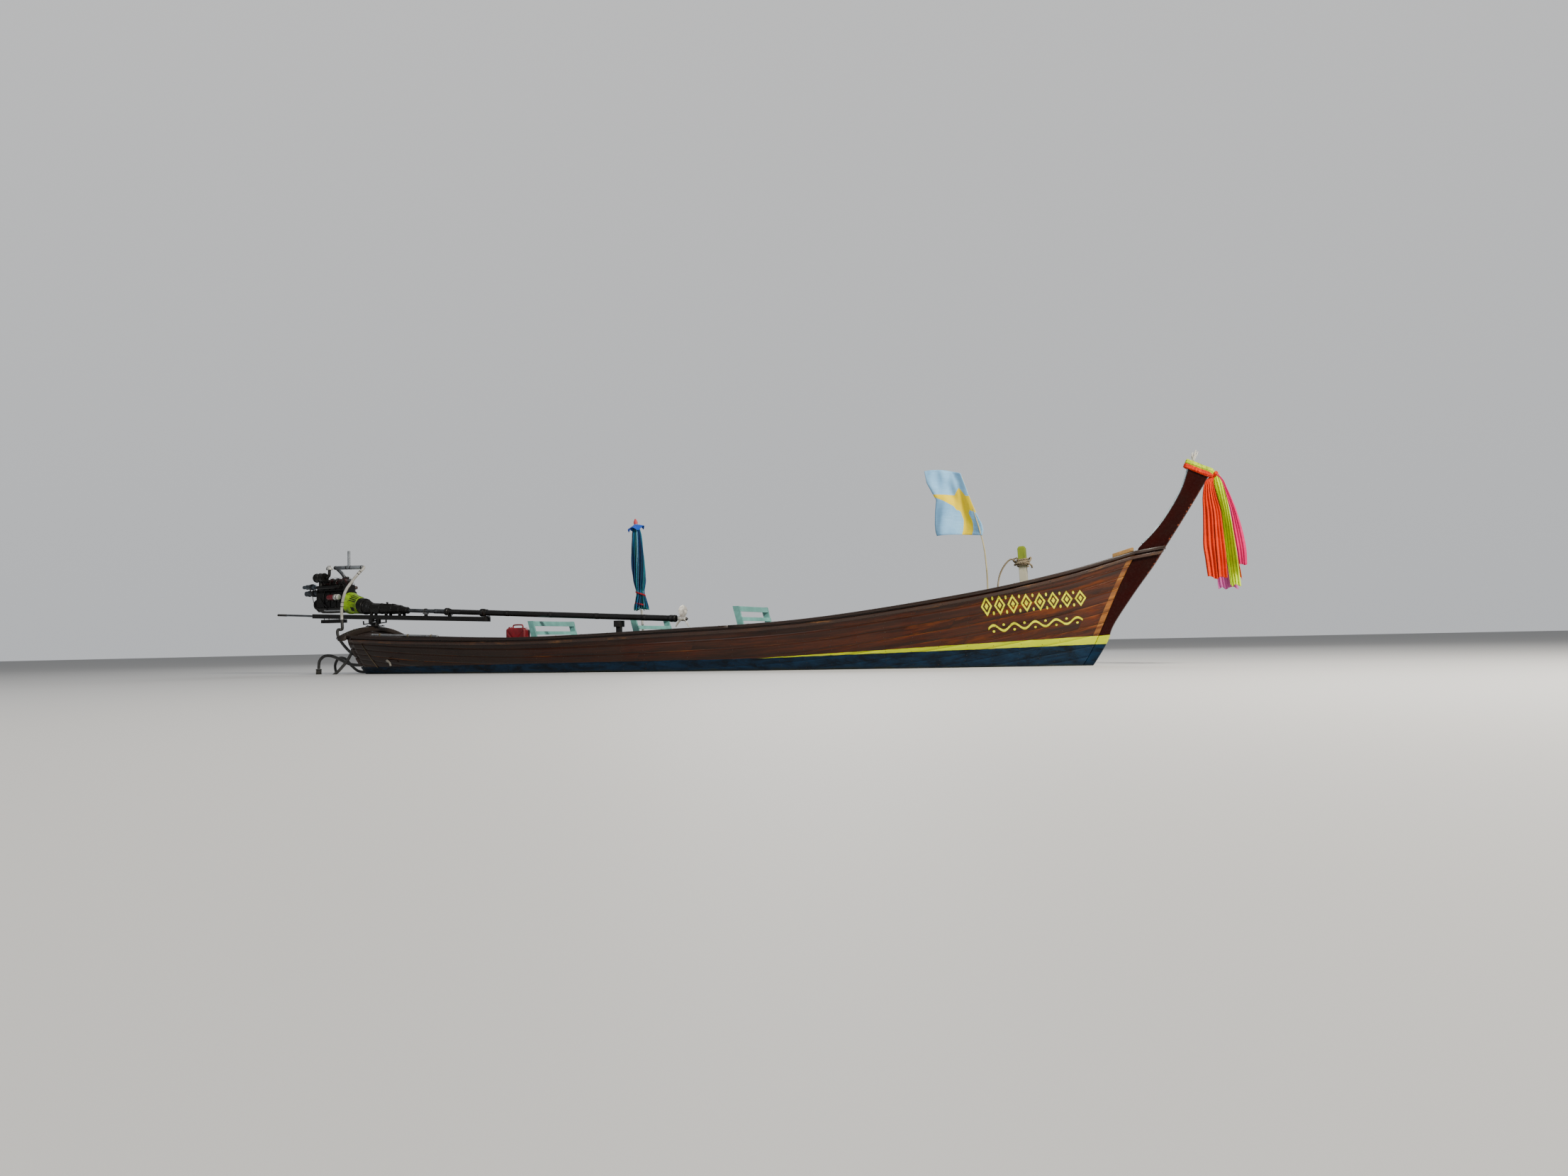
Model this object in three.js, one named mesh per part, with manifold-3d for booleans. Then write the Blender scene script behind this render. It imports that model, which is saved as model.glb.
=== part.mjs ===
// A wooden longtail boat afloat, in millimetres: +X to the bow, +Y to port, +Z up.
// The origin is on the centreline at the waterline, amidships.
import * as THREE from 'three';
import { mergeVertices } from 'three/addons/utils/BufferGeometryUtils.js';
import Module from 'manifold-3d';

const wasm = await Module();
wasm.setup();

// Driving dimensions
const GAP = 0.4;               // between pieces that touch
const PLANK = 32;              // thickness of the planking
const KEEL_HALF = 40;          // half width of the keel
const KEEL_UP = 45;            // keel above and below the planking's lower edge
const KEEL_DOWN = 70;
const STEM_HALF = 35;          // half thickness of the prow board
const TRANSOM = 48;            // thickness of the transom
const CAP_HEIGHT = 38;         // gunwale cap on the top edge of the planking
const CAP_IN = 50;
const CAP_OUT = 38;
const RUB_DROP = 20;           // rub rail below the cap
const RUB_HEIGHT = 46;
const RUB_OFF = 4;             // its inner and outer face, from the planking
const RUB_OUT = 34;
const FLOOR_Z = -150;          // top of the floorboards
const FLOOR_THICK = 24;
const STATIONS = 30;           // sections along the hull
const STRIPS = 9;              // strips from keel to gunwale
const PIVOT = { x: -5640, z: 835 };   // swivel on the centreline, and height of the tilt pin
const TAIL_YAW = 6.8;          // degrees that the stowed tail lies to starboard
const TAIL_DROP = 3;           // degrees that the shaft slopes down toward the propeller
const KINGPIN_RAKE = 4.5;      // degrees that the kingpin leans away from the stowed tail
const SHAFT_Z = 1015;          // height of the shaft line above the swivel
const PROP_AT = 5894;          // from the swivel to the propeller
const PROP_RADIUS = 185;
const TUBE_RADIUS = 43;

const rad = THREE.MathUtils.degToRad;
const shaftS = (s) => SHAFT_Z - s * Math.tan(rad(TAIL_DROP));
const V = (x, y, z) => new THREE.Vector3(x, y, z);

// Materials
const paint = (color, roughness, metalness = 0) =>
  new THREE.MeshStandardMaterial({ color, roughness, metalness });
const varnished = paint(0x4a1d10, 0.35);
const rail = paint(0x6b3a1c, 0.4);
const rawWood = paint(0x8a6a48, 0.8);
const darkWood = paint(0x3a1a12, 0.5);
const turquoise = paint(0x9fd8cf, 0.6);
const yellowGreen = paint(0xc4d32a, 0.5);
const blackSteel = paint(0x16171a, 0.5, 0.4);
const castIron = paint(0x26282c, 0.6, 0.5);
const greySteel = paint(0x7d868e, 0.45, 0.6);
const silver = paint(0xc9cccf, 0.3, 0.9);
const whitePlastic = paint(0xe6e6e0, 0.5);
const rubber = paint(0x1b1c1e, 0.8);
const redPlastic = paint(0xb01a20, 0.5);
const bellPaint = paint(0xa9cc12, 0.45);
const propMetal = paint(0xdedbd2, 0.4, 0.3);
const rope = paint(0xc9b98a, 0.9);
const orangeCloth = paint(0xf07a2a, 0.9);
const greenCloth = paint(0xb9cf3a, 0.9);
const pinkCloth = paint(0xf09ab4, 0.9);
const blueCloth = paint(0x6fb4dc, 0.9);
const tealCloth = paint(0x1f8f96, 0.9);

const boat = new THREE.Group();

function add(name, geometry, material, parent = boat) {
  const mesh = new THREE.Mesh(geometry, material);
  mesh.name = name;
  parent.add(mesh);
  return mesh;
}

function plain(geometry) {
  const bare = new THREE.BufferGeometry();
  bare.setAttribute('position', geometry.getAttribute('position').clone());
  if (geometry.index) bare.setIndex(geometry.index.clone());
  return mergeVertices(bare, 1e-3);
}

function turnedOut(geometry) {
  const p = geometry.getAttribute('position');
  const index = geometry.index;
  const [a, b, c] = [V(), V(), V()];
  let volume = 0;
  for (let i = 0; i < index.count; i += 3) {
    a.fromBufferAttribute(p, index.getX(i));
    b.fromBufferAttribute(p, index.getX(i + 1));
    c.fromBufferAttribute(p, index.getX(i + 2));
    volume += a.dot(b.cross(c));
  }
  if (volume < 0) geometry.setIndex(Array.from(index.array).reverse());
  geometry.computeVertexNormals();
  return geometry;
}

// A closed skin over rings of points. Point i of a ring faces point n - 1 - i, and the
// two end rings are closed by strips between such pairs.
function loft(rings) {
  const n = rings[0].length;
  const index = [];
  const quad = (a, b, c, d) => index.push(a, b, c, a, c, d);
  for (let r = 0; r + 1 < rings.length; r++) {
    for (let i = 0; i < n; i++) {
      const j = (i + 1) % n;
      quad(r * n + i, r * n + j, (r + 1) * n + j, (r + 1) * n + i);
    }
  }
  const last = (rings.length - 1) * n;
  for (let i = 0; i + 1 < n / 2; i++) {
    quad(i, n - 1 - i, n - 2 - i, i + 1);
    quad(last + i, last + i + 1, last + n - 2 - i, last + n - 1 - i);
  }
  const geometry = new THREE.BufferGeometry();
  const numbers = rings.flat().flatMap((p) => [p.x, p.y, p.z]);
  geometry.setAttribute('position', new THREE.Float32BufferAttribute(numbers, 3));
  geometry.setIndex(index);
  return turnedOut(geometry);
}

const mirrored = (rings) => rings.map((ring) => ring.map((p) => V(p.x, -p.y, p.z)));

// A round bar through hand-set points
function bar(points, radius, sides = 10, steps = 4 * points.length, curved = true) {
  const path = curved
    ? new THREE.CatmullRomCurve3(points)
    : points.slice(1).reduce((whole, p, i) => {
      whole.add(new THREE.LineCurve3(points[i], p));
      return whole;
    }, new THREE.CurvePath());
  const section = new THREE.Shape();
  for (let i = 0; i < sides; i++) {
    const a = 2 * Math.PI * i / sides;
    const [x, y] = [radius * Math.cos(a), radius * Math.sin(a)];
    if (i) section.lineTo(x, y);
    else section.moveTo(x, y);
  }
  return new THREE.ExtrudeGeometry(section, { steps, extrudePath: path, bevelEnabled: false });
}

function box(x0, x1, y0, y1, z0, z1) {
  const g = new THREE.BoxGeometry(x1 - x0, y1 - y0, z1 - z0);
  return g.translate((x0 + x1) / 2, (y0 + y1) / 2, (z0 + z1) / 2);
}

// A cylinder from one point to another
function rod(from, to, radius, sides = 20, radiusTo = radius) {
  const along = V().subVectors(to, from);
  const g = new THREE.CylinderGeometry(radiusTo, radius, along.length(), sides);
  g.applyQuaternion(new THREE.Quaternion().setFromUnitVectors(V(0, 1, 0), along.clone().normalize()));
  return g.translate(...V().addVectors(from, to).multiplyScalar(0.5).toArray());
}

function solid(geometry) {
  const g = plain(geometry);
  return new wasm.Manifold(new wasm.Mesh({
    numProp: 3,
    vertProperties: new Float32Array(g.getAttribute('position').array),
    triVerts: new Uint32Array(g.index.array),
  }));
}

function shaped(manifold) {
  const m = manifold.getMesh();
  const geometry = new THREE.BufferGeometry();
  geometry.setAttribute('position', new THREE.BufferAttribute(new Float32Array(m.vertProperties), 3));
  geometry.setIndex(new THREE.BufferAttribute(new Uint32Array(m.triVerts), 1));
  geometry.computeVertexNormals();
  return geometry;
}

const join = (...parts) => shaped(parts.map(solid).reduce((a, b) => a.add(b)));
const cut = (part, ...tools) => shaped(tools.map(solid).reduce((a, b) => a.subtract(b), solid(part)));

// Hull form. Each row is a section from stern to bow, and its four points are the ends and
// handles of one curve from keel to gunwale.
//   keel x, z | bilge handle x, y, z | side handle x, y, z | gunwale x, y, z
const sections = [
  [-5350, -170, -5356, 430, -150, -5469, 590, 200, -5585, 650, 560],
  [-4000, -330, -4000, 560, -320, -4020, 770, 40, -4060, 800, 500],
  [-2200, -420, -2200, 650, -420, -2200, 910, -40, -2200, 935, 470],
  [0, -450, 0, 690, -450, 0, 970, -40, 0, 1000, 525],
  [2000, -440, 2000, 560, -430, 2020, 890, 20, 2050, 960, 615],
  [3700, -400, 3750, 290, -360, 3850, 570, 170, 3950, 760, 850],
  [4700, -330, 4800, 115, -250, 4950, 250, 350, 5150, 430, 1085],
  [5150, -230, 5560, KEEL_HALF, 60, 5640, KEEL_HALF, 650, 6050, KEEL_HALF, 1345],
];
const guide = (pick) => new THREE.CatmullRomCurve3(sections.map(pick), false, 'catmullrom', 0.5);
const keelLine = guide((s) => V(s[0], KEEL_HALF + GAP, s[1]));
const bilgeLine = guide((s) => V(s[2], s[3], s[4]));
const sideLine = guide((s) => V(s[5], s[6], s[7]));
const sheerLine = guide((s) => V(s[8], s[9], s[10]));

// The keel stands up between the planks, less and less toward the bow
const keelUp = (u) => KEEL_UP * THREE.MathUtils.clamp((0.95 - u) / 0.2, 0, 1) - 1;

// Point of the hull's outer face: u from stern to bow, v from keel to gunwale
function skin(u, v) {
  const [a, b, c, d] = [keelLine, bilgeLine, sideLine, sheerLine].map((line) => line.getPoint(u));
  return new THREE.CubicBezierCurve3(a, b, c, d).getPoint(v);
}

// The same point moved into the boat along the face's normal
function inside(u, v, depth) {
  const e = 1e-3;
  const along = skin(Math.min(u + e, 1), v).sub(skin(Math.max(u - e, 0), v));
  const up = skin(u, Math.min(v + e, 1)).sub(skin(u, Math.max(v - e, 0)));
  const p = skin(u, v).addScaledVector(along.cross(up).normalize(), depth);
  const besideKeel = v === 0 || p.z < keelLine.getPoint(u).z + keelUp(u) + 2;
  p.y = Math.max(p.y, besideKeel ? KEEL_HALF + GAP : 1.5);
  const edge = sheerLine.getPoint(u);
  p.z = Math.min(p.z, edge.z - 0.4 * Math.abs(edge.x - p.x));
  return p;
}

function bisect(low, high, below) {
  for (let i = 0; i < 16; i++) {
    const mid = (low + high) / 2;
    if (below(mid)) low = mid;
    else high = mid;
  }
  return low;
}

// Half width inside the hull at an x and a height, a depth in from its outer face
function hullHalf(x, z, depth) {
  const at = (u) => inside(u, bisect(0, 1, (v) => inside(u, v, depth).z < z), depth);
  return at(bisect(0, 1, (u) => at(u).x < x)).y;
}

// Where the gunwale passes an x, as u
const uAt = (x) => bisect(0, 1, (u) => sheerLine.getPoint(u).x < x);

const span = (count) => Array.from({ length: count + 1 }, (_, i) => i / count);

// Planking, one half of the hull each
const plankRings = span(STATIONS).map((u) => [
  ...span(STRIPS).map((v) => skin(u, v)),
  ...span(STRIPS).reverse().map((v) => inside(u, v, PLANK)),
]);
add('planking_port', loft(plankRings), varnished);
add('planking_starboard', loft(mirrored(plankRings)), varnished);

// Keel between the two halves
add('keel', loft(span(STATIONS).map((u) => {
  const p = keelLine.getPoint(u);
  return [
    V(p.x, -KEEL_HALF, p.z - KEEL_DOWN), V(p.x, -KEEL_HALF, p.z + keelUp(u)),
    V(p.x, KEEL_HALF, p.z + keelUp(u)), V(p.x, KEEL_HALF, p.z - KEEL_DOWN),
  ];
})), darkWood);

// Transom, closing the stern in the plane where the planking ends
const ARCH = { crown: 742, drop: 142, half: 690, beam: 72 };
const archZ = (y) => ARCH.crown - ARCH.drop * (y / ARCH.half) ** 2;
const sternSlope = (sections[0][8] - sections[0][0]) / (sections[0][10] - sections[0][1]);
const sternX = (z) => sections[0][0] + sternSlope * (z - sections[0][1]);
const underArch = (y) => archZ(y) - ARCH.beam - 3;
const transomHalf = [
  ...[60, 200, 340, 480, 600].map((y) => V(0, y, underArch(y))),
  ...span(STRIPS).reverse().map((v) => skin(0, v)).map((p) => V(0, p.y, Math.min(p.z, underArch(p.y)))),
];
const transomRing = (back) => [
  ...transomHalf.map((p) => V(sternX(p.z) - back, p.y, p.z)),
  ...transomHalf.map((p) => V(sternX(p.z) - back, -p.y, p.z)).reverse(),
];
add('transom', loft([transomRing(GAP), transomRing(TRANSOM)]), varnished);

// Arched crossbeam over the transom, which carries the swivel
add('stern_crossbeam', loft([-1, -0.8, -0.6, -0.4, -0.2, 0, 0.2, 0.4, 0.6, 0.8, 1].map((t) => {
  const y = t * (ARCH.half + 25);
  const z = archZ(y);
  return [V(-5735, y, z - ARCH.beam), V(-5735, y, z), V(-5593, y, z), V(-5593, y, z - ARCH.beam)];
})), darkWood);

// Prow board: the stem carried up and forward to a tall raked tip
const rabbet = span(STRIPS).map((v) => skin(1, v)).map((p) => V(p.x + 2, 0, p.z));
const prowFront = [
  [5151, -345], [5330, -215], [5500, 0], [5690, 310], [5745, 460], [6000, 850], [6270, 1220],
  [6405, 1430], [6600, 1730], [6760, 1985], [6960, 2316],
];
const prowBack = [[6705, 2445], [6705, 2380], [6605, 2100], [6400, 1760], [6250, 1580], [6085, 1420]];
const prowOutline = new THREE.Shape([
  ...prowFront.map(([x, z]) => new THREE.Vector2(x, z)),
  ...prowBack.map(([x, z]) => new THREE.Vector2(x, z)),
  ...rabbet.reverse().map((p) => new THREE.Vector2(p.x, p.z)),
]);
const board = (outline, half) => {
  const g = new THREE.ExtrudeGeometry(outline, { depth: 2 * half, bevelEnabled: false });
  return g.rotateX(Math.PI / 2).translate(0, half, 0);
};
add('prow_board', board(prowOutline, STEM_HALF), darkWood);

// Gunwale cap and rub rail along each side, both carried on past the prow board's front edge
const railEnd = V(6392, STEM_HALF + 4, 1394);
const railRings = (section) => {
  const hull = span(STATIONS).map((u) => [u, sheerLine.getPoint(u)]);
  return [...hull, [1, railEnd]].map(([u, p]) => section(u, p));
};
const capRings = railRings((u, p) => {
  const inner = Math.max(p.y - CAP_IN, STEM_HALF + 1);
  const z = p.z + GAP;
  return [
    V(p.x, p.y + CAP_OUT, z), V(p.x, p.y + CAP_OUT, z + CAP_HEIGHT),
    V(p.x, inner, z + CAP_HEIGHT), V(p.x, inner, z),
  ];
});
// Each cap is two lengths butted together forward of amidships
const CAP_BUTT = STATIONS / 2;
const capAft = capRings.slice(0, CAP_BUTT + 1);
const capFore = [capRings[CAP_BUTT].map((p) => V(p.x + GAP, p.y, p.z)), ...capRings.slice(CAP_BUTT + 1)];
add('gunwale_port_aft', loft(capAft), rail);
add('gunwale_port_fore', loft(capFore), rail);
add('gunwale_starboard_aft', loft(mirrored(capAft)), rail);
add('gunwale_starboard_fore', loft(mirrored(capFore)), rail);
const rubRings = railRings((u, p) => {
  const [top, low] = [RUB_DROP, RUB_DROP + RUB_HEIGHT].map((down) => {
    if (p === railEnd) return V(p.x - down, p.y, p.z - down);
    const strip = skin(u, 1 - 1 / STRIPS);
    return V().lerpVectors(p, strip, down / (p.z - strip.z));
  });
  return [
    V(low.x, low.y + RUB_OFF, low.z), V(low.x, low.y + RUB_OUT, low.z),
    V(top.x, top.y + RUB_OUT, top.z), V(top.x, top.y + RUB_OFF, top.z),
  ];
});
add('rub_rail_port', loft(rubRings), rail);
add('rub_rail_starboard', loft(mirrored(rubRings)), rail);

// Frames across the hull, on a keelson
const frameXs = [-4700, -3800, -2950, -1550, -980, -250, 1050, 1700, 2400, 3100, 3800];
const FRAME = { half: 22, deep: 48, off: PLANK + 11 };
const ribs = frameXs.map((x) => {
  const u = uAt(x);
  const half = span(8).map((t) => {
    const [o, i] = [FRAME.off, FRAME.off + FRAME.deep].map((depth) => inside(u, t * 0.96, depth));
    if (t === 0) o.z = keelLine.getPoint(u).z + keelUp(u) + 5;
    if (t === 0) i.z = o.z + FRAME.deep;
    return [o, i];
  });
  const across = [
    ...half.map((pair) => pair.map((p) => V(p.x, -p.y, p.z))).reverse(),
    ...half,
  ];
  return loft(across.map(([o, i]) => [
    V(o.x - FRAME.half, o.y, o.z), V(o.x + FRAME.half, o.y, o.z),
    V(i.x + FRAME.half, i.y, i.z), V(i.x - FRAME.half, i.y, i.z),
  ]));
});
const keelson = loft(span(14).map((t) => {
  const p = keelLine.getPoint(0.03 + t * 0.86);
  const low = p.z + KEEL_UP + 20;
  return [V(p.x, -30, low), V(p.x, -30, low + 60), V(p.x, 30, low + 60), V(p.x, 30, low)];
}));
add('frames', join(keelson, ...ribs), darkWood);

// Floorboards, tapered with the hull
const floorHalf = (x) => hullHalf(x, FLOOR_Z - FLOOR_THICK - 10, FRAME.off + FRAME.deep) - 60;
add('floorboards', loft([-4150, -3400, -2400, -1200, 0, 1200, 2200, 3000].map((x) => {
  const y = floorHalf(x);
  return [
    V(x, -y, FLOOR_Z - FLOOR_THICK), V(x, -y, FLOOR_Z), V(x, y, FLOOR_Z), V(x, y, FLOOR_Z - FLOOR_THICK),
  ];
})), rawWood);

// Decks at both ends, level with the top of the sides
const deck = (xs, z, margin, thick) => loft(xs.map((x) => {
  const level = z(x);
  const y = hullHalf(x, level - thick, PLANK) - margin;
  return [V(x, -y, level - thick), V(x, -y, level), V(x, y, level), V(x, y, level - thick)];
}));
const sheerZ = (x) => sheerLine.getPoint(uAt(x)).z;
add('foredeck', deck([4150, 4350, 4600, 4850, 5100, 5350, 5600], (x) => sheerZ(x) - 45, 14, 26), varnished);
add('stern_deck', deck([-5350, -5050, -4800], () => 250, 18, 26), rawWood);

// Benches: a slatted seat and a leaning slatted back, facing the bow
//   name, x of the back's top, half width, z of the back's top
const benches = [
  ['bench_aft', -2290, 545, 742],
  ['bench_middle', -640, 495, 785],
  ['bench_forward', 950, 495, 862],
];
for (const [name, x, half, top] of benches) {
  const lean = 0.27;
  const seat = top - 400;
  const slant = (z0, z1, y0, y1, t0, t1) => loft([y0, y1].map((y) => [
    V(x + (top - z0) * lean + t0, y, z0), V(x + (top - z0) * lean + t1, y, z0),
    V(x + (top - z1) * lean + t1, y, z1), V(x + (top - z1) * lean + t0, y, z1),
  ]));
  const ends = [-1, 1].map((side) => slant(
    FLOOR_Z + GAP, top, side > 0 ? half - 30 : -half, side > 0 ? half : 30 - half, -90, 0));
  const slats = [[top - 75, top - 4], [top - 200, top - 150]].map(([z0, z1]) =>
    slant(z0, z1, -half, half, -24, 4));
  const seatX = x + (top - seat) * lean;
  const boards = [0, 130, 260].map((on) =>
    box(seatX - 40 + on, seatX + 75 + on, -half, half, seat - 24, seat));
  const bearers = [-1, 1].map((side) => box(
    seatX - 60, seatX + 335, side * (half - 15) - 15, side * (half - 15) + 15, seat - 90, seat - 20));
  const legs = [-1, 1].map((side) => box(
    seatX + 270, seatX + 320, side * (half - 15) - 15, side * (half - 15) + 15, FLOOR_Z + GAP, seat - 40));
  add(name, join(...ends, ...slats, ...boards, ...bearers, ...legs), turquoise);
}

// Mooring post through the foredeck, with its rope
const bittHole = (half) => box(4690 - half, 4690 + half, -half, half, 700, 1200);
const foredeck = boat.children.find((m) => m.name === 'foredeck');
foredeck.geometry = cut(foredeck.geometry, bittHole(52));
const bitt = new THREE.Group();
bitt.position.set(4690, 0, 900);
bitt.rotation.y = -rad(2.5);
boat.add(bitt);
add('bitt', loft([[-60, 45], [0, 45], [540, 48], [585, 48], [612, 30]].map(([z, half]) => [
  V(-half, -half, z), V(half, -half, z), V(half, half, z), V(-half, half, z),
])), yellowGreen, bitt);
add('bitt_rope', new THREE.LatheGeometry([
  [72, 340], [88, 346], [92, 362], [84, 376], [94, 392], [92, 408], [84, 420], [92, 436], [88, 452],
  [72, 458], [72, 340],
].map(([r, z]) => new THREE.Vector2(r, z)), 20).rotateX(Math.PI / 2), rope, bitt);
const deckTop = (x) => sheerZ(x) - 45;
add('bitt_tail', bar([
  V(4568, 0, 1338), V(4525, -8, 1350), V(4458, -14, 1295), V(4385, -10, 1170), V(4352, 0, 1030),
  V(4345, 20, deckTop(4345) + 60), V(4360, 60, deckTop(4360) + 19), V(4420, 120, deckTop(4420) + 18),
  V(4500, 140, deckTop(4500) + 18), V(4560, 90, deckTop(4560) + 18),
], 12, 8, 60), rope);

// Wood block across the two gunwales, behind the prow board
add('breasthook', loft([[5780, 78], [5900, 62], [6020, 44]].map(([x, half]) => {
  const z = sheerZ(x) + CAP_HEIGHT + 8;
  return [V(x, -half, z), V(x, -half, z + 48), V(x, half, z + 48), V(x, half, z)];
})), rawWood);

// Flag on a bent pole
const poleRoot = V(4222, 0, deckTop(4222) + 3);
add('flag_pole', bar([
  poleRoot, V(4212, 0, 1250), V(4185, 0, 1530), V(4155, 0, 1670), V(4050, 0, 2050), V(3919, 0, 2455),
], 10, 8, 24), rawWood);
add('flag', loft([0, 0.25, 0.5, 0.75, 1].map((t) => {
  const top = V().lerpVectors(V(3895, 0, 2448), V(3413, 0, 2554), t);
  const low = V().lerpVectors(V(4128, 0, 1690), V(3590, 0, 1697), t);
  const wave = 45 * Math.sin(t * 5);
  const down = [0, 0.33, 0.66, 1].map((k) => V().lerpVectors(top, low, k));
  const bulge = (k) => wave + 30 * Math.sin(3 * k * t);
  return [
    ...down.map((p, i) => V(p.x, bulge(i / 3) - 4, p.z)),
    ...down.map((p, i) => V(p.x, bulge(i / 3) + 4, p.z)).reverse(),
  ];
})), blueCloth);

// Closed parasol standing beside the middle bench
const parasol = new THREE.Group();
parasol.position.set(-812, 120, FLOOR_Z + 3);
parasol.rotation.y = -rad(3.5);
boat.add(parasol);
const turned = (profile, sides = 20) =>
  new THREE.LatheGeometry(profile.map(([r, z]) => new THREE.Vector2(r, z)), sides).rotateX(Math.PI / 2);
add('parasol_pole', turned([
  [0, 0], [17, 0], [17, 2270], [26, 2275], [30, 2300], [22, 2335], [0, 2350],
], 14), whitePlastic, parasol);
add('parasol_canopy', turned([
  [19, 1040], [118, 1010], [122, 1022], [88, 1150], [62, 1280], [74, 1330], [98, 1450], [104, 1620],
  [96, 1800], [84, 1990], [80, 2150], [122, 2170], [112, 2200], [40, 2265], [19, 2268], [19, 1040],
], 16), tealCloth, parasol);

// Fuel can on a crate behind the aft bench
const canAt = V(-2545, -540, 250);
const CRATE = { x: 178, y: 98, wall: 14, post: 36 };
const crateBox = (x0, x1, y0, y1, z0, z1) =>
  box(canAt.x + x0, canAt.x + x1, canAt.y + y0, canAt.y + y1, z0, z1);
const crateTop = canAt.z - 3;
const crateParts = [crateBox(-CRATE.x, CRATE.x, -CRATE.y, CRATE.y, crateTop - 18, crateTop)];
for (const end of [-1, 1]) {
  for (const side of [-1, 1]) {
    const off = CRATE.wall + CRATE.post / 2;
    const [x0, x1] = [-1, 1].map((k) => end * (CRATE.x - off) + k * CRATE.post / 2);
    const [y0, y1] = [-1, 1].map((k) => side * (CRATE.y - off) + k * CRATE.post / 2);
    crateParts.push(crateBox(x0, x1, y0, y1, FLOOR_Z + 3, crateTop - 10));
  }
  for (const low of [FLOOR_Z + 20, FLOOR_Z + 150, FLOOR_Z + 280]) {
    const [x0, x1] = [end * (CRATE.x - CRATE.wall), end * CRATE.x].sort((a, b) => a - b);
    const [y0, y1] = [end * (CRATE.y - CRATE.wall), end * CRATE.y].sort((a, b) => a - b);
    const lap = end > 0 ? [-2, 0] : [0, 2];
    crateParts.push(crateBox(x0 + lap[0], x1 + lap[1], -CRATE.y, CRATE.y, low, low + 90));
    crateParts.push(crateBox(-CRATE.x, CRATE.x, y0 + lap[0], y1 + lap[1], low, low + 90));
  }
}
add('can_crate', join(...crateParts), rawWood);
const canSection = (y, k) => [
  [-165, 0], [-165, 360], [-120, 400], [120, 400], [165, 360], [165, 0],
].map(([x, z]) => V(canAt.x + k * x, canAt.y + y, canAt.z + z));
add('fuel_can', join(
  loft([[-80, 0.94], [-66, 1], [66, 1], [80, 0.94]].map(([y, k]) => canSection(y, k))),
  box(canAt.x - 95, canAt.x - 70, canAt.y - 15, canAt.y + 15, canAt.z + 390, canAt.z + 440),
  box(canAt.x + 70, canAt.x + 95, canAt.y - 15, canAt.y + 15, canAt.z + 390, canAt.z + 440),
  box(canAt.x - 95, canAt.x + 95, canAt.y - 15, canAt.y + 15, canAt.z + 425, canAt.z + 450),
), redPlastic);

// Tail rest: a post in the aisle that the stowed tail lies on
const REST_X = -845;
const stowedY = (x) => (PIVOT.x - x) * Math.tan(rad(TAIL_YAW));
const shaftZ = (x) => shaftS((x - PIVOT.x) / Math.cos(rad(TAIL_YAW)));
const restTop = shaftZ(REST_X) - TUBE_RADIUS - 9;
add('tail_rest', join(
  box(REST_X - 45, REST_X + 45, stowedY(REST_X) - 75, stowedY(REST_X) + 75, restTop - 90, restTop),
  box(REST_X - 35, REST_X + 35, stowedY(REST_X) - 30, stowedY(REST_X) + 30, FLOOR_Z + 3, restTop - 60),
), blackSteel);

// White pole lying along the starboard gunwale
add('pole_on_gunwale', rod(V(-5080, -695, 600), V(-3760, -815, 554), 17, 14), whitePlastic);

// Bent outlet pipe of the bilge pump, out through the starboard side
add('bilge_outlet', bar([
  V(-4825, -655, 200), V(-4806, -694, 203), V(-4762, -718, 196), V(-4720, -728, 168), V(-4700, -730, 124),
], 15, 10, 14), whitePlastic);

// Water hoses outside the transom, the first in a ring on a bracket of the crossbeam
const transomBack = (z) => sternX(z) - TRANSOM - 12;
const hoseTop = V(PIVOT.x, 0, 0).add(V(-434, -328, 704).applyAxisAngle(V(0, 0, 1), -rad(TAIL_YAW)));
add('water_hose', bar([
  hoseTop, V(hoseTop.x, hoseTop.y - 26, 702), V(-6100, -330, 672), V(-6070, -352, 610), V(-6010, -368, 535),
  V(-5890, -378, 420), V(-5770, -382, 332), V(-5650, -384, 292), V(transomBack(285), -384, 285),
], 24, 10, 44), rubber);
const hoseRing = new THREE.TorusGeometry(36, 7, 10, 24);
hoseRing.applyQuaternion(new THREE.Quaternion().setFromUnitVectors(V(0, 0, 1), V(60, -16, -75).normalize()));
hoseRing.translate(-6041, -361, 574);
add('hose_bracket', join(
  hoseRing, rod(V(-5740, -420, 639), V(-6040, -398, 584), 8, 12),
  box(-5742, -5736, -450, -390, 618, 662),
), blackSteel);
add('suction_hose', bar([
  V(transomBack(140), -350, 140), V(-5727, -350, 142), V(-5869, -350, 167), V(-6040, -350, 236),
  V(-6227, -350, 292), V(-6357, -350, 283), V(-6444, -350, 215), V(-6462, -350, 120), V(-6462, -350, 88),
], 24, 10, 44), rubber);
add('strainer', rod(V(-6462, -350, 86), V(-6464, -350, -20), 45, 16), whitePlastic);
add('drain_hose', bar([
  V(transomBack(400), -520, 400), V(-5625, -518, 370), V(-5672, -510, 300), V(-5758, -500, 200),
  V(-5899, -500, 70), V(-6013, -500, -10), V(-6060, -500, -60),
], 24, 10, 30), rubber);
add('cooling_hose', bar([
  V(transomBack(50), -110, 50), V(-5660, -106, 30), V(-5883, -100, 40), V(-6013, -100, 117),
  V(-6158, -100, 240), V(-6288, -100, 246), V(-6362, -100, 144), V(-6340, -100, 0), V(-6330, -100, -60),
], 22, 10, 44), rubber);

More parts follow.
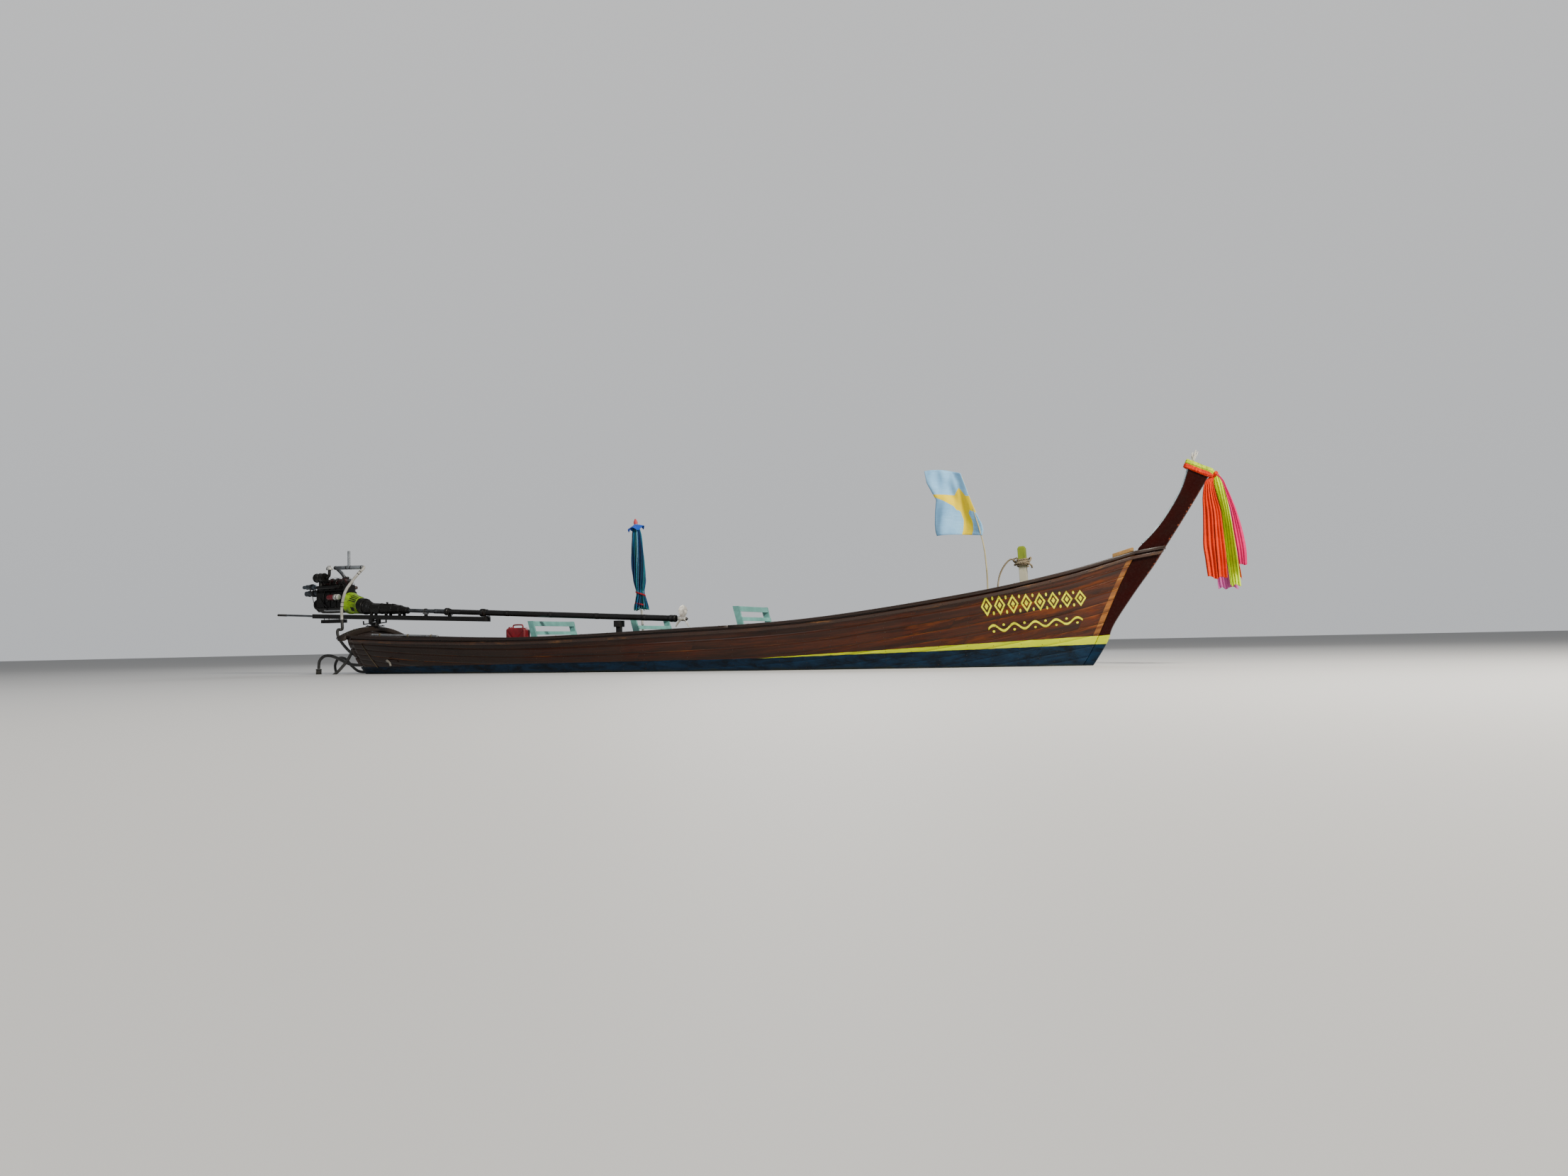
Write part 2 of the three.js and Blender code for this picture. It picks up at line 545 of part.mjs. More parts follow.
// Cloths tied round the tip of the prow board, their ends hanging free in front of it
const bandOutline = new THREE.Shape([
  [6680, 2432], [6988, 2280], [6952, 2196], [6640, 2350],
].map(([x, z]) => new THREE.Vector2(x, z)));
add('sash_band', cut(
  board(bandOutline, STEM_HALF + 16),
  board(prowOutline, STEM_HALF + 1).translate(0.6, 0, 0),
  board(prowOutline, STEM_HALF + 1).translate(-0.6, 0, 0),
), orangeCloth);
// Hanging strips: x of each edge and height, from the knot down
//   name, material, y, rows of left x, right x, z
const sashes = [
  ['sash_orange', orangeCloth, -30, [
    [6956, 6992, 2191], [6835, 7035, 2000], [6825, 7040, 1600], [6825, 7060, 1400], [6850, 7080, 1060],
    [6900, 7085, 990],
  ]],
  ['sash_green', greenCloth, 24, [
    [6990, 7050, 2250], [7048, 7085, 2100], [7062, 7180, 1620], [7080, 7220, 1240], [7100, 7226, 905],
  ]],
  ['sash_pink', pinkCloth, -85, [
    [7000, 7050, 2230], [7060, 7110, 2100], [7150, 7230, 1750], [7210, 7300, 1400], [7235, 7300, 1150],
  ]],
];
for (const [name, cloth, y, rows] of sashes) {
  add(name, loft(rows.map(([x0, x1, z], i) => {
    const thick = i ? 14 : 20;
    const fold = 22 * Math.sin(i * 2.1);
    const mid = (x0 + x1) / 2;
    return [
      V(x0, y - thick, z), V(mid, y - thick + fold, z), V(x1, y - thick, z),
      V(x1, y + thick, z), V(mid, y + thick + fold, z), V(x0, y + thick, z),
    ];
  })), cloth);
}

// Engine, gearbox, tail and tiller, in their own frame: +X along the stowed tail, from the swivel
const tail = new THREE.Group();
tail.position.set(PIVOT.x, 0, 0);
tail.rotation.z = -rad(TAIL_YAW);
boat.add(tail);

// Swivel base on the crossbeam, and the fork with its open cradle that turns on it, both raked
const raked = (geometry) => geometry.rotateY(-rad(KINGPIN_RAKE)).translate(0, 0, ARCH.crown);
add('swivel_base', join(
  box(-125, 125, -80, 80, ARCH.crown + 1, ARCH.crown + 16),
  raked(rod(V(0, 0, 5), V(0, 0, 32), 62, 28)),
), blackSteel, tail);
add('swivel_fork', join(
  raked(rod(V(0, 0, 37), V(0, 0, 48), 84, 28)),
  raked(box(-60, 60, -90, 90, 46, 56)),
  ...[-90, 76].flatMap((y) => [
    raked(box(-40, 40, y, y + 14, 50, 122)),
    raked(box(-172, 172, y, y + 14, 44, 60)),
    raked(box(-172, -154, y, y + 14, 50, 106)),
    raked(box(154, 172, y, y + 14, 50, 106)),
  ]),
  rod(V(0, -88, PIVOT.z), V(0, 88, PIVOT.z), 13, 20),
), blackSteel, tail);

// Long frame that tilts on the fork's pin and carries engine, gearbox and shaft
const frameZ = (s) => 889 - s * 0.0396;
const frameBeam = (y) => loft([-1400, 2390].map((s) => [
  V(s, y - 16, frameZ(s) - 36), V(s, y - 16, frameZ(s) + 36),
  V(s, y + 16, frameZ(s) + 36), V(s, y + 16, frameZ(s) - 36),
]));
const lug = (y) => box(-28, 28, y - 9, y + 9, PIVOT.z - 23, PIVOT.z + 40);
const frameBody = join(
  frameBeam(-46), frameBeam(46),
  ...[-1385, -1000, -600, -190, 190, 700, 1120, 1620, 2370].map((s) =>
    box(s - 15, s + 15, -60, 60, frameZ(s) - 30, frameZ(s) + 30)),
  lug(-46), lug(46),
  ...[1120, 1620, 2370].map((s) => box(s - 14, s + 14, -26, 26, frameZ(s) - 20, shaftS(s) - TUBE_RADIUS - 4)),
);
add('tilt_frame', cut(frameBody, rod(V(0, -90, PIVOT.z), V(0, 90, PIVOT.z), 15, 20)), blackSteel, tail);

// Engine. Crankcase and sump in one body, with the timing cover aft, the flywheel flange
// forward, ribs and core plugs on both sides, and the oil filter's head to starboard.
const ENGINE = { aft: -1200, fore: -576, half: 140, pan: 1060, deck: 1330 };
const CYLINDERS = [-1085, -945, -805, -665];      // from aft, in the tail's frame
const chamfered = (x, half, low, high, cut45) => [
  V(x, -half + cut45, low), V(x, half - cut45, low), V(x, half, low + cut45), V(x, half, high - cut45),
  V(x, half - cut45, high), V(x, -half + cut45, high), V(x, -half, high - cut45), V(x, -half, low + cut45),
];
const prism = (from, to, half, low, high, cut45) =>
  loft([from, to].map((x) => chamfered(x, half, low, high, cut45)));
const level = (z, from, to, half) => [V(from, -half, z), V(to, -half, z), V(to, half, z), V(from, half, z)];
const FILTER = { y: -216, z: 1230, radius: 42, aft: -840, fore: -675 };
const filterRing = (from, to, radius) =>
  rod(V(from, FILTER.y, FILTER.z), V(to, FILTER.y, FILTER.z), radius, 18);
add('engine_block', join(
  prism(ENGINE.aft, ENGINE.fore, ENGINE.half, ENGINE.pan - 6, ENGINE.deck, 22),
  prism(ENGINE.aft - 18, ENGINE.aft + 4, 128, 1004, 1396, 38),
  rod(V(ENGINE.fore - 6, 0, 1132), V(-557, 0, 1132), 170, 28),
  prism(ENGINE.aft - 6, ENGINE.fore + 2, 154, ENGINE.pan - 7, ENGINE.pan + 7, 4),
  loft([level(984, -1120, -720, 84), level(1010, -1170, -640, 104), level(ENGINE.pan, -1192, -592, 128)]),
  ...CYLINDERS.flatMap((s) => [-1, 1].flatMap((side) => [
    rod(V(s, side * (ENGINE.half - 3), 1180), V(s, side * (ENGINE.half + 6), 1180), 26, 14),
    box(s + 60, s + 74, Math.min(side * 137, side * 150), Math.max(side * 137, side * 150), 1082, 1312),
  ])),
  box(-668, -594, FILTER.y - 8, -ENGINE.half + 3, 1198, 1262),
  filterRing(FILTER.fore + 0.4, -632, 46),
  filterRing(-634, -604, 30),
  filterRing(-606, -584, 45),
  box(-1130, -930, ENGINE.half - 3, 196, 1150, 1230),
  rod(V(-1150, 178, 1190), V(-900, 178, 1190), 44, 16),
  rod(V(-800, 168, 1090), V(-574, 168, 1090), 46, 16),
), castIron, tail);

// Cylinder head with its ribbed rocker cover and oil filler
add('cylinder_head', join(
  prism(-1180, -590, 118, ENGINE.deck + GAP, 1426, 10),
  loft([[-1172, 78, 1494], [-1140, 90, 1530], [-630, 90, 1530], [-598, 78, 1494]].map(([s, half, top]) =>
    chamfered(s, half, 1420, top, 26))),
  prism(-1180, -590, 100, 1422, 1436, 3),
  ...CYLINDERS.map((s) => box(s - 7, s + 7, -62, 62, 1522, 1540)),
  ...CYLINDERS.slice(1).map((s) => rod(V(s - 70, 0, 1524), V(s - 70, 0, 1548), 15, 6)),
  rod(V(-690, 40, 1520), V(-690, 40, 1566), 30, 16),
  rod(V(-1168, 0, 1412), V(-1214, 0, 1446), 26, 14),
), castIron, tail);

// Crank pulley below, with the water pump and the dynamo that overhang it to starboard
const PUMP = { y: -80, z: 1315 };
const DYNAMO = { y: -122, z: 1420 };
const onAxle = (at, from, to, radius, sides = 20) =>
  rod(V(from, at.y, at.z), V(to, at.y, at.z), radius, sides);
const CRANK = { y: 0, z: 1130 };
const beltRun = (a, ra, b, rb, side) => {
  const way = Math.atan2(b.z - a.z, b.y - a.y) + side * Math.PI / 2;
  return rod(
    V(-1320, a.y + ra * Math.cos(way), a.z + ra * Math.sin(way)),
    V(-1320, b.y + rb * Math.cos(way), b.z + rb * Math.sin(way)), 8, 6);
};
add('engine_pulleys', join(
  onAxle(CRANK, -1218.4, -1344, 26),
  onAxle(CRANK, -1300, -1312, 88, 28), onAxle(CRANK, -1310, -1330, 76, 28),
  onAxle(CRANK, -1328, -1340, 88, 28),
  onAxle(PUMP, -1218.4, -1500, 36),
  onAxle(PUMP, -1300, -1340, 58, 24), onAxle(PUMP, -1430, -1442, 52, 24), onAxle(PUMP, -1440, -1520, 44, 24),
  onAxle(DYNAMO, -1256, -1455, 40, 22), onAxle(DYNAMO, -1300, -1340, 50, 22),
  onAxle(DYNAMO, -1450, -1530, 30),
  box(-1440, -1250, DYNAMO.y - 14, PUMP.y + 14, PUMP.z, DYNAMO.z),
  beltRun(CRANK, 80, PUMP, 54, -1), beltRun(CRANK, 80, PUMP, 54, 1),
), blackSteel, tail);
add('battery_box', box(-1160, -745, -90, 90, 822, 879), blackSteel, tail);
add('oil_filter', join(
  filterRing(FILTER.aft + 6, FILTER.fore, FILTER.radius),
  filterRing(FILTER.aft, FILTER.aft + 8, FILTER.radius - 8),
), redPlastic, tail);

// Inlet manifold to starboard, with its air cleaner aft and the cleaner's raised inlet
const HEAD_SIDE = 118 + GAP;
const CLEANER = { y: -188, z: 1556 };
add('intake_manifold', join(
  prism(-1130, -630, 22, 1372, 1428, 12).translate(0, -186, 0),
  ...CYLINDERS.flatMap((s) => [
    box(s - 34, s + 34, -HEAD_SIDE - 10, -HEAD_SIDE, 1356, 1420),
    rod(V(s, -HEAD_SIDE - 4, 1392), V(s, -180, 1400), 22, 12),
  ]),
  rod(V(-1040, CLEANER.y, 1416), V(-1040, CLEANER.y, CLEANER.z), 30, 14),
  onAxle(CLEANER, -1150, -930, 70, 26),
  onAxle(CLEANER, -1134, -1122, 76, 26), onAxle(CLEANER, -958, -946, 76, 26),
  bar([
    V(-940, CLEANER.y, 1560), V(-880, CLEANER.y, 1562), V(-842, CLEANER.y, 1586), V(-832, CLEANER.y, 1687),
  ], 24, 14, 12),
  rod(V(-832, CLEANER.y, 1675), V(-832, CLEANER.y, 1705), 52, 20),
  rod(V(-832, CLEANER.y, 1703), V(-832, CLEANER.y, 1743), 52, 20, 24),
), blackSteel, tail);

// Exhaust: manifold to port, its elbow over the rocker cover, the long top tube and the stack
add('exhaust', join(
  bar([V(-1130, 172, 1392), V(-620, 172, 1392)], 28, 14, 1, false),
  ...CYLINDERS.flatMap((s) => [
    box(s - 34, s + 34, HEAD_SIDE, HEAD_SIDE + 10, 1358, 1422),
    rod(V(s, HEAD_SIDE + 4, 1392), V(s, 172, 1392), 22, 12),
  ]),
  bar([
    V(-830, 172, 1392), V(-832, 170, 1450), V(-850, 150, 1540), V(-878, 92, 1640), V(-900, 36, 1700),
    V(-890, 4, 1721),
  ], 30, 14, 18),
  rod(V(-930, 0, 1722), V(-274, 0, 1702), 31, 16),
  rod(V(-598, 0, 1710), V(-598, 0, 1980), 22, 14),
), greySteel, tail);

// Bell housing and gearbox on the shaft line
const ringAt = (s, radius, z, sides = 20) => Array.from({ length: sides }, (_, i) => {
  const a = 2 * Math.PI * (i + 0.5) / sides;
  return V(s, radius * Math.cos(a), z + radius * Math.sin(a));
});
add('bell_housing', loft([
  ringAt(-556, 176, 1132), ringAt(-500, 176, 1132), ringAt(-470, 160, 1116), ringAt(-190, 124, 1066),
]), bellPaint, tail);
add('gearbox', loft([
  ringAt(-188, 114, 1056), ringAt(-120, 114, 1052), ringAt(-60, 92, 1034), ringAt(420, 84, 1010),
  ringAt(560, 74, 995), ringAt(736, 52, shaftS(736)),
]), castIron, tail);

// Shaft tubes in line, in steps, with their clamps
const along = (s) => V(s, 0, shaftS(s));
const tubeRun = (from, to, radius) => rod(along(from), along(to), radius, 18);
add('shaft_sleeve', join(tubeRun(738, 1540, 30), tubeRun(1300, 1545, 36)), greySteel, tail);
add('shaft_coupling', join(
  tubeRun(1546, 1600, 58), tubeRun(1590, 2280, 38), tubeRun(2270, 2330, 60),
), blackSteel, tail);
add('tail_tube', join(
  tubeRun(2331, 5700, TUBE_RADIUS), tubeRun(5690, 5790, TUBE_RADIUS + 6),
), blackSteel, tail);

// Tiller bar behind the engine
add('tiller', bar([V(-1402, 0, 945), V(-1700, 0, 962), V(-2330, 0, 990)], 17, 12, 8), greySteel, tail);

// Cooling pipe down the engine's starboard side, turned outboard at its end to meet the hose
add('cooling_pipe', bar([
  V(-266, 0, 1702), V(-247, -3, 1700), V(-232, -30, 1676), V(-262, -84, 1612), V(-330, -170, 1470),
  V(-400, -236, 1320), V(-455, -250, 1150),
  V(-475, -250, 1010), V(-472, -250, 880), V(-458, -254, 770), V(-440, -270, 716), V(-434, -296, 704),
  V(-434, -322, 704),
], 24, 10, 52), whitePlastic, tail);

// Propeller
const blade = (turn) => {
  const rows = [[30, 34, 52], [70, 56, 44], [115, 66, 36], [155, 52, 30], [PROP_RADIUS, 16, 26]];
  const g = loft(rows.map(([r, chord, pitch]) => {
    const [c, s] = [Math.cos(rad(pitch)), Math.sin(rad(pitch))];
    return [[-chord, -3], [chord, -3], [chord, 3], [-chord, 3]].map(([a, t]) =>
      V(a * s + t * c, a * c - t * s, r));
  }));
  return g.rotateX(rad(turn));
};
const propeller = new THREE.Group();
propeller.position.copy(along(PROP_AT));
propeller.rotation.y = rad(TAIL_DROP);
tail.add(propeller);
add('propeller', join(
  rod(V(-62, 0, 0), V(56, 0, 0), 33, 20), rod(V(50, 0, 0), V(84, 0, 0), 22, 16, 12),
  rod(V(-98, 0, 0), V(-55, 0, 0), 20, 16),
  ...[0, 120, 240].map(blade),
), propMetal, propeller);

export default boat;
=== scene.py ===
"""A wooden longtail boat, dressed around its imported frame. Metres, +X to the bow, +Z up."""
import random
from math import acos, atan2, ceil, copysign, cos, exp, pi, radians, sin, sqrt, tan, tau

import bmesh
import bpy
import numpy as np
from mathutils import Matrix, Vector


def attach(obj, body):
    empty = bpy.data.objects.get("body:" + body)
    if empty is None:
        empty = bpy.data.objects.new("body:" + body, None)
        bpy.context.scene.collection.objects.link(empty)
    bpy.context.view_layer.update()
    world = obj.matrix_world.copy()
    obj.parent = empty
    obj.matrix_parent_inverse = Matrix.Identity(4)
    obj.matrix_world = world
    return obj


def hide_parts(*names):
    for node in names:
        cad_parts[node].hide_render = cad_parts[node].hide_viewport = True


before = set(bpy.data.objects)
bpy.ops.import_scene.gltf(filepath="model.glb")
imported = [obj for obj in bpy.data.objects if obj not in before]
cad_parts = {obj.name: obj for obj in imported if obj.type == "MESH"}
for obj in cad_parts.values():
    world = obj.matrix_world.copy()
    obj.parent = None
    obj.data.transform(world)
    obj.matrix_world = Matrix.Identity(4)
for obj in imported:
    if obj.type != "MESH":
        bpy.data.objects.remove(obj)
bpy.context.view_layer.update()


def new_object(name, data):
    """An object in the scene."""
    made = bpy.data.objects.new(name, data)
    bpy.context.collection.objects.link(made)
    return made


# Camera, standing in shallow water off the starboard bow and looking slightly up.
# It is square to neither side: the bow comes toward it and the stern goes away.
PHOTO_WIDTH = 2212
PHOTO_FOCAL = 1661  # in the photo's pixels
FILM_WIDTH = 36  # in millimetres
CAMERA_AT = Vector((7.531, -14.846, 0.35))
CAMERA_YAW = radians(22.4)  # turned toward the stern
CAMERA_PITCH = radians(2.68)  # up
CAMERA_ROLL = radians(1.14)  # the right side lower
ahead = Vector((-sin(CAMERA_YAW) * cos(CAMERA_PITCH), cos(CAMERA_YAW) * cos(CAMERA_PITCH),
    sin(CAMERA_PITCH)))
level = Vector((cos(CAMERA_YAW), sin(CAMERA_YAW), 0))
upward = level.cross(ahead)
right = level * cos(CAMERA_ROLL) - upward * sin(CAMERA_ROLL)
upward = right.cross(ahead)
camera = new_object("camera", bpy.data.cameras.new("camera"))
camera.matrix_world = Matrix((right, upward, -ahead)).transposed().to_4x4()
camera.location = CAMERA_AT
camera.data.sensor_fit = "HORIZONTAL"
camera.data.sensor_width = FILM_WIDTH
camera.data.lens = FILM_WIDTH * PHOTO_FOCAL / PHOTO_WIDTH
camera.data.clip_end = 400
bpy.context.scene.camera = camera


# Soft studio light from above and from off the bow, with a pale backdrop all round.
def feed(node, values):
    """Gives a node's inputs, by name or place, a value or a socket to link."""
    for key, value in values.items():
        if isinstance(value, bpy.types.NodeSocket):
            node.id_data.links.new(value, node.inputs[key])
        else:
            node.inputs[key].default_value = value


def put(tree, kind, values=None, family="ShaderNode", **settings):
    """Adds a node with its settings and inputs."""
    node = tree.nodes.new(family + kind)
    for key, value in settings.items():
        setattr(node, key, value)
    feed(node, values or {})
    return node


def shader(name):
    """A new material, its Principled shader, and its surface's object coordinates."""
    material = bpy.data.materials.new(name)
    material.use_nodes = True
    tree = material.node_tree
    return material, tree.nodes["Principled BSDF"], put(tree, "TexCoord").outputs["Object"]


def tree_of(*values):
    """The node tree of the first socket among some values."""
    return next(v for v in values if isinstance(v, bpy.types.NodeSocket)).id_data


def maths(operation, first, second=0.0, clamp=False):
    """One Math node. Sockets take the usual operators too."""
    return put(tree_of(first, second), "Math", {0: first, 1: second}, operation=operation,
        use_clamp=clamp).outputs[0]


for sign, kind in (("mul", "MULTIPLY"), ("add", "ADD"), ("sub", "SUBTRACT"), ("truediv", "DIVIDE"),
        ("pow", "POWER"), ("gt", "GREATER_THAN"), ("lt", "LESS_THAN")):
    setattr(bpy.types.NodeSocket, f"__{sign}__", lambda a, b, kind=kind: maths(kind, a, b))
    if sign not in ("gt", "lt"):
        setattr(bpy.types.NodeSocket, f"__r{sign}__", lambda b, a, kind=kind: maths(kind, a, b))
bpy.types.NodeSocket.__abs__ = lambda a: maths("ABSOLUTE", a)


def axes_of(vector):
    """A vector's X, Y and Z."""
    return put(vector.id_data, "SeparateXYZ", {0: vector}).outputs


def combined(x, y=0.0, z=0.0):
    """A vector from its three numbers."""
    return put(tree_of(x, y, z), "CombineXYZ", {"X": x, "Y": y, "Z": z}).outputs[0]


def spread(value, low=0.0, high=1.0, to_low=0.0, to_high=1.0):
    """value mapped evenly from low..high to to_low..to_high, and kept between them."""
    return put(tree_of(value), "MapRange", {0: value, 1: low, 2: high, 3: to_low, 4: to_high}).outputs[0]


world = bpy.data.worlds.new("studio")
bpy.context.scene.world = world
world.use_nodes = True
world_tree = world.node_tree
backdrop = world_tree.nodes["Background"]
sky_direction = put(world_tree, "TexCoord").outputs["Generated"]
sky_height = axes_of(sky_direction)["Z"]
sky = put(world_tree, "ValToRGB", {"Fac": sky_height})
sky.color_ramp.elements[0].color = 0.8, 0.82, 0.85, 1
sky.color_ramp.elements[1].color = 1.0, 1.0, 1.0, 1
sky.color_ramp.elements[1].position = 0.6
feed(backdrop, {"Color": sky.outputs["Color"]})
BACKDROP_LIGHT, SKY_LIGHT = 0.75, 0.26
seen = put(world_tree, "LightPath").outputs["Is Camera Ray"]
feed(backdrop, {"Strength": spread(seen, to_low=SKY_LIGHT, to_high=BACKDROP_LIGHT)})


def softbox(name, place, aim, size, watts, colour):
    """A square area light that faces a point."""
    lamp = new_object(name, bpy.data.lights.new(name, "AREA"))
    lamp.location = place
    lamp.rotation_euler = (Vector(aim) - Vector(place)).to_track_quat("-Z", "Y").to_euler()
    lamp.data.size = size
    lamp.data.energy = watts
    lamp.data.color = colour


softbox("key_light", (15, -8, 10), (2.5, 0, 0.5), 3.5, 4200, (1.0, 0.93, 0.82))
softbox("fill_light", (-5, -14, 9), (-2, 0, 0.5), 8, 320, (0.93, 0.96, 1.0))
softbox("back_light", (-4, 14, 9), (0, 0, 0.5), 8, 900, (1.0, 1.0, 1.0))


# Hoses at the stern. Black ribbed rubber hoses, 44 and 48 mm across: the water hose takes over from the
# tail's cooling pipe and goes to the transom through a ring, the suction hose arches over to its
# strainer in the water, and two more hang from the transom into the water.
def curve_through(points, samples=12):
    """Points of a smooth curve, a centripetal Catmull-Rom, through given ones."""
    given = [Vector(p) for p in points]
    ends = [given[0] * 2 - given[1], *given, given[-1] * 2 - given[-2]]
    path = []
    for i in range(1, len(ends) - 2):
        p0, p1, p2, p3 = ends[i - 1:i + 3]
        d0, d1, d2 = (sqrt((b - a).length) for a, b in ((p0, p1), (p1, p2), (p2, p3)))
        t1 = ((p1 - p0) / d0 - (p2 - p0) / (d0 + d1) + (p2 - p1) / d1) * d1
        t2 = ((p2 - p1) / d1 - (p3 - p1) / (d1 + d2) + (p3 - p2) / d2) * d1
        for k in range(samples):
            t = k / samples
            path.append(p1 + t1 * t + (p2 * 3 - p1 * 3 - t1 * 2 - t2) * t * t + (p1 * 2 - p2 * 2 + t1 + t2)
                * t ** 3)
    return [*path, given[-1]]


def evenly(path, step):
    """The same path with points a step apart."""
    line = np.array([tuple(p) for p in path])
    run = np.concatenate([[0], np.cumsum(np.linalg.norm(np.diff(line, axis=0), axis=1))])
    wanted = np.linspace(0, run[-1], max(2, round(run[-1] / step)) + 1)
    return ([Vector(p) for p in np.stack([np.interp(wanted, run, line[:, k]) for k in range(3)], axis=1)],
        run[-1])


def smooth(points, step):
    """Even points on the smooth curve through given ones."""
    return evenly(curve_through(points), step)[0]


def frames_along(path):
    """Two directions square to the path at each point, turned as little as possible."""
    tangents = [(b - a).normalized() for a, b in zip(path, path[1:])]
    tangents = [tangents[0], *[(a + b).normalized() for a, b in zip(tangents, tangents[1:])], tangents[-1]]
    side = tangents[0].orthogonal().normalized()
    found = []
    for tangent in tangents:
        side = (side - tangent * side.dot(tangent)).normalized()
        found.append((side, tangent.cross(side)))
    return found


def new_piece(name, corners, faces, uvs):
    """A smooth mesh object. uvs holds one pair for each corner of each face."""
    mesh = bpy.data.meshes.new(name)
    mesh.from_pydata([tuple(c) for c in corners], [], faces)
    layer = mesh.uv_layers.new(name="UVMap")
    layer.data.foreach_set("uv", np.array(uvs, dtype=np.float32).ravel())
    mesh.polygons.foreach_set("use_smooth", [True] * len(mesh.polygons))
    mesh.update()
    return new_object(name, mesh)


def faced_out(piece):
    """Turns every face of a closed piece outwards."""
    work = bmesh.new()
    work.from_mesh(piece.data)
    bmesh.ops.recalc_face_normals(work, faces=work.faces)
    work.to_mesh(piece.data)
    work.free()
    return piece


def welded(piece, distance):
    """A ring-shaped piece with its doubled corners joined, and turned outwards."""
    work = bmesh.new()
    work.from_mesh(piece.data)
    bmesh.ops.remove_doubles(work, verts=work.verts, dist=distance)
    work.to_mesh(piece.data)
    work.free()
    return faced_out(piece)


def dressed(piece, material, body, finish, node=None):
    """A finished piece's material and body, and the CAD node that it stands for, which it hides. finish is
    not used.
    """
    piece.data.materials.append(material)
    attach(piece, body)
    if node:
        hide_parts(node)
    return piece


def skin_over(name, rings, loop=True, caps=True, along=None, around=None):
    """A skin over rings of points. UV: along in metres, around from 0 to 1."""
    count = len(rings[0])
    corners = [p for ring in rings for p in ring]
    faces, uvs = [], []
    if along is None:
        middles = [sum((Vector(p) for p in ring), Vector()) / count for ring in rings]
        along = np.concatenate([[0], np.cumsum([(b - a).length for a, b in zip(middles, middles[1:])])])
    around = around if around is not None else [i / count for i in range(count + 1)]
    for r in range(len(rings) - 1):
        for i in range(count if loop else count - 1):
            j = (i + 1) % count
            faces.append((r * count + i, r * count + j, (r + 1) * count + j, (r + 1) * count + i))
            uvs += [(along[r], around[i]), (along[r], around[i + 1]), (along[r + 1], around[i + 1]),
                (along[r + 1], around[i])]
    if caps and loop:
        for r, ring in ((0, range(count - 1, -1, -1)), (len(rings) - 1, range(count))):
            faces.append(tuple(r * count + i for i in ring))
            uvs += [(along[r], around[i]) for i in ring]
    return new_piece(name, corners, faces, uvs)


def tube(name, path, radius, sides=16):
    """A tube on a path. radius is a number, or a function of the distance along."""
    wide = radius if callable(radius) else lambda s: radius
    run = np.concatenate([[0], np.cumsum([(b - a).length for a, b in zip(path, path[1:])])])
    rings = []
    for point, (side, other), s in zip(path, frames_along(path), run):
        rings.append([point + side * (wide(s) * cos(a)) + other * (wide(s) * sin(a))
            for a in (tau * i / sides for i in range(sides))])
    return skin_over(name, rings, along=run)


def mix(factor, first, second):
    """Colours or sockets, mixed by factor."""
    colours = {k: v if isinstance(v, bpy.types.NodeSocket) else (*v[:3], 1)
        for k, v in ((6, first), (7, second))}
    return put(tree_of(factor, first, second), "Mix", {0: factor, **colours}, data_type="RGBA").outputs[2]


def noise(vector, scale, detail=4.0, roughness=0.55, distortion=0.0):
    """Fractal noise from 0 to 1."""
    return put(vector.id_data, "TexNoise", {"Vector": vector, "Scale": scale, "Detail": detail,
        "Roughness": roughness, "Distortion": distortion}).outputs["Fac"]


def stretched(vector, scale):
    """A vector scaled by three factors."""
    return put(vector.id_data, "Mapping", {"Vector": vector, "Scale": scale}).outputs["Vector"]


def step_up(value, low, high, to_low=0.0, to_high=1.0):
    """value mapped smoothly from low..high to to_low..to_high."""
    return put(value.id_data, "MapRange", {0: value, 1: low, 2: high, 3: to_low, 4: to_high},
        interpolation_type="SMOOTHSTEP").outputs[0]


def bump(shade, height, strength, distance):
    """Feeds a height to the shader's normal."""
    node = put(shade.id_data, "Bump", {"Height": height, "Strength": strength, "Distance": distance})
    feed(shade, {"Normal": node.outputs["Normal"]})


def group_of(name, inputs, outputs, kind_of_tree="ShaderNodeTree"):
    """An empty node group with named sockets, and its own inputs and outputs."""
    group = bpy.data.node_groups.new(name, kind_of_tree)
    for label, kind, value in inputs:
        socket = group.interface.new_socket(name=label, in_out="INPUT", socket_type="NodeSocket" + kind)
        if value is not None:
            socket.default_value = value
    for label, kind in outputs:
        group.interface.new_socket(name=label, in_out="OUTPUT", socket_type="NodeSocket" + kind)
    return group, group.nodes.new("NodeGroupInput").outputs, group.nodes.new("NodeGroupOutput").inputs


def use_group(group, values):
    """Places a group beside its vector, and returns its outputs."""
    node = put(values["Vector"].id_data, "Group", node_tree=group)
    feed(node, values)
    return node.outputs


# Dirt that gathers in patches, for every material that is handled or splashed
grime, g_in, g_out = group_of("grime", [("Vector", "Vector", None), ("Scale", "Float", 3.0),
    ("Amount", "Float", 0.5)], [("Mask", "Float"), ("Fine", "Float")])
g_broad = noise(g_in["Vector"], g_in["Scale"], 5.0, 0.62)
g_edge = 0.78 - g_in["Amount"]
g_mask = put(grime, "MapRange", {"Value": g_broad, "From Min": g_edge, "From Max": g_edge + 0.22})
grime.links.new(g_mask.outputs[0], g_out["Mask"])
g_fine = noise(g_in["Vector"], g_in["Scale"] * 14.0, 3.0)
grime.links.new(g_fine, g_out["Fine"])


def dirt_on(place, scale, amount):
    """The dirt's patches and its fine grain at a place."""
    found = use_group(grime, {"Vector": place, "Scale": scale, "Amount": amount})
    return found["Mask"], found["Fine"]


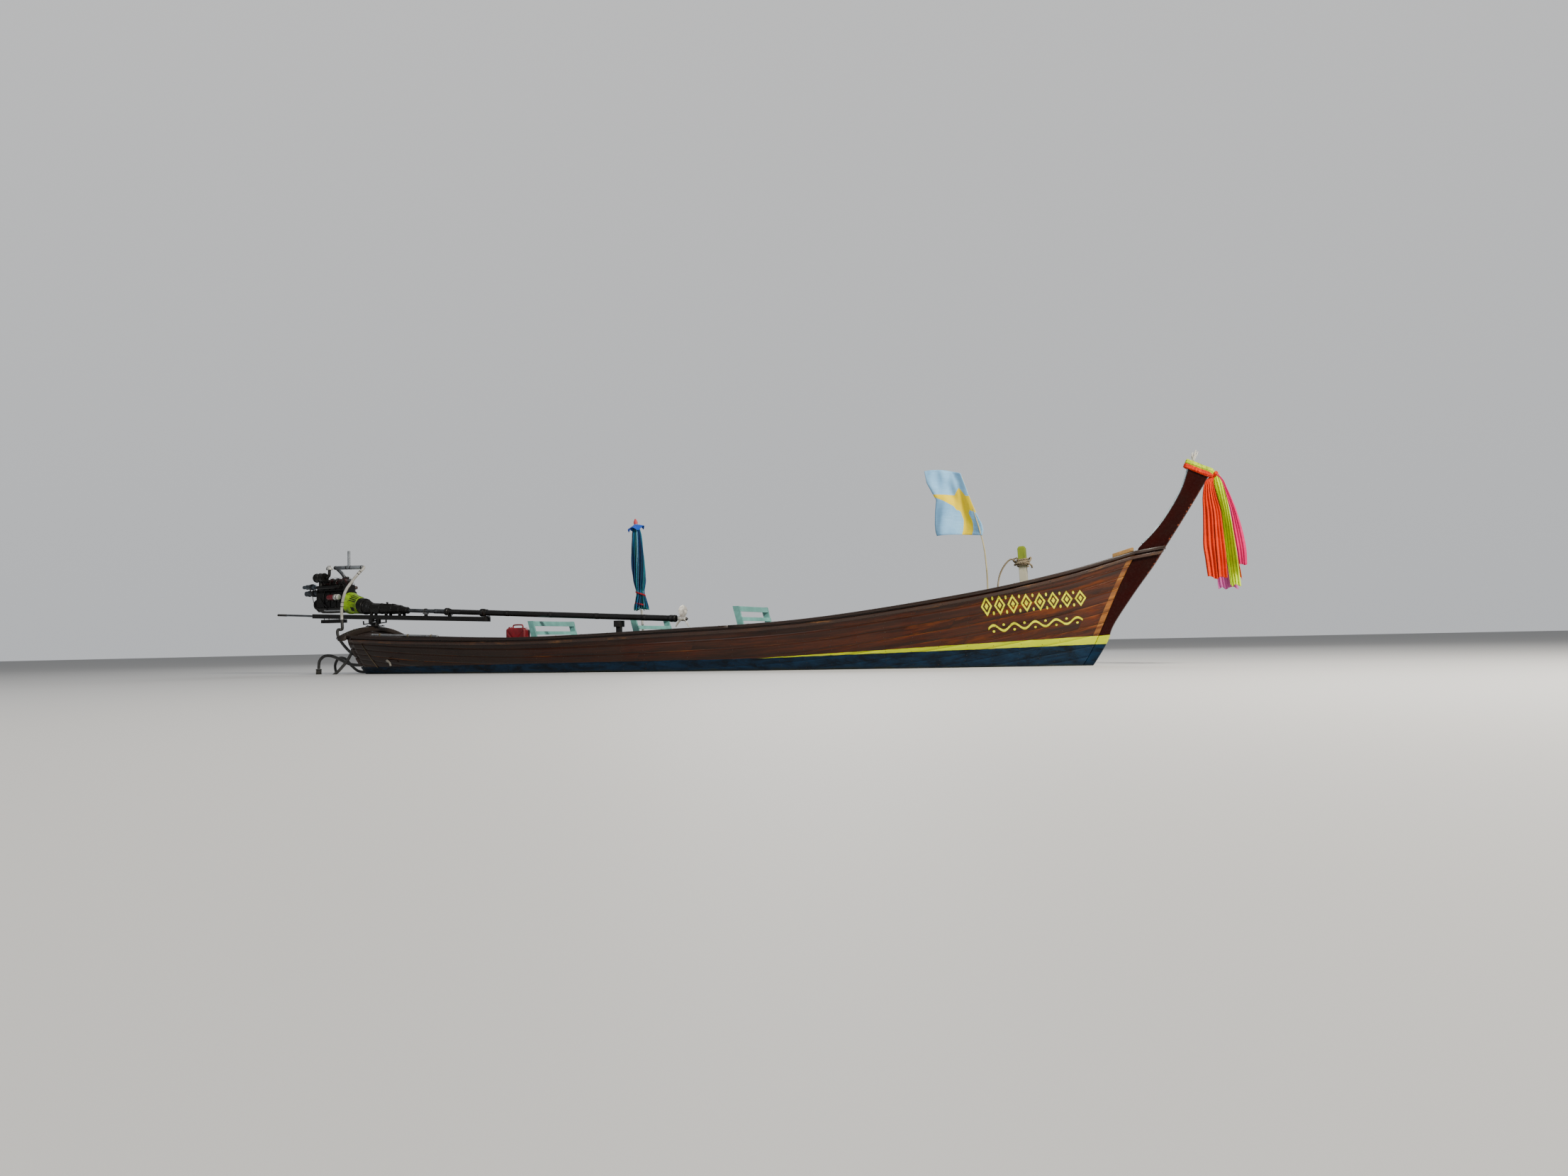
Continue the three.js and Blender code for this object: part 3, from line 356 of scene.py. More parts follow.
def uv_of(place):
    """The same surface's own UV map."""
    return place.node.outputs["UV"]


def turned(place, angles):
    """Coordinates turned by three angles."""
    return put(place.id_data, "Mapping", {"Vector": place, "Rotation": angles}).outputs["Vector"]


def reopened(material):
    """A finished material's shader, its colour so far, and its surface's object coordinates."""
    shade = next(n for n in material.node_tree.nodes if n.type == "BSDF_PRINCIPLED")
    place = put(material.node_tree, "TexCoord").outputs["Object"]
    return shade, shade.inputs["Base Color"].links[0].from_socket, place


def hose_finish():
    """Black rubber, with dried salt in patches and a pale bloom in fine specks."""
    material, shade, place = shader("hose_rubber")
    dirt, fine = dirt_on(place, 9.0, 0.42)
    colour = mix(dirt, (0.008, 0.008, 0.009), (0.05, 0.05, 0.046))
    colour = mix(step_up(fine, 0.55, 0.8, 0, 0.4), colour, (0.07, 0.07, 0.065))
    feed(shade, {"Base Color": colour, "Roughness": step_up(fine, 0.2, 0.8, 0.42, 0.68)})
    bump(shade, fine, 0.35, 0.002)
    return material


HOSE_WIDE = 0.048
RIB_PITCH = 0.011
hose_rubber = hose_finish()
TRANSOM_FOOT, TRANSOM_SLOPE = -5.41, -0.3219  # where the transom's back is at z = 0, and its rake


def transom_back(z):
    """X of the hoses' ends on the transom's back, at a height."""
    return TRANSOM_FOOT + TRANSOM_SLOPE * z - 0.0668


hose_routes = {"water_hose": [(-6.1098, -0.2743, 0.704), (-6.1098, -0.3003, 0.702), (-6.1, -0.33, 0.672),
    (-6.07, -0.352, 0.61), (-6.01, -0.368, 0.535), (-5.89, -0.378, 0.42), (-5.77, -0.382, 0.332),
    (-5.65, -0.384, 0.292), (transom_back(0.285), -0.384, 0.285)],
    "suction_hose": [(transom_back(0.14), -0.35, 0.14), (-5.727, -0.35, 0.142), (-5.869, -0.35, 0.167),
    (-6.04, -0.35, 0.236), (-6.227, -0.35, 0.292), (-6.357, -0.35, 0.283), (-6.444, -0.35, 0.215),
    (-6.462, -0.35, 0.12), (-6.462, -0.35, 0.088)], "drain_hose": [(transom_back(0.4), -0.52, 0.4),
    (-5.625, -0.518, 0.37), (-5.672, -0.51, 0.3), (-5.758, -0.5, 0.2), (-5.899, -0.5, 0.07),
    (-6.013, -0.5, -0.01), (-6.06, -0.5, -0.06)], "cooling_hose": [(transom_back(0.05), -0.11, 0.05),
    (-5.66, -0.106, 0.03), (-5.883, -0.1, 0.04), (-6.013, -0.1, 0.117), (-6.158, -0.1, 0.24),
    (-6.288, -0.1, 0.246), (-6.362, -0.1, 0.144), (-6.34, -0.1, 0.0), (-6.33, -0.1, -0.06)]}
for hose_name, route in hose_routes.items():
    kind = hose_name.removesuffix("_hose")
    hose_path, hose_length = evenly(curve_through(route), RIB_PITCH / 4)
    wide = (HOSE_WIDE if hose_name != "cooling_hose" else 0.044) / 2
    hose = tube("hose_" + kind, hose_path, lambda s: wide - 0.0012 + 0.0012 * cos(tau * s / RIB_PITCH), 14)
    dressed(hose, hose_rubber, "hull", "hose_rubber", hose_name)
    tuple(route[0])
    [tuple(p) for p in hose_path]


# Rope's end at the mooring post. A 24 mm three-strand rope: its free end leaves the turns on the
# post, hangs to the foredeck and lies there in a loose bend, whipped with twine at the tip.
def rope_finish(name, light, dark):
    """Fibre rope: hairy strands, dirty in patches."""
    material, shade, place = shader(name)
    dirt = dirt_on(place, 6.0, 0.5)[0]
    hair = noise(stretched(place, (1, 1, 1)), 420, 3, 0.7)
    colour = mix(dirt, light, dark)
    colour = mix(step_up(hair, 0.3, 0.7, 0, 0.45), colour, dark)
    feed(shade, {"Base Color": colour, "Roughness": 0.92})
    bump(shade, hair, 0.6, 0.002)
    return material


def laid_rope(name, path, diameter, lays, strands=3, sides=8):
    """A laid rope as one mesh: strands that twist round the path, lays diameters a turn."""
    strand = diameter * 0.262
    off = diameter / 2 - strand
    run = np.concatenate([[0], np.cumsum([(b - a).length for a, b in zip(path, path[1:])])])
    frames = frames_along(path)
    corners, faces, uvs = [], [], []
    for n in range(strands):
        base = len(corners)
        for point, (side, other), s in zip(path, frames, run):
            turn = tau * (s / (lays * diameter) + n / strands)
            out = side * cos(turn) + other * sin(turn)
            over = other * cos(turn) - side * sin(turn)
            for i in range(sides):
                a = tau * i / sides
                corners.append(point + out * (off + strand * cos(a)) + over * (strand * 1.12 * sin(a)))
        for r in range(len(path) - 1):
            for i in range(sides):
                j = (i + 1) % sides
                faces.append((base + r * sides + i, base + r * sides + j, base + (r + 1) * sides + j,
                    base + (r + 1) * sides + i))
                uvs += [(run[r], i / sides), (run[r], (i + 1) / sides), (run[r + 1], (i + 1) / sides),
                    (run[r + 1], i / sides)]
        last = base + (len(path) - 1) * sides
        for ring in ([base + i for i in range(sides - 1, -1, -1)], [last + i for i in range(sides)]):
            faces.append(tuple(ring))
            uvs += [(0, i / sides) for i in range(sides)]
    return new_piece(name, corners, faces, uvs)


ROPE_WIDE = 0.024
rope_fibre = rope_finish("rope_fibre", (0.66, 0.6, 0.44), (0.26, 0.21, 0.13))
FOREDECK_TOP = {4.345: 0.87, 4.36: 0.8727, 4.42: 0.8837, 4.5: 0.8988, 4.56: 0.9105}
tail_route = [(4.568, 0, 1.338), (4.525, -0.008, 1.35), (4.458, -0.014, 1.295), (4.385, -0.01, 1.17),
    (4.352, 0, 1.03), (4.345, 0.02, FOREDECK_TOP[4.345] + 0.06), (4.36, 0.06, FOREDECK_TOP[4.36] + 0.019),
    (4.42, 0.12, FOREDECK_TOP[4.42] + 0.018), (4.5, 0.14, FOREDECK_TOP[4.5] + 0.018),
    (4.56, 0.09, FOREDECK_TOP[4.56] + 0.018)]
tail_path, tail_length = evenly(curve_through(tail_route), 0.008)
bitt_tail = laid_rope("rope_end", tail_path, ROPE_WIDE, 3.4)
dressed(bitt_tail, rope_fibre, "hull", "rope", "bitt_tail")
whipping_path = tail_path[-6:]
whipping = tube("tail_whipping", whipping_path, lambda s: ROPE_WIDE / 2 + 0.0006 + 0.0008 * cos(s * 1500),
    12)
dressed(whipping, rope_finish("whipping_twine", (0.28, 0.24, 0.17), (0.12, 0.1, 0.07)), "hull", "rope")
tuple(tail_route[0])
[tuple(p) for p in tail_path]


# Planking. Twelve narrow mahogany strakes a side, 32 mm thick, nailed to the frames and butted every
# four metres or so. Outside they are varnished above a lime stripe and a blue antifouled bottom;
# the seams have lost their varnish, and at the stem a lighter strip covers the planks' ends.
#   Sections from stern to bow, in metres: keel x, z | bilge handle x, y, z | side handle x, y, z |
#   gunwale x, y, z. Each is one curve, and guides run through their ends and handles.
sections = [(-5.35, -0.17, -5.356, 0.43, -0.15, -5.469, 0.59, 0.2, -5.585, 0.65, 0.56),
    (-4.0, -0.33, -4.0, 0.56, -0.32, -4.02, 0.77, 0.04, -4.06, 0.8, 0.5),
    (-2.2, -0.42, -2.2, 0.65, -0.42, -2.2, 0.91, -0.04, -2.2, 0.935, 0.47),
    (0, -0.45, 0, 0.69, -0.45, 0, 0.97, -0.04, 0, 1.0, 0.525), (2.0, -0.44, 2.0, 0.56, -0.43, 2.02, 0.89,
    0.02, 2.05, 0.96, 0.615), (3.7, -0.4, 3.75, 0.29, -0.36, 3.85, 0.57, 0.17, 3.95, 0.76, 0.85),
    (4.7, -0.33, 4.8, 0.115, -0.25, 4.95, 0.25, 0.35, 5.15, 0.43, 1.085),
    (5.15, -0.23, 5.56, 0.04, 0.06, 5.64, 0.04, 0.65, 6.05, 0.04, 1.345)]
KEEL_SIDE = 0.0404
keel_marks = np.array([(s[0], KEEL_SIDE, s[1]) for s in sections])
bilge_marks, side_marks, sheer_marks = (np.array([s[k:k + 3] for s in sections]) for k in (2, 5, 8))


def guide(marks, u):
    """Points of a uniform Catmull-Rom guide at u, from 0 at the stern to 1 at the bow."""
    around = np.vstack([2 * marks[0] - marks[1], marks, 2 * marks[-1] - marks[-2]])
    t = np.clip(np.asarray(u, float), 0, 1) * (len(marks) - 1)
    i = np.minimum(t.astype(int), len(marks) - 2)
    t = (t - i)[..., None]
    p0, p1, p2, p3 = (around[i + k] for k in range(4))
    m1, m2 = (p2 - p0) / 2, (p3 - p1) / 2
    return (2 * p1 - 2 * p2 + m1 + m2) * t ** 3 + (3 * p2 - 3 * p1 - 2 * m1 - m2) * t ** 2 + m1 * t + p1


def skin_point(u, v):
    """The port side's outer face: u from stern to bow, v from keel to gunwale."""
    u, v = np.broadcast_arrays(np.asarray(u, float), np.asarray(v, float))
    a, b, c, d = (guide(marks, u) for marks in (keel_marks, bilge_marks, side_marks, sheer_marks))
    v = v[..., None]
    return a * (1 - v) ** 3 + 3 * b * v * (1 - v) ** 2 + 3 * c * v * v * (1 - v) + d * v ** 3


def inboard(u, v, depth):
    """The same points moved into the boat along the face's normal."""
    u, v = np.broadcast_arrays(np.asarray(u, float), np.asarray(v, float))
    e = 0.001
    along = skin_point(np.minimum(u + e, 1), v) - skin_point(np.maximum(u - e, 0), v)
    up = skin_point(u, np.minimum(v + e, 1)) - skin_point(u, np.maximum(v - e, 0))
    normal = np.cross(along, up)
    point = skin_point(u, v) + normal / np.linalg.norm(normal, axis=-1,
        keepdims=True) * np.asarray(depth)[..., None]
    edge = guide(sheer_marks, u)
    keel_up = 0.045 * np.clip((0.95 - u) / 0.2, 0, 1) - 0.001
    beside = (v == 0) | (point[..., 2] < guide(keel_marks, u)[..., 2] + keel_up + 0.002)
    point[..., 1] = np.maximum(point[..., 1], np.where(beside, KEEL_SIDE, 0.0015))
    point[..., 2] = np.minimum(point[..., 2], edge[..., 2] - 0.4 * np.abs(edge[..., 0] - point[..., 0]))
    return point


STRAKES, PLANK_THICK = 12, 0.032
SEAM_DEEP, SEAM_HALF, PLANK_CROWN = 0.0035, 0.0028, 0.0012
hull_steps = np.concatenate([np.linspace(0, 0.86, 120)[:-1], np.linspace(0.86, 1, 40)])


def strake_levels(u):
    """v of the seams at one station, so that every strake has the same girth there."""
    fine = np.linspace(0, 1, 161)
    run = np.concatenate([[0], np.cumsum(np.linalg.norm(np.diff(skin_point(u, fine), axis=0), axis=1))])
    return lambda k: np.interp(np.asarray(k) / STRAKES * run[-1], run, fine), run[-1]


def plank_side(name, side):
    """One side's planking, outer and inner face. UV: metres from the stem, and strake number."""
    rings, across = [], []
    for u in hull_steps:
        level, girth = strake_levels(u)
        edge = SEAM_HALF / (girth / STRAKES)
        places, depths = [], []
        for k in range(STRAKES):
            row = [k, k + edge, k + 0.28, k + 0.5, k + 0.72, k + 1 - edge]
            places += row
            depths += [SEAM_DEEP if k else 0, 0, -PLANK_CROWN * 0.7, -PLANK_CROWN, -PLANK_CROWN * 0.7, 0]
        places.append(STRAKES)
        depths.append(0)
        outer = inboard(u, level(places), np.array(depths))
        outer[0], outer[-1] = skin_point(u, 0), skin_point(u, 1)
        back = np.arange(STRAKES * 2, -1, -1) / 2
        inner = inboard(u, level(back), np.full(len(back), PLANK_THICK))
        ring = np.vstack([outer, inner])
        ring[:, 1] *= side
        rings.append([tuple(p) for p in ring])
        across = [*places, *back + 20]
    stems = np.linalg.norm(np.diff(np.array(rings), axis=0), axis=2)
    from_stem = np.vstack([np.cumsum(stems[::-1], axis=0)[::-1], np.zeros((1, stems.shape[1]))])
    count = len(rings[0])
    corners = [p for ring in rings for p in ring]
    faces, uvs = [], []
    for r in range(len(rings) - 1):
        for i in range(count):
            j = (i + 1) % count
            quad = [(r, i), (r, j), (r + 1, j), (r + 1, i)]
            if side < 0:
                quad.reverse()
            faces.append(tuple(a * count + b for a, b in quad))
            # an edge face runs from the outer to the inner face, and keeps its own strake's number
            low = across[i] if abs(across[j] - across[i]) > 1.5 else None
            uvs += [(from_stem[a][b], low if low is not None and b == j else across[b]) for a, b in quad]
    ends = [list(range(count - 1, -1, -1)), [(len(rings) - 1) * count + i for i in range(count)]]
    for end in ends:
        face = end if side > 0 else end[::-1]
        faces.append(tuple(face))
        uvs += [(0.02, 20.5)] * count
    return new_piece(name, corners, faces, uvs)


def between(x, xs, values):
    """A value between the marks of a table."""
    return float(np.interp(x, xs, values))


def row_at(table, x):
    """The other columns of a table at x in its first."""
    first, *others = zip(*table)
    return [between(x, first, column) for column in others]


def scaled(vector, factors):
    """Two vectors multiplied."""
    return put(vector.id_data, "VectorMath", {0: vector, 1: factors}, operation="MULTIPLY").outputs[0]


# Long wood grain, for every plank, rail and deck board
wood_lines, g_in, g_out = group_of("wood_grain", [("Vector", "Vector", None), ("Along", "Float", 3.0),
    ("Across", "Float", 90.0)], [("Grain", "Float"), ("Streak", "Float")])
g_scale = combined(g_in["Along"], g_in["Across"], g_in["Across"])
g_place = scaled(g_in["Vector"], g_scale)
g_bend = noise(g_in["Vector"], 1.7, 2)
g_moved = put(wood_lines, "VectorMath", {0: g_place, 1: combined(0, g_bend * 5.0, g_bend * 3.0)},
    operation="ADD")
wood_lines.links.new(noise(g_moved.outputs["Vector"], 1.0, 6, 0.66, 0.4), g_out["Grain"])
g_slow = put(wood_lines, "VectorMath", {0: g_moved.outputs["Vector"], 1: (0.35, 0.16, 0.16)},
    operation="MULTIPLY")
wood_lines.links.new(noise(g_slow.outputs["Vector"], 1.0, 3, 0.5), g_out["Streak"])


def grain_on(place, along, across):
    """The wood's grain and its broader streaks at a place."""
    found = use_group(wood_lines, {"Vector": place, "Along": along, "Across": across})
    return found["Grain"], found["Streak"]


def chance(value):
    """A random number from 0 to 1 for each whole number."""
    return put(value.id_data, "TexWhiteNoise", {"W": value}, noise_dimensions="1D").outputs["Value"]


# Bottom paint and stripe, which go round the planking, stem, keel and transom on one line
STRIPE_LOW = [(-5.6, 0.105), (1.4, 0.16), (5.7, 0.265), (6.2, 0.277)]
STRIPE_TOP = [(1.35, 0.158), (5.7, 0.369), (6.2, 0.394)]
bottom, b_in, b_out = group_of("bottom_paint", [("Vector", "Vector", None),
    ("Wood", "Color", (0.1, 0.03, 0.01, 1)), ("Wood Roughness", "Float", 0.3), ("Chips", "Float", 0.5)],
    [("Color", "Color"), ("Roughness", "Float"), ("Painted", "Float")])
b_axes = axes_of(b_in["Vector"])
b_wobble = (noise(b_in["Vector"], 7, 4) - 0.5) * 0.012


def line_at(x, marks):
    """Height of a painted line, straight between its marks."""
    pieces = [spread(x, x0, x1, 0, z1 - z0) for (x0, z0), (x1, z1) in zip(marks, marks[1:])]
    return sum(pieces[1:], pieces[0]) + marks[0][1]


def soft_below(value, line, width=0.004):
    """1 below a line, 0 above it."""
    return spread(line - value, -width, width)


b_level = b_axes["Z"] + b_wobble
b_blue_mask = soft_below(b_level, line_at(b_axes["X"], STRIPE_LOW), 0.002)
b_under_top = soft_below(b_level, line_at(b_axes["X"], STRIPE_TOP), 0.0015)
b_fore = step_up(b_axes["X"], 1.35, 1.5)
b_lime_mask = b_under_top * b_fore
b_scuff = noise(stretched(b_in["Vector"], (1.6, 1.6, 4.5)), 1.9, 8, 0.72, 0.6)
b_fine = noise(b_in["Vector"], 38, 5, 0.7)
b_chip_edge = 0.86 - b_in["Chips"] * 0.22
b_chipped = spread(b_scuff * 0.72 + b_fine * 0.34, b_chip_edge, b_chip_edge + 0.03)
b_blue = mix(step_up(b_scuff, 0.36, 0.62), (0.002, 0.005, 0.01), (0.004, 0.022, 0.052))
# Painted highlights: lighter blue specks on the bottom paint
b_blue = mix(step_up(b_fine, 0.56, 0.72, 0, 0.45), b_blue, (0.014, 0.055, 0.085))
b_blue = mix(step_up(b_scuff, 0.67, 0.75, 0, 0.5), b_blue, (0.085, 0.06, 0.03))
b_weed_edge = 0.016 + (b_scuff - 0.5) * 0.16
b_weed = soft_below(b_axes["Z"], b_weed_edge, 0.012)
b_weed_tone = mix(b_fine, (0.004, 0.006, 0.004), (0.02, 0.026, 0.012))
b_blue = mix(b_weed * 0.9, b_blue, b_weed_tone)
b_lime = mix(step_up(b_scuff, 0.4, 0.7), (0.5, 0.6, 0.0), (0.62, 0.66, 0.0))
b_lime = mix(step_up(b_fine, 0.6, 0.75, 0, 0.35), b_lime, (0.24, 0.24, 0.01))
b_whole = 1.0 - b_chipped * 0.8
b_lime_seen = b_lime_mask * b_whole
b_blue_seen = b_blue_mask * maths("MAXIMUM", b_whole, 0.45)
b_colour = mix(b_lime_seen, b_in["Wood"], b_lime)
b_colour = mix(b_blue_seen, b_colour, b_blue)
b_painted = maths("MAXIMUM", b_lime_seen, b_blue_seen)
b_rough = put(bottom, "MapRange", {"Value": b_painted, "To Min": b_in["Wood Roughness"],
    "To Max": step_up(b_fine, 0.3, 0.7, 0.42, 0.66)})
bottom.links.new(b_colour, b_out["Color"])
bottom.links.new(b_rough.outputs[0], b_out["Roughness"])
bottom.links.new(b_painted, b_out["Painted"])

# Painted ornament where a name would be: a row of lozenges with dots, and a wave under it
ROW_UPPER = {"x": (4.26, 5.48), "z": (0.742, 0.832), "half": (0.125, 0.098), "count": 8}
ROW_LOWER = {"x": (4.33, 5.41), "z": (0.472, 0.566), "half": (0.062, 0.052), "count": 9}


def row_axes(axes, row):
    """Across a painted row: its place from 0 to its count, and its height from -1 to 1."""
    share = put(axes["X"].id_data, "MapRange", {0: axes["X"], 1: row["x"][0], 2: row["x"][1]},
        clamp=False).outputs[0]
    middle, half = (share * (row[k][1] - row[k][0]) + row[k][0] for k in ("z", "half"))
    height = (axes["Z"] - middle) / half
    inside = (share > 0.0) * (share < 1.0)
    return share * row["count"], height, inside


def band(value, low, high, soft=0.03):
    """1 where value is between low and high."""
    return spread(value, low - soft, low + soft) * (1.0 - spread(value, high - soft, high + soft))


ornament, o_in, o_out = group_of("ornament", [("Vector", "Vector", None)], [("Mask", "Float")])
o_axes = axes_of(o_in["Vector"])
o_run, o_height, o_inside = row_axes(o_axes, ROW_UPPER)
o_cell = abs(maths("FRACT", o_run) - 0.5) * 2.0
o_up = abs(o_height)
o_lozenge = o_cell * 1.16 + o_up
o_rim = band(o_lozenge, 0.66, 0.98)
o_heart = band(o_lozenge, -1, 0.34)
o_far = 1.0 - o_cell
o_dot = o_far ** 2.0 + ((o_up - 0.74) * 0.8) ** 2.0
o_dots = band(o_dot, -1, 0.022, 0.004) * band(o_run, 0.5, 7.5)
o_upper = maths("MAXIMUM", maths("MAXIMUM", o_rim, o_heart), o_dots) * o_inside
o_run, o_height, o_inside = row_axes(o_axes, ROW_LOWER)
o_wave = maths("SINE", o_run * pi) * 0.62
o_line = band(o_height - o_wave, -0.24, 0.24)
o_bead = (maths("FRACT", o_run) - 0.5) ** 2.0 + ((o_height + o_wave * 0.95) * 0.5) ** 2.0
o_beads = band(o_bead, -1, 0.014, 0.004)
o_lower = maths("MAXIMUM", o_line, o_beads) * o_inside
ornament.links.new(maths("MAXIMUM", o_upper, o_lower), o_out["Mask"])


def planking_finish():
    """Old varnish on mahogany, a different tone on each plank, painted below and on the bow; painted
    sunlight lightens it at the bow and painted shade darkens it aft.
    """
    material, shade, place = shader("hull_planks")
    axes = axes_of(place)
    run = axes_of(uv_of(place))
    outside = run["Y"] < 15.0
    strake = maths("FLOOR", run["Y"])
    strake_noise = chance(strake)
    length = run["X"] * (1 / 4.3) + strake_noise
    plank = maths("FLOOR", length) + strake * 7.13
    tone = chance(plank)
    cell = maths("FRACT", run["Y"])
    from_seam = 0.5 - abs(cell - 0.5)
    from_butt = (0.5 - abs(maths("FRACT", length) - 0.5)) * 4.3
    flat = combined(run["X"], run["Y"] * 0.125, tone * 9.0)
    grain, streak = grain_on(flat, 2.6, 95.0)
    dirt, fine = dirt_on(place, 1.6, 0.46)
    broad = noise(stretched(flat, (0.7, 5, 1)), 1.3, 6, 0.68)
    deep = mix(tone, (0.018, 0.0026, 0.0006), (0.055, 0.0085, 0.0012))
    colour = mix(step_up(streak, 0.32, 0.66), deep, (0.095, 0.016, 0.0018))
    colour = mix(step_up(grain, 0.42, 0.62, 0, 0.55), colour, (0.009, 0.0018, 0.0006))
    # sun and salt have worn the varnish thin in patches; the lean of the lighter orange toward the bow is
    # painted sunlight
    fore = step_up(axes["X"], 2.6, 5.2)
    opened_and_sunlit = fore * 0.13 + broad
    colour = mix(step_up(opened_and_sunlit, 0.6, 0.8, 0, 0.75), colour, (0.26, 0.056, 0.005))
    colour = mix(step_up(1.0 - broad, 0.58, 0.74, 0, 0.62), colour, (0.007, 0.0018, 0.0008))
    # Painted shade: the planks darken steadily toward the stern
    colour = mix(step_up(axes["X"], -4.0, 3.4, 0.82, 0), colour, (0.006, 0.002, 0.001))
    worn_line = 0.15 - from_seam * (2.1 - fore * 0.7)
    worn_line = step_up(worn_line + broad * 0.62, 0.38, 0.5)
    seam_wear = worn_line * step_up(streak, 0.38, 0.6, 0.25, 0.95)
    colour = mix(seam_wear, colour, (0.3, 0.088, 0.01))
    trim = step_up(run["X"], 0.075, 0.085, 1, 0) * outside
    trim_tone = mix(step_up(streak, 0.35, 0.65), (0.18, 0.05, 0.01), (0.46, 0.18, 0.034))
    colour = mix(trim * step_up(broad, 0.3, 0.55, 0.35, 0.9), colour, trim_tone)
    crack = maths("MAXIMUM", step_up(from_seam, 0.01, 0.03, 1, 0), step_up(from_butt, 0.0015, 0.004, 1, 0))
    trim_edge = band(run["X"], 0.078, 0.083, 0.002)
    crack = maths("MAXIMUM", crack, trim_edge * outside)
    colour = mix(crack * 0.85, colour, (0.01, 0.005, 0.003))
    colour = mix(dirt * 0.35, colour, (0.03, 0.02, 0.013))
    raw = mix(grain, (0.115, 0.062, 0.03), (0.19, 0.11, 0.055))
    raw = mix(dirt * 0.7, raw, (0.045, 0.03, 0.02))
    rough = step_up(maths("MAXIMUM", seam_wear, step_up(opened_and_sunlit, 0.55, 0.8)), 0, 1, 0.2, 0.58)
    mask = use_group(ornament, {"Vector": place})["Mask"]
    rubbed = step_up(broad * 0.6 + fine * 0.5, 0.7, 0.76, 1, 0.25)
    sign = mask * rubbed
    sign_tone = mix(step_up(fine, 0.45, 0.7), (0.74, 0.76, 0.0), (0.56, 0.58, 0.0))
    colour = mix(sign, colour, sign_tone)
    rough = spread(sign, to_low=rough, to_high=0.45)
    painted = use_group(bottom, {"Vector": place, "Wood": colour, "Wood Roughness": rough, "Chips": 0.55})
    colour = mix(outside, raw, painted["Color"])
    feed(shade, {"Base Color": colour})
    rough = spread(outside, to_low=0.78, to_high=painted["Roughness"])
    feed(shade, {"Roughness": rough})
    gloss = (1.0 - painted["Painted"]) * outside
    feed(shade, {"Coat Weight": gloss * step_up(opened_and_sunlit, 0.5, 0.75, 0.3, 0.05), "Coat Roughness": 0.1,
        "Specular IOR Level": 0.16})
    height = grain * 0.35 - crack
    height = height + painted["Painted"] * 0.4
    bump(shade, height + fine * 0.2, 0.5, 0.0025)
    return material


hull_planks = planking_finish()
for label, side in (("port", 1), ("starboard", -1)):
    planks = plank_side("planks_" + label, side)
    dressed(planks, hull_planks, "hull", "varnished_planks", "planking_" + label)


# Pale floor, at the waterline. It is open inside the hull, as the water is, so that the boards below
# the waterline show: the opening's edge runs inside the planking, the transom and the stem.
FLOOR_REACH = 150
waterline = []
fine_levels = np.linspace(0, 1, 401)
for u in np.linspace(0, 0.98, 120):
    run = inboard(u, fine_levels, np.full(len(fine_levels), PLANK_THICK / 2))
    waterline.append([between(0, run[:, 2], run[:, axis]) for axis in (0, 1)])
aft_edge, fore_edge = waterline[0][0] - 0.015, waterline[-1][0] + 0.01
port_edge = [(aft_edge, waterline[0][1]), *waterline, (fore_edge, waterline[-1][1])]
floor_corners = [(FLOOR_REACH, 0), (FLOOR_REACH, FLOOR_REACH), (-FLOOR_REACH, FLOOR_REACH),
    (-FLOOR_REACH, 0), (aft_edge, 0), *port_edge, (fore_edge, 0)]
floor_mesh = bpy.data.meshes.new("floor")
count = len(floor_corners)
floor_mesh.from_pydata([(x, y, 0) for x, y in floor_corners] + [(x, -y, 0) for x, y in floor_corners], [],
    [range(count), range(2 * count - 1, count - 1, -1)])
floor = new_object("floor", floor_mesh)
floor_paint, floor_shader = shader("floor_paint")[:2]
feed(floor_shader, {"Base Color": (0.74, 0.75, 0.76, 1), "Roughness": 0.6})
floor_mesh.materials.append(floor_paint)


# Nail plugs in the planking. Wooden plugs over the nail heads, two on every strake at every frame,
# tapped in flush and a little proud where the wood has dried.
def studs_tree():
    """Geometry Nodes: a low round stud on every point, standing along the point's facing."""
    tree, given, made = group_of("studs", [("Points", "Geometry", None), ("Radius", "Float", 0.006),
        ("Height", "Float", 0.002), ("Sides", "Int", 8), ("Finish", "Material", None)],
        [("Studs", "Geometry")], "GeometryNodeTree")
    tree.is_modifier = True
    stud = put(tree, "MeshCone", {"Vertices": given["Sides"], "Depth": given["Height"],
        "Radius Bottom": given["Radius"], "Radius Top": given["Radius"] * 0.78}, "GeometryNode")
    facing = put(tree, "InputNamedAttribute", {"Name": "facing"}, "GeometryNode", data_type="FLOAT_VECTOR")
    turn = put(tree, "AlignEulerToVector", {"Vector": facing.outputs[0]}, "FunctionNode", axis="Z")
    place = put(tree, "InstanceOnPoints", {"Points": given["Points"], "Instance": stud.outputs["Mesh"],
        "Rotation": turn.outputs["Rotation"]}, "GeometryNode")
    real = put(tree, "RealizeInstances", {"Geometry": place.outputs["Instances"]}, "GeometryNode")
    coat = put(tree, "SetMaterial", {"Geometry": real.outputs["Geometry"], "Material": given["Finish"]},
        "GeometryNode")
    tree.links.new(coat.outputs["Geometry"], made["Studs"])
    return tree


studs_nodes = studs_tree()


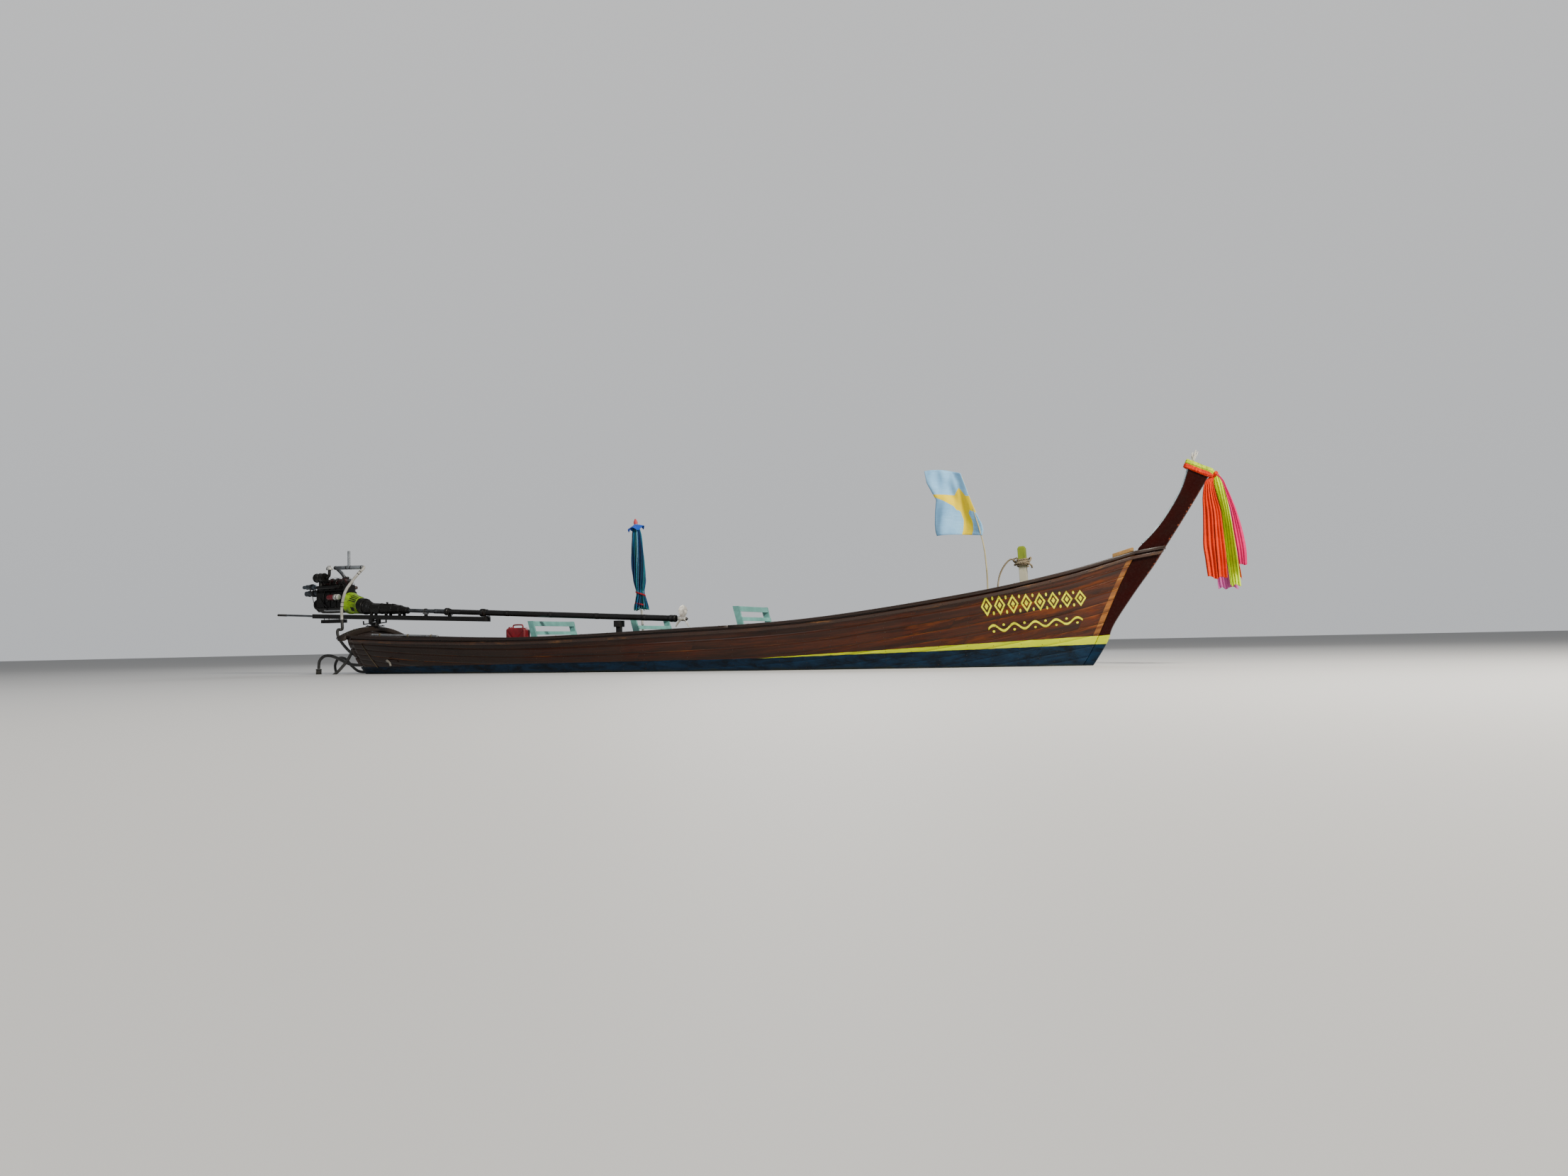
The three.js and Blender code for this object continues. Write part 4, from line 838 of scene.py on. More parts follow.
def with_nodes(name, base, tree, values):
    """The plain mesh that a Geometry Nodes tree makes on a base object, which it takes the place of."""
    modifier = base.modifiers.new("nodes", "NODES")
    modifier.node_group = tree
    for item in tree.interface.items_tree:
        if item.in_out == "INPUT" and item.name in values:
            modifier[item.identifier] = values[item.name]
    bpy.context.view_layer.update()
    mesh = bpy.data.meshes.new_from_object(base.evaluated_get(bpy.context.evaluated_depsgraph_get()))
    base.modifiers.remove(modifier)
    bpy.data.objects.remove(base)
    mesh.name = name
    return new_object(name, mesh)


def studs(name, places, facings, radius, height, material, body, sides=8):
    """Studs such as plugs, rivets or bolt heads, sunk a quarter of their height."""
    mesh = bpy.data.meshes.new(name + "_points")
    places, facings = np.array(places, float), np.array(facings, float)
    facings /= np.linalg.norm(facings, axis=1, keepdims=True)
    mesh.from_pydata([tuple(p) for p in places - facings * height * 0.25], [], [])
    layer = mesh.attributes.new("facing", "FLOAT_VECTOR", "POINT")
    layer.data.foreach_set("vector", facings.astype(np.float32).ravel())
    base = new_object(name + "_points", mesh)
    made = with_nodes(name, base, studs_nodes, {"Radius": radius, "Height": height, "Sides": sides,
        "Finish": material})
    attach(made, body)
    return made


def plug_finish():
    """End grain of the plugs, darker than the planks."""
    material, shade, place = shader("plug_wood")
    grain = grain_on(place, 60.0, 60.0)[0]
    dirt = dirt_on(place, 2.5, 0.5)[0]
    colour = mix(grain, (0.02, 0.008, 0.004), (0.12, 0.045, 0.016))
    colour = mix(dirt, colour, (0.012, 0.007, 0.005))
    feed(shade, {"Base Color": colour, "Roughness": 0.55})
    bump(shade, grain, 0.3, 0.001)
    return material


FRAME_XS = [-5.1, -4.7, -4.25, -3.8, -3.4, -2.95, -2.5, -2.0, -1.55, -0.98, -0.6, -0.25, 0.4, 1.05, 1.7,
    2.05, 2.4, 2.75, 3.1, 3.45, 3.8, 4.15, 4.5, 4.85, 5.15, 5.4]
fine_u = np.linspace(0, 1, 400)
sheer_line = guide(sheer_marks, fine_u)
plug_spots, plug_ways = [], []
for x in FRAME_XS:
    u = between(x, sheer_line[:, 0], fine_u)
    level, girth = strake_levels(u)
    for k in range(STRAKES):
        for share, shift in ((0.24, 0.0), (0.76, 0.004)):
            v = float(level(k + share))
            spot = skin_point(u + shift / 3, v)
            if spot[2] < -0.05:
                continue
            outward = spot - inboard(u + shift / 3, v, np.array(0.01))
            for side in (1, -1):
                plug_spots.append(spot * (1, side, 1))
                plug_ways.append(outward * (1, side, 1))
plug_wood = plug_finish()
studs("planking_plugs", plug_spots, plug_ways, 0.0055, 0.0036, plug_wood, "hull")


# Keel, with the bottom paint carried down over it. One long baulk, 80 mm wide, squared off.
def baulk_finish():
    """Painted keel timber."""
    material, shade, place = shader("keel_wood")
    grain = grain_on(place, 3.0, 60.0)[0]
    wood = mix(grain, (0.03, 0.012, 0.006), (0.09, 0.036, 0.014))
    painted = use_group(bottom, {"Vector": place, "Wood": wood, "Wood Roughness": 0.55, "Chips": 0.8})
    feed(shade, {"Base Color": painted["Color"], "Roughness": painted["Roughness"]})
    bump(shade, grain, 0.4, 0.003)
    return material


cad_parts["keel"].data.materials.clear()
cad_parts["keel"].data.materials.append(baulk_finish())


# Prow board. The stem carried up to the tall raked tip, 70 mm thick, in dark maroon gloss paint that
# is rubbed brown on its front edge. A pale half-round bead is nailed along its hollow back edge.
PROW_HALF, PROW_ROUND = 0.035, 0.007
PROW_FRONT = [(5.151, -0.345), (5.33, -0.215), (5.5, 0), (5.69, 0.31), (5.745, 0.46), (6.0, 0.85),
    (6.27, 1.22), (6.405, 1.43), (6.6, 1.73), (6.76, 1.985), (6.96, 2.316)]
PROW_BACK = [(6.705, 2.445), (6.705, 2.38), (6.605, 2.1), (6.4, 1.76), (6.25, 1.58), (6.085, 1.42)]


def flat_curve(points, step=0.02):
    """Points of a smooth curve in the boat's middle plane, as x and z."""
    path = curve_through([(x, 0, z) for x, z in points], 10)
    return [(p.x, p.z) for p in evenly(path, step)[0]]


def edged_board(name, outline, half, rounding, steps=3):
    """A flat board on y = 0 with its two edges rounded, from a closed outline of x and z."""
    line = np.array(outline)
    behind, before = np.roll(line, 1, axis=0), np.roll(line, -1, axis=0)
    a, b = line - behind, before - line
    a /= np.maximum(np.linalg.norm(a, axis=1, keepdims=True), 1e-09)
    b /= np.maximum(np.linalg.norm(b, axis=1, keepdims=True), 1e-09)
    area = np.sum(line[:, 0] * before[:, 1] - before[:, 0] * line[:, 1])
    turn = np.array([[0, 1], [-1, 0]]) if area < 0 else np.array([[0, -1], [1, 0]])
    inward = (a + b) @ turn.T
    inward /= np.maximum(np.linalg.norm(inward, axis=1, keepdims=True), 1e-09)
    sides = []
    for k in range(steps + 1):
        angle = pi / 2 * k / steps
        sides.append((rounding * (1 - sin(angle)), half - rounding * (1 - cos(angle))))
    rows = [(inset, y) for inset, y in sides] + [(inset, -y) for inset, y in reversed(sides)]
    rings = [[(x, y, z) for x, z in line + inward * inset] for inset, y in rows]
    run = np.concatenate([[0], np.cumsum(np.linalg.norm(np.diff(line, axis=0), axis=1))])
    board = faced_out(skin_over(name, rings, caps=True, along=[r[1] for r in rows],
        around=[*run, run[-1] + 0.01]))
    board.data.polygons.foreach_set("use_smooth", [len(f.vertices) == 4 for f in board.data.polygons])
    return board


def gloss_finish():
    """Dark maroon gloss, thin on the front edge, with the stripe and bottom paint lower down."""
    material, shade, place = shader("prow_paint")
    axes = axes_of(place)
    slant = turned(place, (0, radians(57), 0))
    grain, streak = grain_on(slant, 2.2, 55.0)
    dirt, fine = dirt_on(place, 2.2, 0.4)
    colour = mix(streak, (0.012, 0.001, 0.0008), (0.032, 0.0026, 0.0014))
    colour = mix(dirt * 0.5, colour, (0.014, 0.007, 0.005))
    front = axes["X"] - (5.47 + axes["Z"] * 0.643)
    rubbed = step_up(front, -0.05, 0.02, 0, 0.4) + fine * 0.8
    rubbed = step_up(rubbed, 0.76, 0.92)
    colour = mix(rubbed, colour, (0.2, 0.046, 0.016))
    painted = use_group(bottom, {"Vector": place, "Wood": colour, "Wood Roughness": step_up(fine,
        0.3, 0.8, 0.16, 0.42), "Chips": 0.5})
    feed(shade, {"Base Color": painted["Color"], "Roughness": painted["Roughness"], "Coat Roughness": 0.12,
        "Coat Weight": (1.0 - painted["Painted"]) * 0.15})
    bump(shade, grain + painted["Painted"], 0.1, 0.0016)
    feed(shade, {"Specular IOR Level": 0.12})
    return material


rabbet = [(p[0] + 0.002, p[2]) for p in skin_point(1.0, np.linspace(1, 0, 46))]
front_line = flat_curve(PROW_FRONT)
back_line = flat_curve(PROW_BACK[1:])
prow = edged_board("prow", [*front_line, (6.88, 2.362), (6.8, 2.404), PROW_BACK[0], *back_line, *rabbet],
    PROW_HALF, PROW_ROUND)
dressed(prow, gloss_finish(), "hull", "dark_wood", "prow_board")


def bead_finish():
    """Pale paint on the bead, with brown wood through its chips; its blue tint is a painted reflection of
    the sky.
    """
    material, shade, place = shader("pale_bead")
    dirt, fine = dirt_on(place, 5.0, 0.45)
    # pale paint, its blue tint a painted reflection of the sky
    colour = mix(dirt, (0.5, 0.62, 0.7), (0.34, 0.42, 0.46))
    chips = step_up(fine, 0.7, 0.76)
    feed(shade, {"Base Color": mix(chips, colour, (0.08, 0.03, 0.015)),
        "Roughness": step_up(fine, 0.3, 0.7, 0.25, 0.5)})
    bump(shade, fine, 0.2, 0.001)
    return material


bead_marks = np.array(back_line[2:-3])
bead_way = np.gradient(bead_marks, axis=0)
bead_marks += 0.01 * np.stack([bead_way[:, 1], -bead_way[:, 0]], 1) / np.linalg.norm(bead_way, axis=1,
    keepdims=True)
bead = tube("prow_bead", [Vector((x, 0, z)) for x, z in bead_marks], 0.014, 14)
dressed(bead, bead_finish(), "hull", "dark_wood")


# Gunwale caps and rub rails. Hardwood strips steamed to the sheer and nailed: the cap lies on the
# planks' top edge in two lengths a side, the rub rail 20 mm below it. Both run out over the prow
# board. The caps are black with handling, and the rub rails are worn to bright wood.
CAP_HIGH, CAP_IN, CAP_OUT = 0.038, 0.05, 0.038
RUB_DROP, RUB_HIGH, RUB_OFF, RUB_OUT = 0.02, 0.046, 0.004, 0.034
RAIL_END = np.array((6.392, 0.039, 1.394))


def rounded_section(corners, radii, steps=3):
    """A closed section with its corners rounded, from its corners and their radii, in a plane."""
    given = [np.array(c, float) for c in corners]
    made = []
    for i, corner in enumerate(given):
        back, on = given[i - 1] - corner, given[(i + 1) % len(given)] - corner
        r = min(radii[i], np.linalg.norm(back) * 0.45, np.linalg.norm(on) * 0.45)
        a, b = corner + back / np.linalg.norm(back) * r, corner + on / np.linalg.norm(on) * r
        for k in range(steps + 1):
            t = k / steps
            made.append((1 - t) ** 2 * a + 2 * t * (1 - t) * corner + t * t * b)
    return made


def rail_rings(section, u_from, u_to, on_prow):
    """Sections of a rail from stern to bow."""
    steps = np.linspace(u_from, u_to, round(90 * (u_to - u_from)) + 1)
    marks = [(u, guide(sheer_marks, u)) for u in steps]
    if on_prow:
        marks.append((1.0, RAIL_END))
    return [section(u, p) for u, p in marks]


def cap_section(u, p):
    """Section of the cap, standing on the planks' edge."""
    low = p[2] + 0.0004
    inner = max(p[1] - CAP_IN, 0.036)
    corners = [(p[1] + CAP_OUT, low), (p[1] + CAP_OUT, low + CAP_HIGH), (inner, low + CAP_HIGH),
        (inner, low)]
    return [(p[0], y, z) for y, z in rounded_section(corners, (0.004, 0.011, 0.011, 0.004))]


def rub_section(u, p):
    """Section of the rub rail, on the planking's face."""
    points = []
    for down in (RUB_DROP, RUB_DROP + RUB_HIGH):
        if p is RAIL_END:
            points.append(p - (down, 0, down))
        else:
            strip = skin_point(u, 1 - 1 / 9)
            points.append(p + (strip - p) * (down / (p[2] - strip[2])))
    top, low = points
    corners = [low + (0, RUB_OFF, 0), low + (0, RUB_OUT, 0), top + (0, RUB_OUT, 0), top + (0, RUB_OFF, 0)]
    return [tuple(c) for c in rounded_section(corners, (0.003, 0.012, 0.012, 0.003))]


def rail_finish(name, dark, light, wear):
    """Varnish worn off the high edges, black with dirt in the grain. UV runs along the rail."""
    material, shade, place = shader(name)
    run = axes_of(uv_of(place))
    flat = combined(run["X"], run["Y"] * 0.17, 0)
    grain, streak = grain_on(flat, 2.2, 85.0)
    dirt, fine = dirt_on(place, 2.4, 0.5)
    patch = noise(stretched(flat, (1.1, 9, 1)), 1.2, 7, 0.7)
    colour = mix(streak, dark, tuple(c * 2.1 for c in dark))
    worn = step_up(patch * 0.75 + streak * 0.25, 0.68 - wear * 0.25, 0.76 - wear * 0.22)
    bare = mix(grain, light, tuple(c * 0.42 for c in light))
    colour = mix(worn, colour, bare)
    colour = mix(dirt * 0.6, colour, (0.016, 0.01, 0.007))
    joint = maths("PINGPONG", run["X"], 2.9)
    colour = mix(step_up(joint, 0.002, 0.006, 0.8, 0), colour, (0.008, 0.005, 0.003))
    feed(shade, {"Base Color": colour, "Roughness": step_up(worn, 0, 1, 0.34, 0.72)})
    height = grain + fine * 0.5
    bump(shade, height - worn, 0.5, 0.0025)
    return material


cap_wood = rail_finish("cap_wood", (0.014, 0.005, 0.0024), (0.36, 0.14, 0.03), 0.36)
rub_wood = rail_finish("rub_wood", (0.034, 0.0105, 0.0032), (0.5, 0.205, 0.044), 0.62)
CAP_LENGTHS = {"aft": (0, 0.5), "fore": (0.5, 1)}
for label, side in (("port", 1), ("starboard", -1)):
    for length, (u_from, u_to) in CAP_LENGTHS.items():
        rings = rail_rings(cap_section, u_from, u_to, length == "fore")
        rings = [[(x, y * side, z) for x, y, z in ring] for ring in rings]
        if length == "fore":
            rings[0] = [(x + 0.0006, y, z) for x, y, z in rings[0]]
        cap = faced_out(skin_over(f"cap_{label}_{length}", rings))
        dressed(cap, cap_wood, "hull", "rail_wood", f"gunwale_{label}_{length}")
    rings = [[(x, y * side, z) for x, y, z in ring] for ring in rail_rings(rub_section, 0, 1, True)]
    rub = faced_out(skin_over("rub_" + label, rings))
    dressed(rub, rub_wood, "hull", "rail_wood", "rub_rail_" + label)
rail_spots, rail_ways = [], []
for x in np.arange(-5.4, 5.9, 0.42):
    u = between(x, sheer_line[:, 0], fine_u)
    p = guide(sheer_marks, u)
    top, low = np.array(rub_section(u, p))[[8, 7]]
    for side in (1, -1):
        rail_spots += [(top + low) / 2 * (1, side, 1),
            (p[0], (p[1] + 0.012) * side, p[2] + CAP_HIGH + 0.0004)]
        rail_ways += [(0, side, -0.12), (0, 0, 1)]
studs("rail_plugs", rail_spots, rail_ways, 0.0075, 0.004, plug_wood, "hull", 10)


# Transom. Six horizontal boards that close the stern under the crossbeam, varnished like the
# planking, and nailed through the planks' ends.
TRANSOM_FRONT, TRANSOM_BACK = 0.0004, 0.048
STERN_FOOT, STERN_SLOPE = (-5.35, -0.17), (-5.585 + 5.35) / (0.56 + 0.17)
ARCH_CROWN, ARCH_DROP, ARCH_HALF, BEAM_DEEP = 0.742, 0.142, 0.69, 0.072


def arch_z(y):
    """Top of the crossbeam."""
    return ARCH_CROWN - ARCH_DROP * (y / ARCH_HALF) ** 2


def stern_x(z):
    """X of the planks' ends at the stern."""
    return STERN_FOOT[0] + STERN_SLOPE * (z - STERN_FOOT[1])


def columns_board(name, columns, point, front, back, rounding=0.003):
    """A board cut to shape: columns of (y, low z, top z), set in space by point(y, z, depth)."""
    outline = [(y, low) for y, low, top in columns] + [(y, top) for y, low, top in reversed(columns)]
    centre = np.mean(np.array(outline), axis=0)
    rings = []
    for depth, inset in ((front, rounding), (front + rounding, 0), (back - rounding, 0), (back, rounding)):
        ring = []
        for y, z in outline:
            way = np.sign(np.array((y, z)) - centre) * inset
            ring.append(point(y - way[0], z - way[1], depth))
        rings.append(ring)
    board = faced_out(skin_over(name, rings, along=[0, rounding, back - front, back - front + rounding]))
    board.data.polygons.foreach_set("use_smooth", [False] * len(board.data.polygons))
    return board


def joined(name, pieces):
    """Several mesh objects as one."""
    work = bmesh.new()
    for piece in pieces:
        work.from_mesh(piece.data)
    mesh = bpy.data.meshes.new(name)
    work.to_mesh(mesh)
    work.free()
    for piece in pieces:
        bpy.data.objects.remove(piece)
    return new_object(name, mesh)


def timber_finish(name, dark, light, along="X", gloss=0.35, painted=False, dirty=0.5, pitch=None):
    """Sawn timber with its grain along one axis; pitch changes the tone from board to board."""
    material, shade, place = shader(name)
    turn = {"X": (0, 0, 0), "Y": (0, 0, pi / 2), "Z": (0, pi / 2, 0)}[along]
    flat = turned(place, turn)
    grain, streak = grain_on(flat, 3.0, 80.0)
    dirt, fine = dirt_on(place, 3.0, dirty)
    colour = mix(streak, dark, light)
    colour = mix(step_up(grain, 0.45, 0.65, 0, 0.6), colour, tuple(c * 0.55 for c in dark))
    if pitch:
        axis, size = pitch
        cell = maths("FLOOR", axes_of(place)[axis] / size)
        tone = chance(cell)
        colour = mix(tone * 0.45, colour, tuple(c * 0.5 for c in dark))
    colour = mix(dirt * 0.7, colour, (0.018, 0.014, 0.01))
    rough = step_up(fine, 0.3, 0.8, gloss, gloss + 0.25)
    if painted:
        coat = use_group(bottom, {"Vector": place, "Wood": colour, "Wood Roughness": rough, "Chips": 0.5})
        colour, rough = coat["Color"], coat["Roughness"]
    feed(shade, {"Base Color": colour, "Roughness": rough})
    bump(shade, grain + fine * 0.4, 0.5, 0.003)
    return material


stern_half = skin_point(0.0, np.linspace(0, 1, 60))
BOARD_LEVELS = [-0.171, -0.03, 0.115, 0.26, 0.405, 0.56, 0.7]
transom_boards = []
for low, top in zip(BOARD_LEVELS, BOARD_LEVELS[1:]):
    columns = []
    for y in np.linspace(-0.648, 0.648, 73):
        foot = max(low + 0.0015, between(abs(y), stern_half[:, 1], stern_half[:, 2]))
        head = min(top - 0.0015, arch_z(y) - BEAM_DEEP - 0.003)
        if head - foot > 0.004:
            columns.append((y, foot, head))
    if columns:
        transom_boards.append(columns_board("board", columns, lambda y, z, d: (stern_x(z) - d, y, z),
            TRANSOM_FRONT, TRANSOM_BACK))
transom = joined("transom_boards", transom_boards)
dressed(transom, timber_finish("transom_wood", (0.014, 0.0036, 0.0014), (0.05, 0.012, 0.0032), "Y", 0.28,
    True, 0.5, ("Z", 0.145)), "hull", "varnished_planks", "transom")


# Stern crossbeam. A baulk 142 by 72 mm, arched and let over the gunwales, that carries the swivel.
# It is nearly black with grease, and bolted down in two rows.
BEAM_X = -5.735, -5.593
beam_rings = []
for y in np.linspace(-(ARCH_HALF + 0.025), ARCH_HALF + 0.025, 41):
    z = arch_z(y)
    section = rounded_section([(BEAM_X[0], z - BEAM_DEEP), (BEAM_X[0], z), (BEAM_X[1], z),
        (BEAM_X[1], z - BEAM_DEEP)], (0.007, 0.012, 0.012, 0.007))
    beam_rings.append([(x, y, height) for x, height in section])
beam = faced_out(skin_over("crossbeam", beam_rings))
dressed(beam, timber_finish("beam_wood", (0.01, 0.0034, 0.0018), (0.062, 0.021, 0.0056), "Y", 0.5, False,
    0.62), "hull", "dark_wood", "stern_crossbeam")
bolt_places = [(x, y, arch_z(y) + 0.001) for x in (-5.7, -5.63) for y in (-0.62, -0.4, 0.4, 0.62)]


def steel_finish(name, paint, rust=0.4, gloss=0.35, metal=0.3, oil=0.4):
    """Painted steel: oily in patches, rusty where the paint has gone."""
    material, shade, place = shader(name)
    dirt, fine = dirt_on(place, 7.0, oil)
    moved = put(place.id_data, "Mapping", {"Vector": place, "Location": (3, 7, 1)}).outputs["Vector"]
    spots, spots_fine = dirt_on(moved, 11.0, rust)
    colour = mix(step_up(fine, 0.35, 0.7), paint, tuple(c * 1.7 + 0.004 for c in paint))
    colour = mix(dirt * 0.75, colour, (0.01, 0.009, 0.008))
    rusty = spots * step_up(spots_fine, 0.42, 0.58)
    rust_tone = mix(fine, (0.035, 0.011, 0.005), (0.12, 0.04, 0.012))
    feed(shade, {"Base Color": mix(rusty, colour, rust_tone)})
    rough = spread(rusty, to_low=step_up(fine, 0.3, 0.8, gloss, gloss + 0.3), to_high=0.85)
    feed(shade, {"Roughness": rough, "Metallic": (1.0 - rusty) * metal})
    height = fine * 0.5 + rusty
    bump(shade, height, 0.3, 0.0012)
    return material


dull_steel = steel_finish("dull_steel", (0.04, 0.041, 0.043), 0.28, 0.42, 0.6)
studs("beam_bolts", bolt_places, [(0, 0, 1)] * len(bolt_places), 0.015, 0.009, dull_steel, "hull",
    6)


# Frames and keelson. Grown and sawn ribs across the hull on a flat keelson, tarred and oily.
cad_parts["frames"].data.materials.clear()
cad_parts["frames"].data.materials.append(timber_finish("rib_wood", (0.02, 0.012, 0.008),
    (0.075, 0.042, 0.022), "Y", 0.6, False, 0.6))


# Floorboards. Loose boards 105 mm wide laid fore and aft on the frames, grey and foot-worn, with
# gaps between them.
FLOOR_TOP, FLOOR_THICK, FLOOR_PITCH, FLOOR_GAP = -0.15, 0.024, 0.112, 0.007
floor_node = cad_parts["floorboards"].data
floor_marks = sorted({(round(v.co.x, 4), round(abs(v.co.y), 4)) for v in floor_node.vertices})
floor_xs, floor_ys = [m[0] for m in floor_marks], [m[1] for m in floor_marks]


def plank_run(name, y0, y1, xs, top, thick, half_at, butts):
    """Boards lying fore and aft between y0 and y1, cut to a half width, with butts at given x."""
    pieces = []
    ends = [xs[0], *[b for b in butts if xs[0] + 0.1 < b < xs[-1] - 0.1], xs[-1]]
    for x0, x1 in zip(ends, ends[1:]):
        rings = []
        for x in np.linspace(x0 + 0.0012, x1 - 0.0012, max(3, round((x1 - x0) / 0.12))):
            half = half_at(x)
            a, b = max(y0, -half), min(y1, half)
            if b - a < 0.018:
                if rings:
                    break
                continue
            z = top(x)
            section = rounded_section([(a, z - thick), (a, z), (b, z), (b, z - thick)],
                (0.002, 0.004, 0.004, 0.002), 2)
            rings.append([(x, y, h) for y, h in section])
        if len(rings) > 2:
            pieces.append(faced_out(skin_over(name, rings)))
    return pieces


def boards_over(name, half, pitch, gap, xs, top, thick, half_at, butt_pitch=2.4):
    """A whole floor or deck of boards lying fore and aft."""
    count = ceil(half / pitch)
    boards = []
    for k in range(-count, count):
        shift = k * 0.37 % 1 * butt_pitch
        butts = [xs[0] + shift + n * butt_pitch for n in range(8)]
        boards += plank_run(name, k * pitch + gap / 2, (k + 1) * pitch - gap / 2, xs, top, thick, half_at,
            butts)
    return joined(name, boards)


floor_boards = boards_over("floor_planks", 0.72, FLOOR_PITCH, FLOOR_GAP, (floor_xs[0], floor_xs[-1]),
    lambda x: FLOOR_TOP, FLOOR_THICK, lambda x: between(x, floor_xs, floor_ys))
dressed(floor_boards, timber_finish("grey_boards", (0.105, 0.078, 0.052), (0.24, 0.19, 0.132), "X", 0.7,
    False, 0.55, ("Y", FLOOR_PITCH)), "hull", "bare_wood", "floorboards")


# Decks. Short decks at both ends on the level of the clamps: the foredeck is varnished and holds the
# mooring post and the flag pole, the stern deck is bare.
def node_edges(node):
    """x, half width and top of a deck's CAD solid at each of its sections."""
    marks = {}
    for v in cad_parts[node].data.vertices:
        key = round(v.co.x, 3)
        old = marks.get(key, (0, -9))
        marks[key] = max(old[0], abs(v.co.y)), max(old[1], v.co.z)
    xs = sorted(marks)
    return xs, [marks[x][0] for x in xs], [marks[x][1] for x in xs]


DECKS = {"foredeck": ("deck_wood", (0.06, 0.02, 0.008), (0.17, 0.062, 0.022), 0.35, "varnished_planks"),
    "stern_deck": ("stern_deck_wood", (0.085, 0.062, 0.04), (0.2, 0.15, 0.1), 0.7, "bare_wood")}
for node, (name, dark, light, gloss, finish) in DECKS.items():
    xs, halves, tops = node_edges(node)
    wide = [(x, h) for x, h in zip(xs, halves) if h > 0.07]
    deck = boards_over(node + "_boards", max(halves), 0.098, 0.003, (xs[0], xs[-1]),
        lambda x: between(x, xs, tops), 0.026, lambda x: row_at(wide, x)[0], 9)
    dressed(deck, timber_finish(name, dark, light, "X", gloss, False, 0.5, ("Y", 0.098)), "hull", finish,
        node)


# Benches. Three slatted seats nailed up from boards, leaning ends standing on the floor, painted
# turquoise by brush and rubbed through to the wood at every edge.
def softened(node, name, width=0.003, segments=2, angle=28):
    """A CAD node's own shape as a new piece with its hard edges rounded. The new faces are marked
    on the attribute edge, where paint wears off."""
    work = bmesh.new()
    work.from_mesh(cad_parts[node].data)
    bmesh.ops.remove_doubles(work, verts=work.verts, dist=1e-05)
    bmesh.ops.dissolve_limit(work, angle_limit=radians(1), verts=work.verts, edges=work.edges)
    hard = [e for e in work.edges if len(e.link_faces) == 2 and e.calc_face_angle(0) > radians(angle)]
    rounded = bmesh.ops.bevel(work, geom=hard, offset=width, offset_type="OFFSET", segments=segments,
        profile=0.6, affect="EDGES", clamp_overlap=True)
    bmesh.ops.remove_doubles(work, verts=work.verts, dist=2e-06)
    bmesh.ops.dissolve_degenerate(work, dist=2e-06, edges=work.edges)
    mark = work.faces.layers.float.new("edge")
    for face in rounded["faces"]:
        if face.is_valid:
            face[mark] = 1.0
    bmesh.ops.triangulate(work, faces=[f for f in work.faces if len(f.verts) > 4])
    mesh = bpy.data.meshes.new(name)
    work.to_mesh(mesh)
    work.free()
    mesh.materials.clear()
    return new_object(name, mesh)


def brushed_paint(name, paint, wood=(0.15, 0.095, 0.052), wear=0.5, along="Y", gloss=0.42):
    """Brushed paint on wood: streaks, grime in patches, and bare wood on edges and chips."""
    material, shade, place = shader(name)
    turn = {"X": (0, 0, 0), "Y": (0, 0, pi / 2), "Z": (0, pi / 2, 0)}[along]
    flat = turned(place, turn)
    grain, streak = grain_on(flat, 4.0, 110.0)
    dirt = dirt_on(place, 4.0, 0.42)[0]
    chips = noise(stretched(flat, (1, 2.6, 2.6)), 9, 8, 0.75)
    edge = put(place.id_data, "Attribute", attribute_name="edge").outputs["Fac"]
    lost = chips + edge * (0.16 + wear * 0.12)
    lost = step_up(lost, 0.7 - wear * 0.06, 0.73 - wear * 0.06)
    colour = mix(step_up(streak, 0.35, 0.65), paint, tuple(c * 0.8 for c in paint))
    colour = mix(dirt * 0.45, colour, tuple(c * 0.32 for c in paint))
    bare = mix(grain, wood, tuple(c * 0.4 for c in wood))
    feed(shade, {"Base Color": mix(lost, colour, bare), "Roughness": step_up(lost, 0, 1, gloss, 0.8)})
    height = grain * 0.5 - lost
    bump(shade, height, 0.45, 0.0016)
    return material


BENCHES = {"bench_aft": (-2.29, 0.545, 0.742), "bench_middle": (-0.64, 0.495, 0.785),
    "bench_forward": (0.95, 0.495, 0.862)}
bench_paint = brushed_paint("bench_paint", (0.235, 0.61, 0.56), wear=0.5)
for bench_name, (back_x, half, top) in BENCHES.items():
    dressed(softened(bench_name, bench_name + "_boards", 0.0035), bench_paint, "hull", "turquoise_paint",
        bench_name)
    nail_spots, nail_ways = [], []
    for side in (-1, 1):
        for height in (top - 0.055, top - 0.02, top - 0.185, top - 0.165):
            nail_spots.append((back_x + (top - height) * 0.27 + 0.0045, side * (half - 0.015), height))
            nail_ways.append((1, 0, 0.27))
        for board in range(3):
            for x in (0.02, 0.085):
                seat_x = back_x + 0.4 * 0.27 - 0.04 + board * 0.13
                nail_spots.append((seat_x + x, side * (half - 0.015), top - 0.4))
                nail_ways.append((0, 0, 1))
    studs(bench_name + "_nails", nail_spots, nail_ways, 0.0045, 0.0016, dull_steel, "hull")


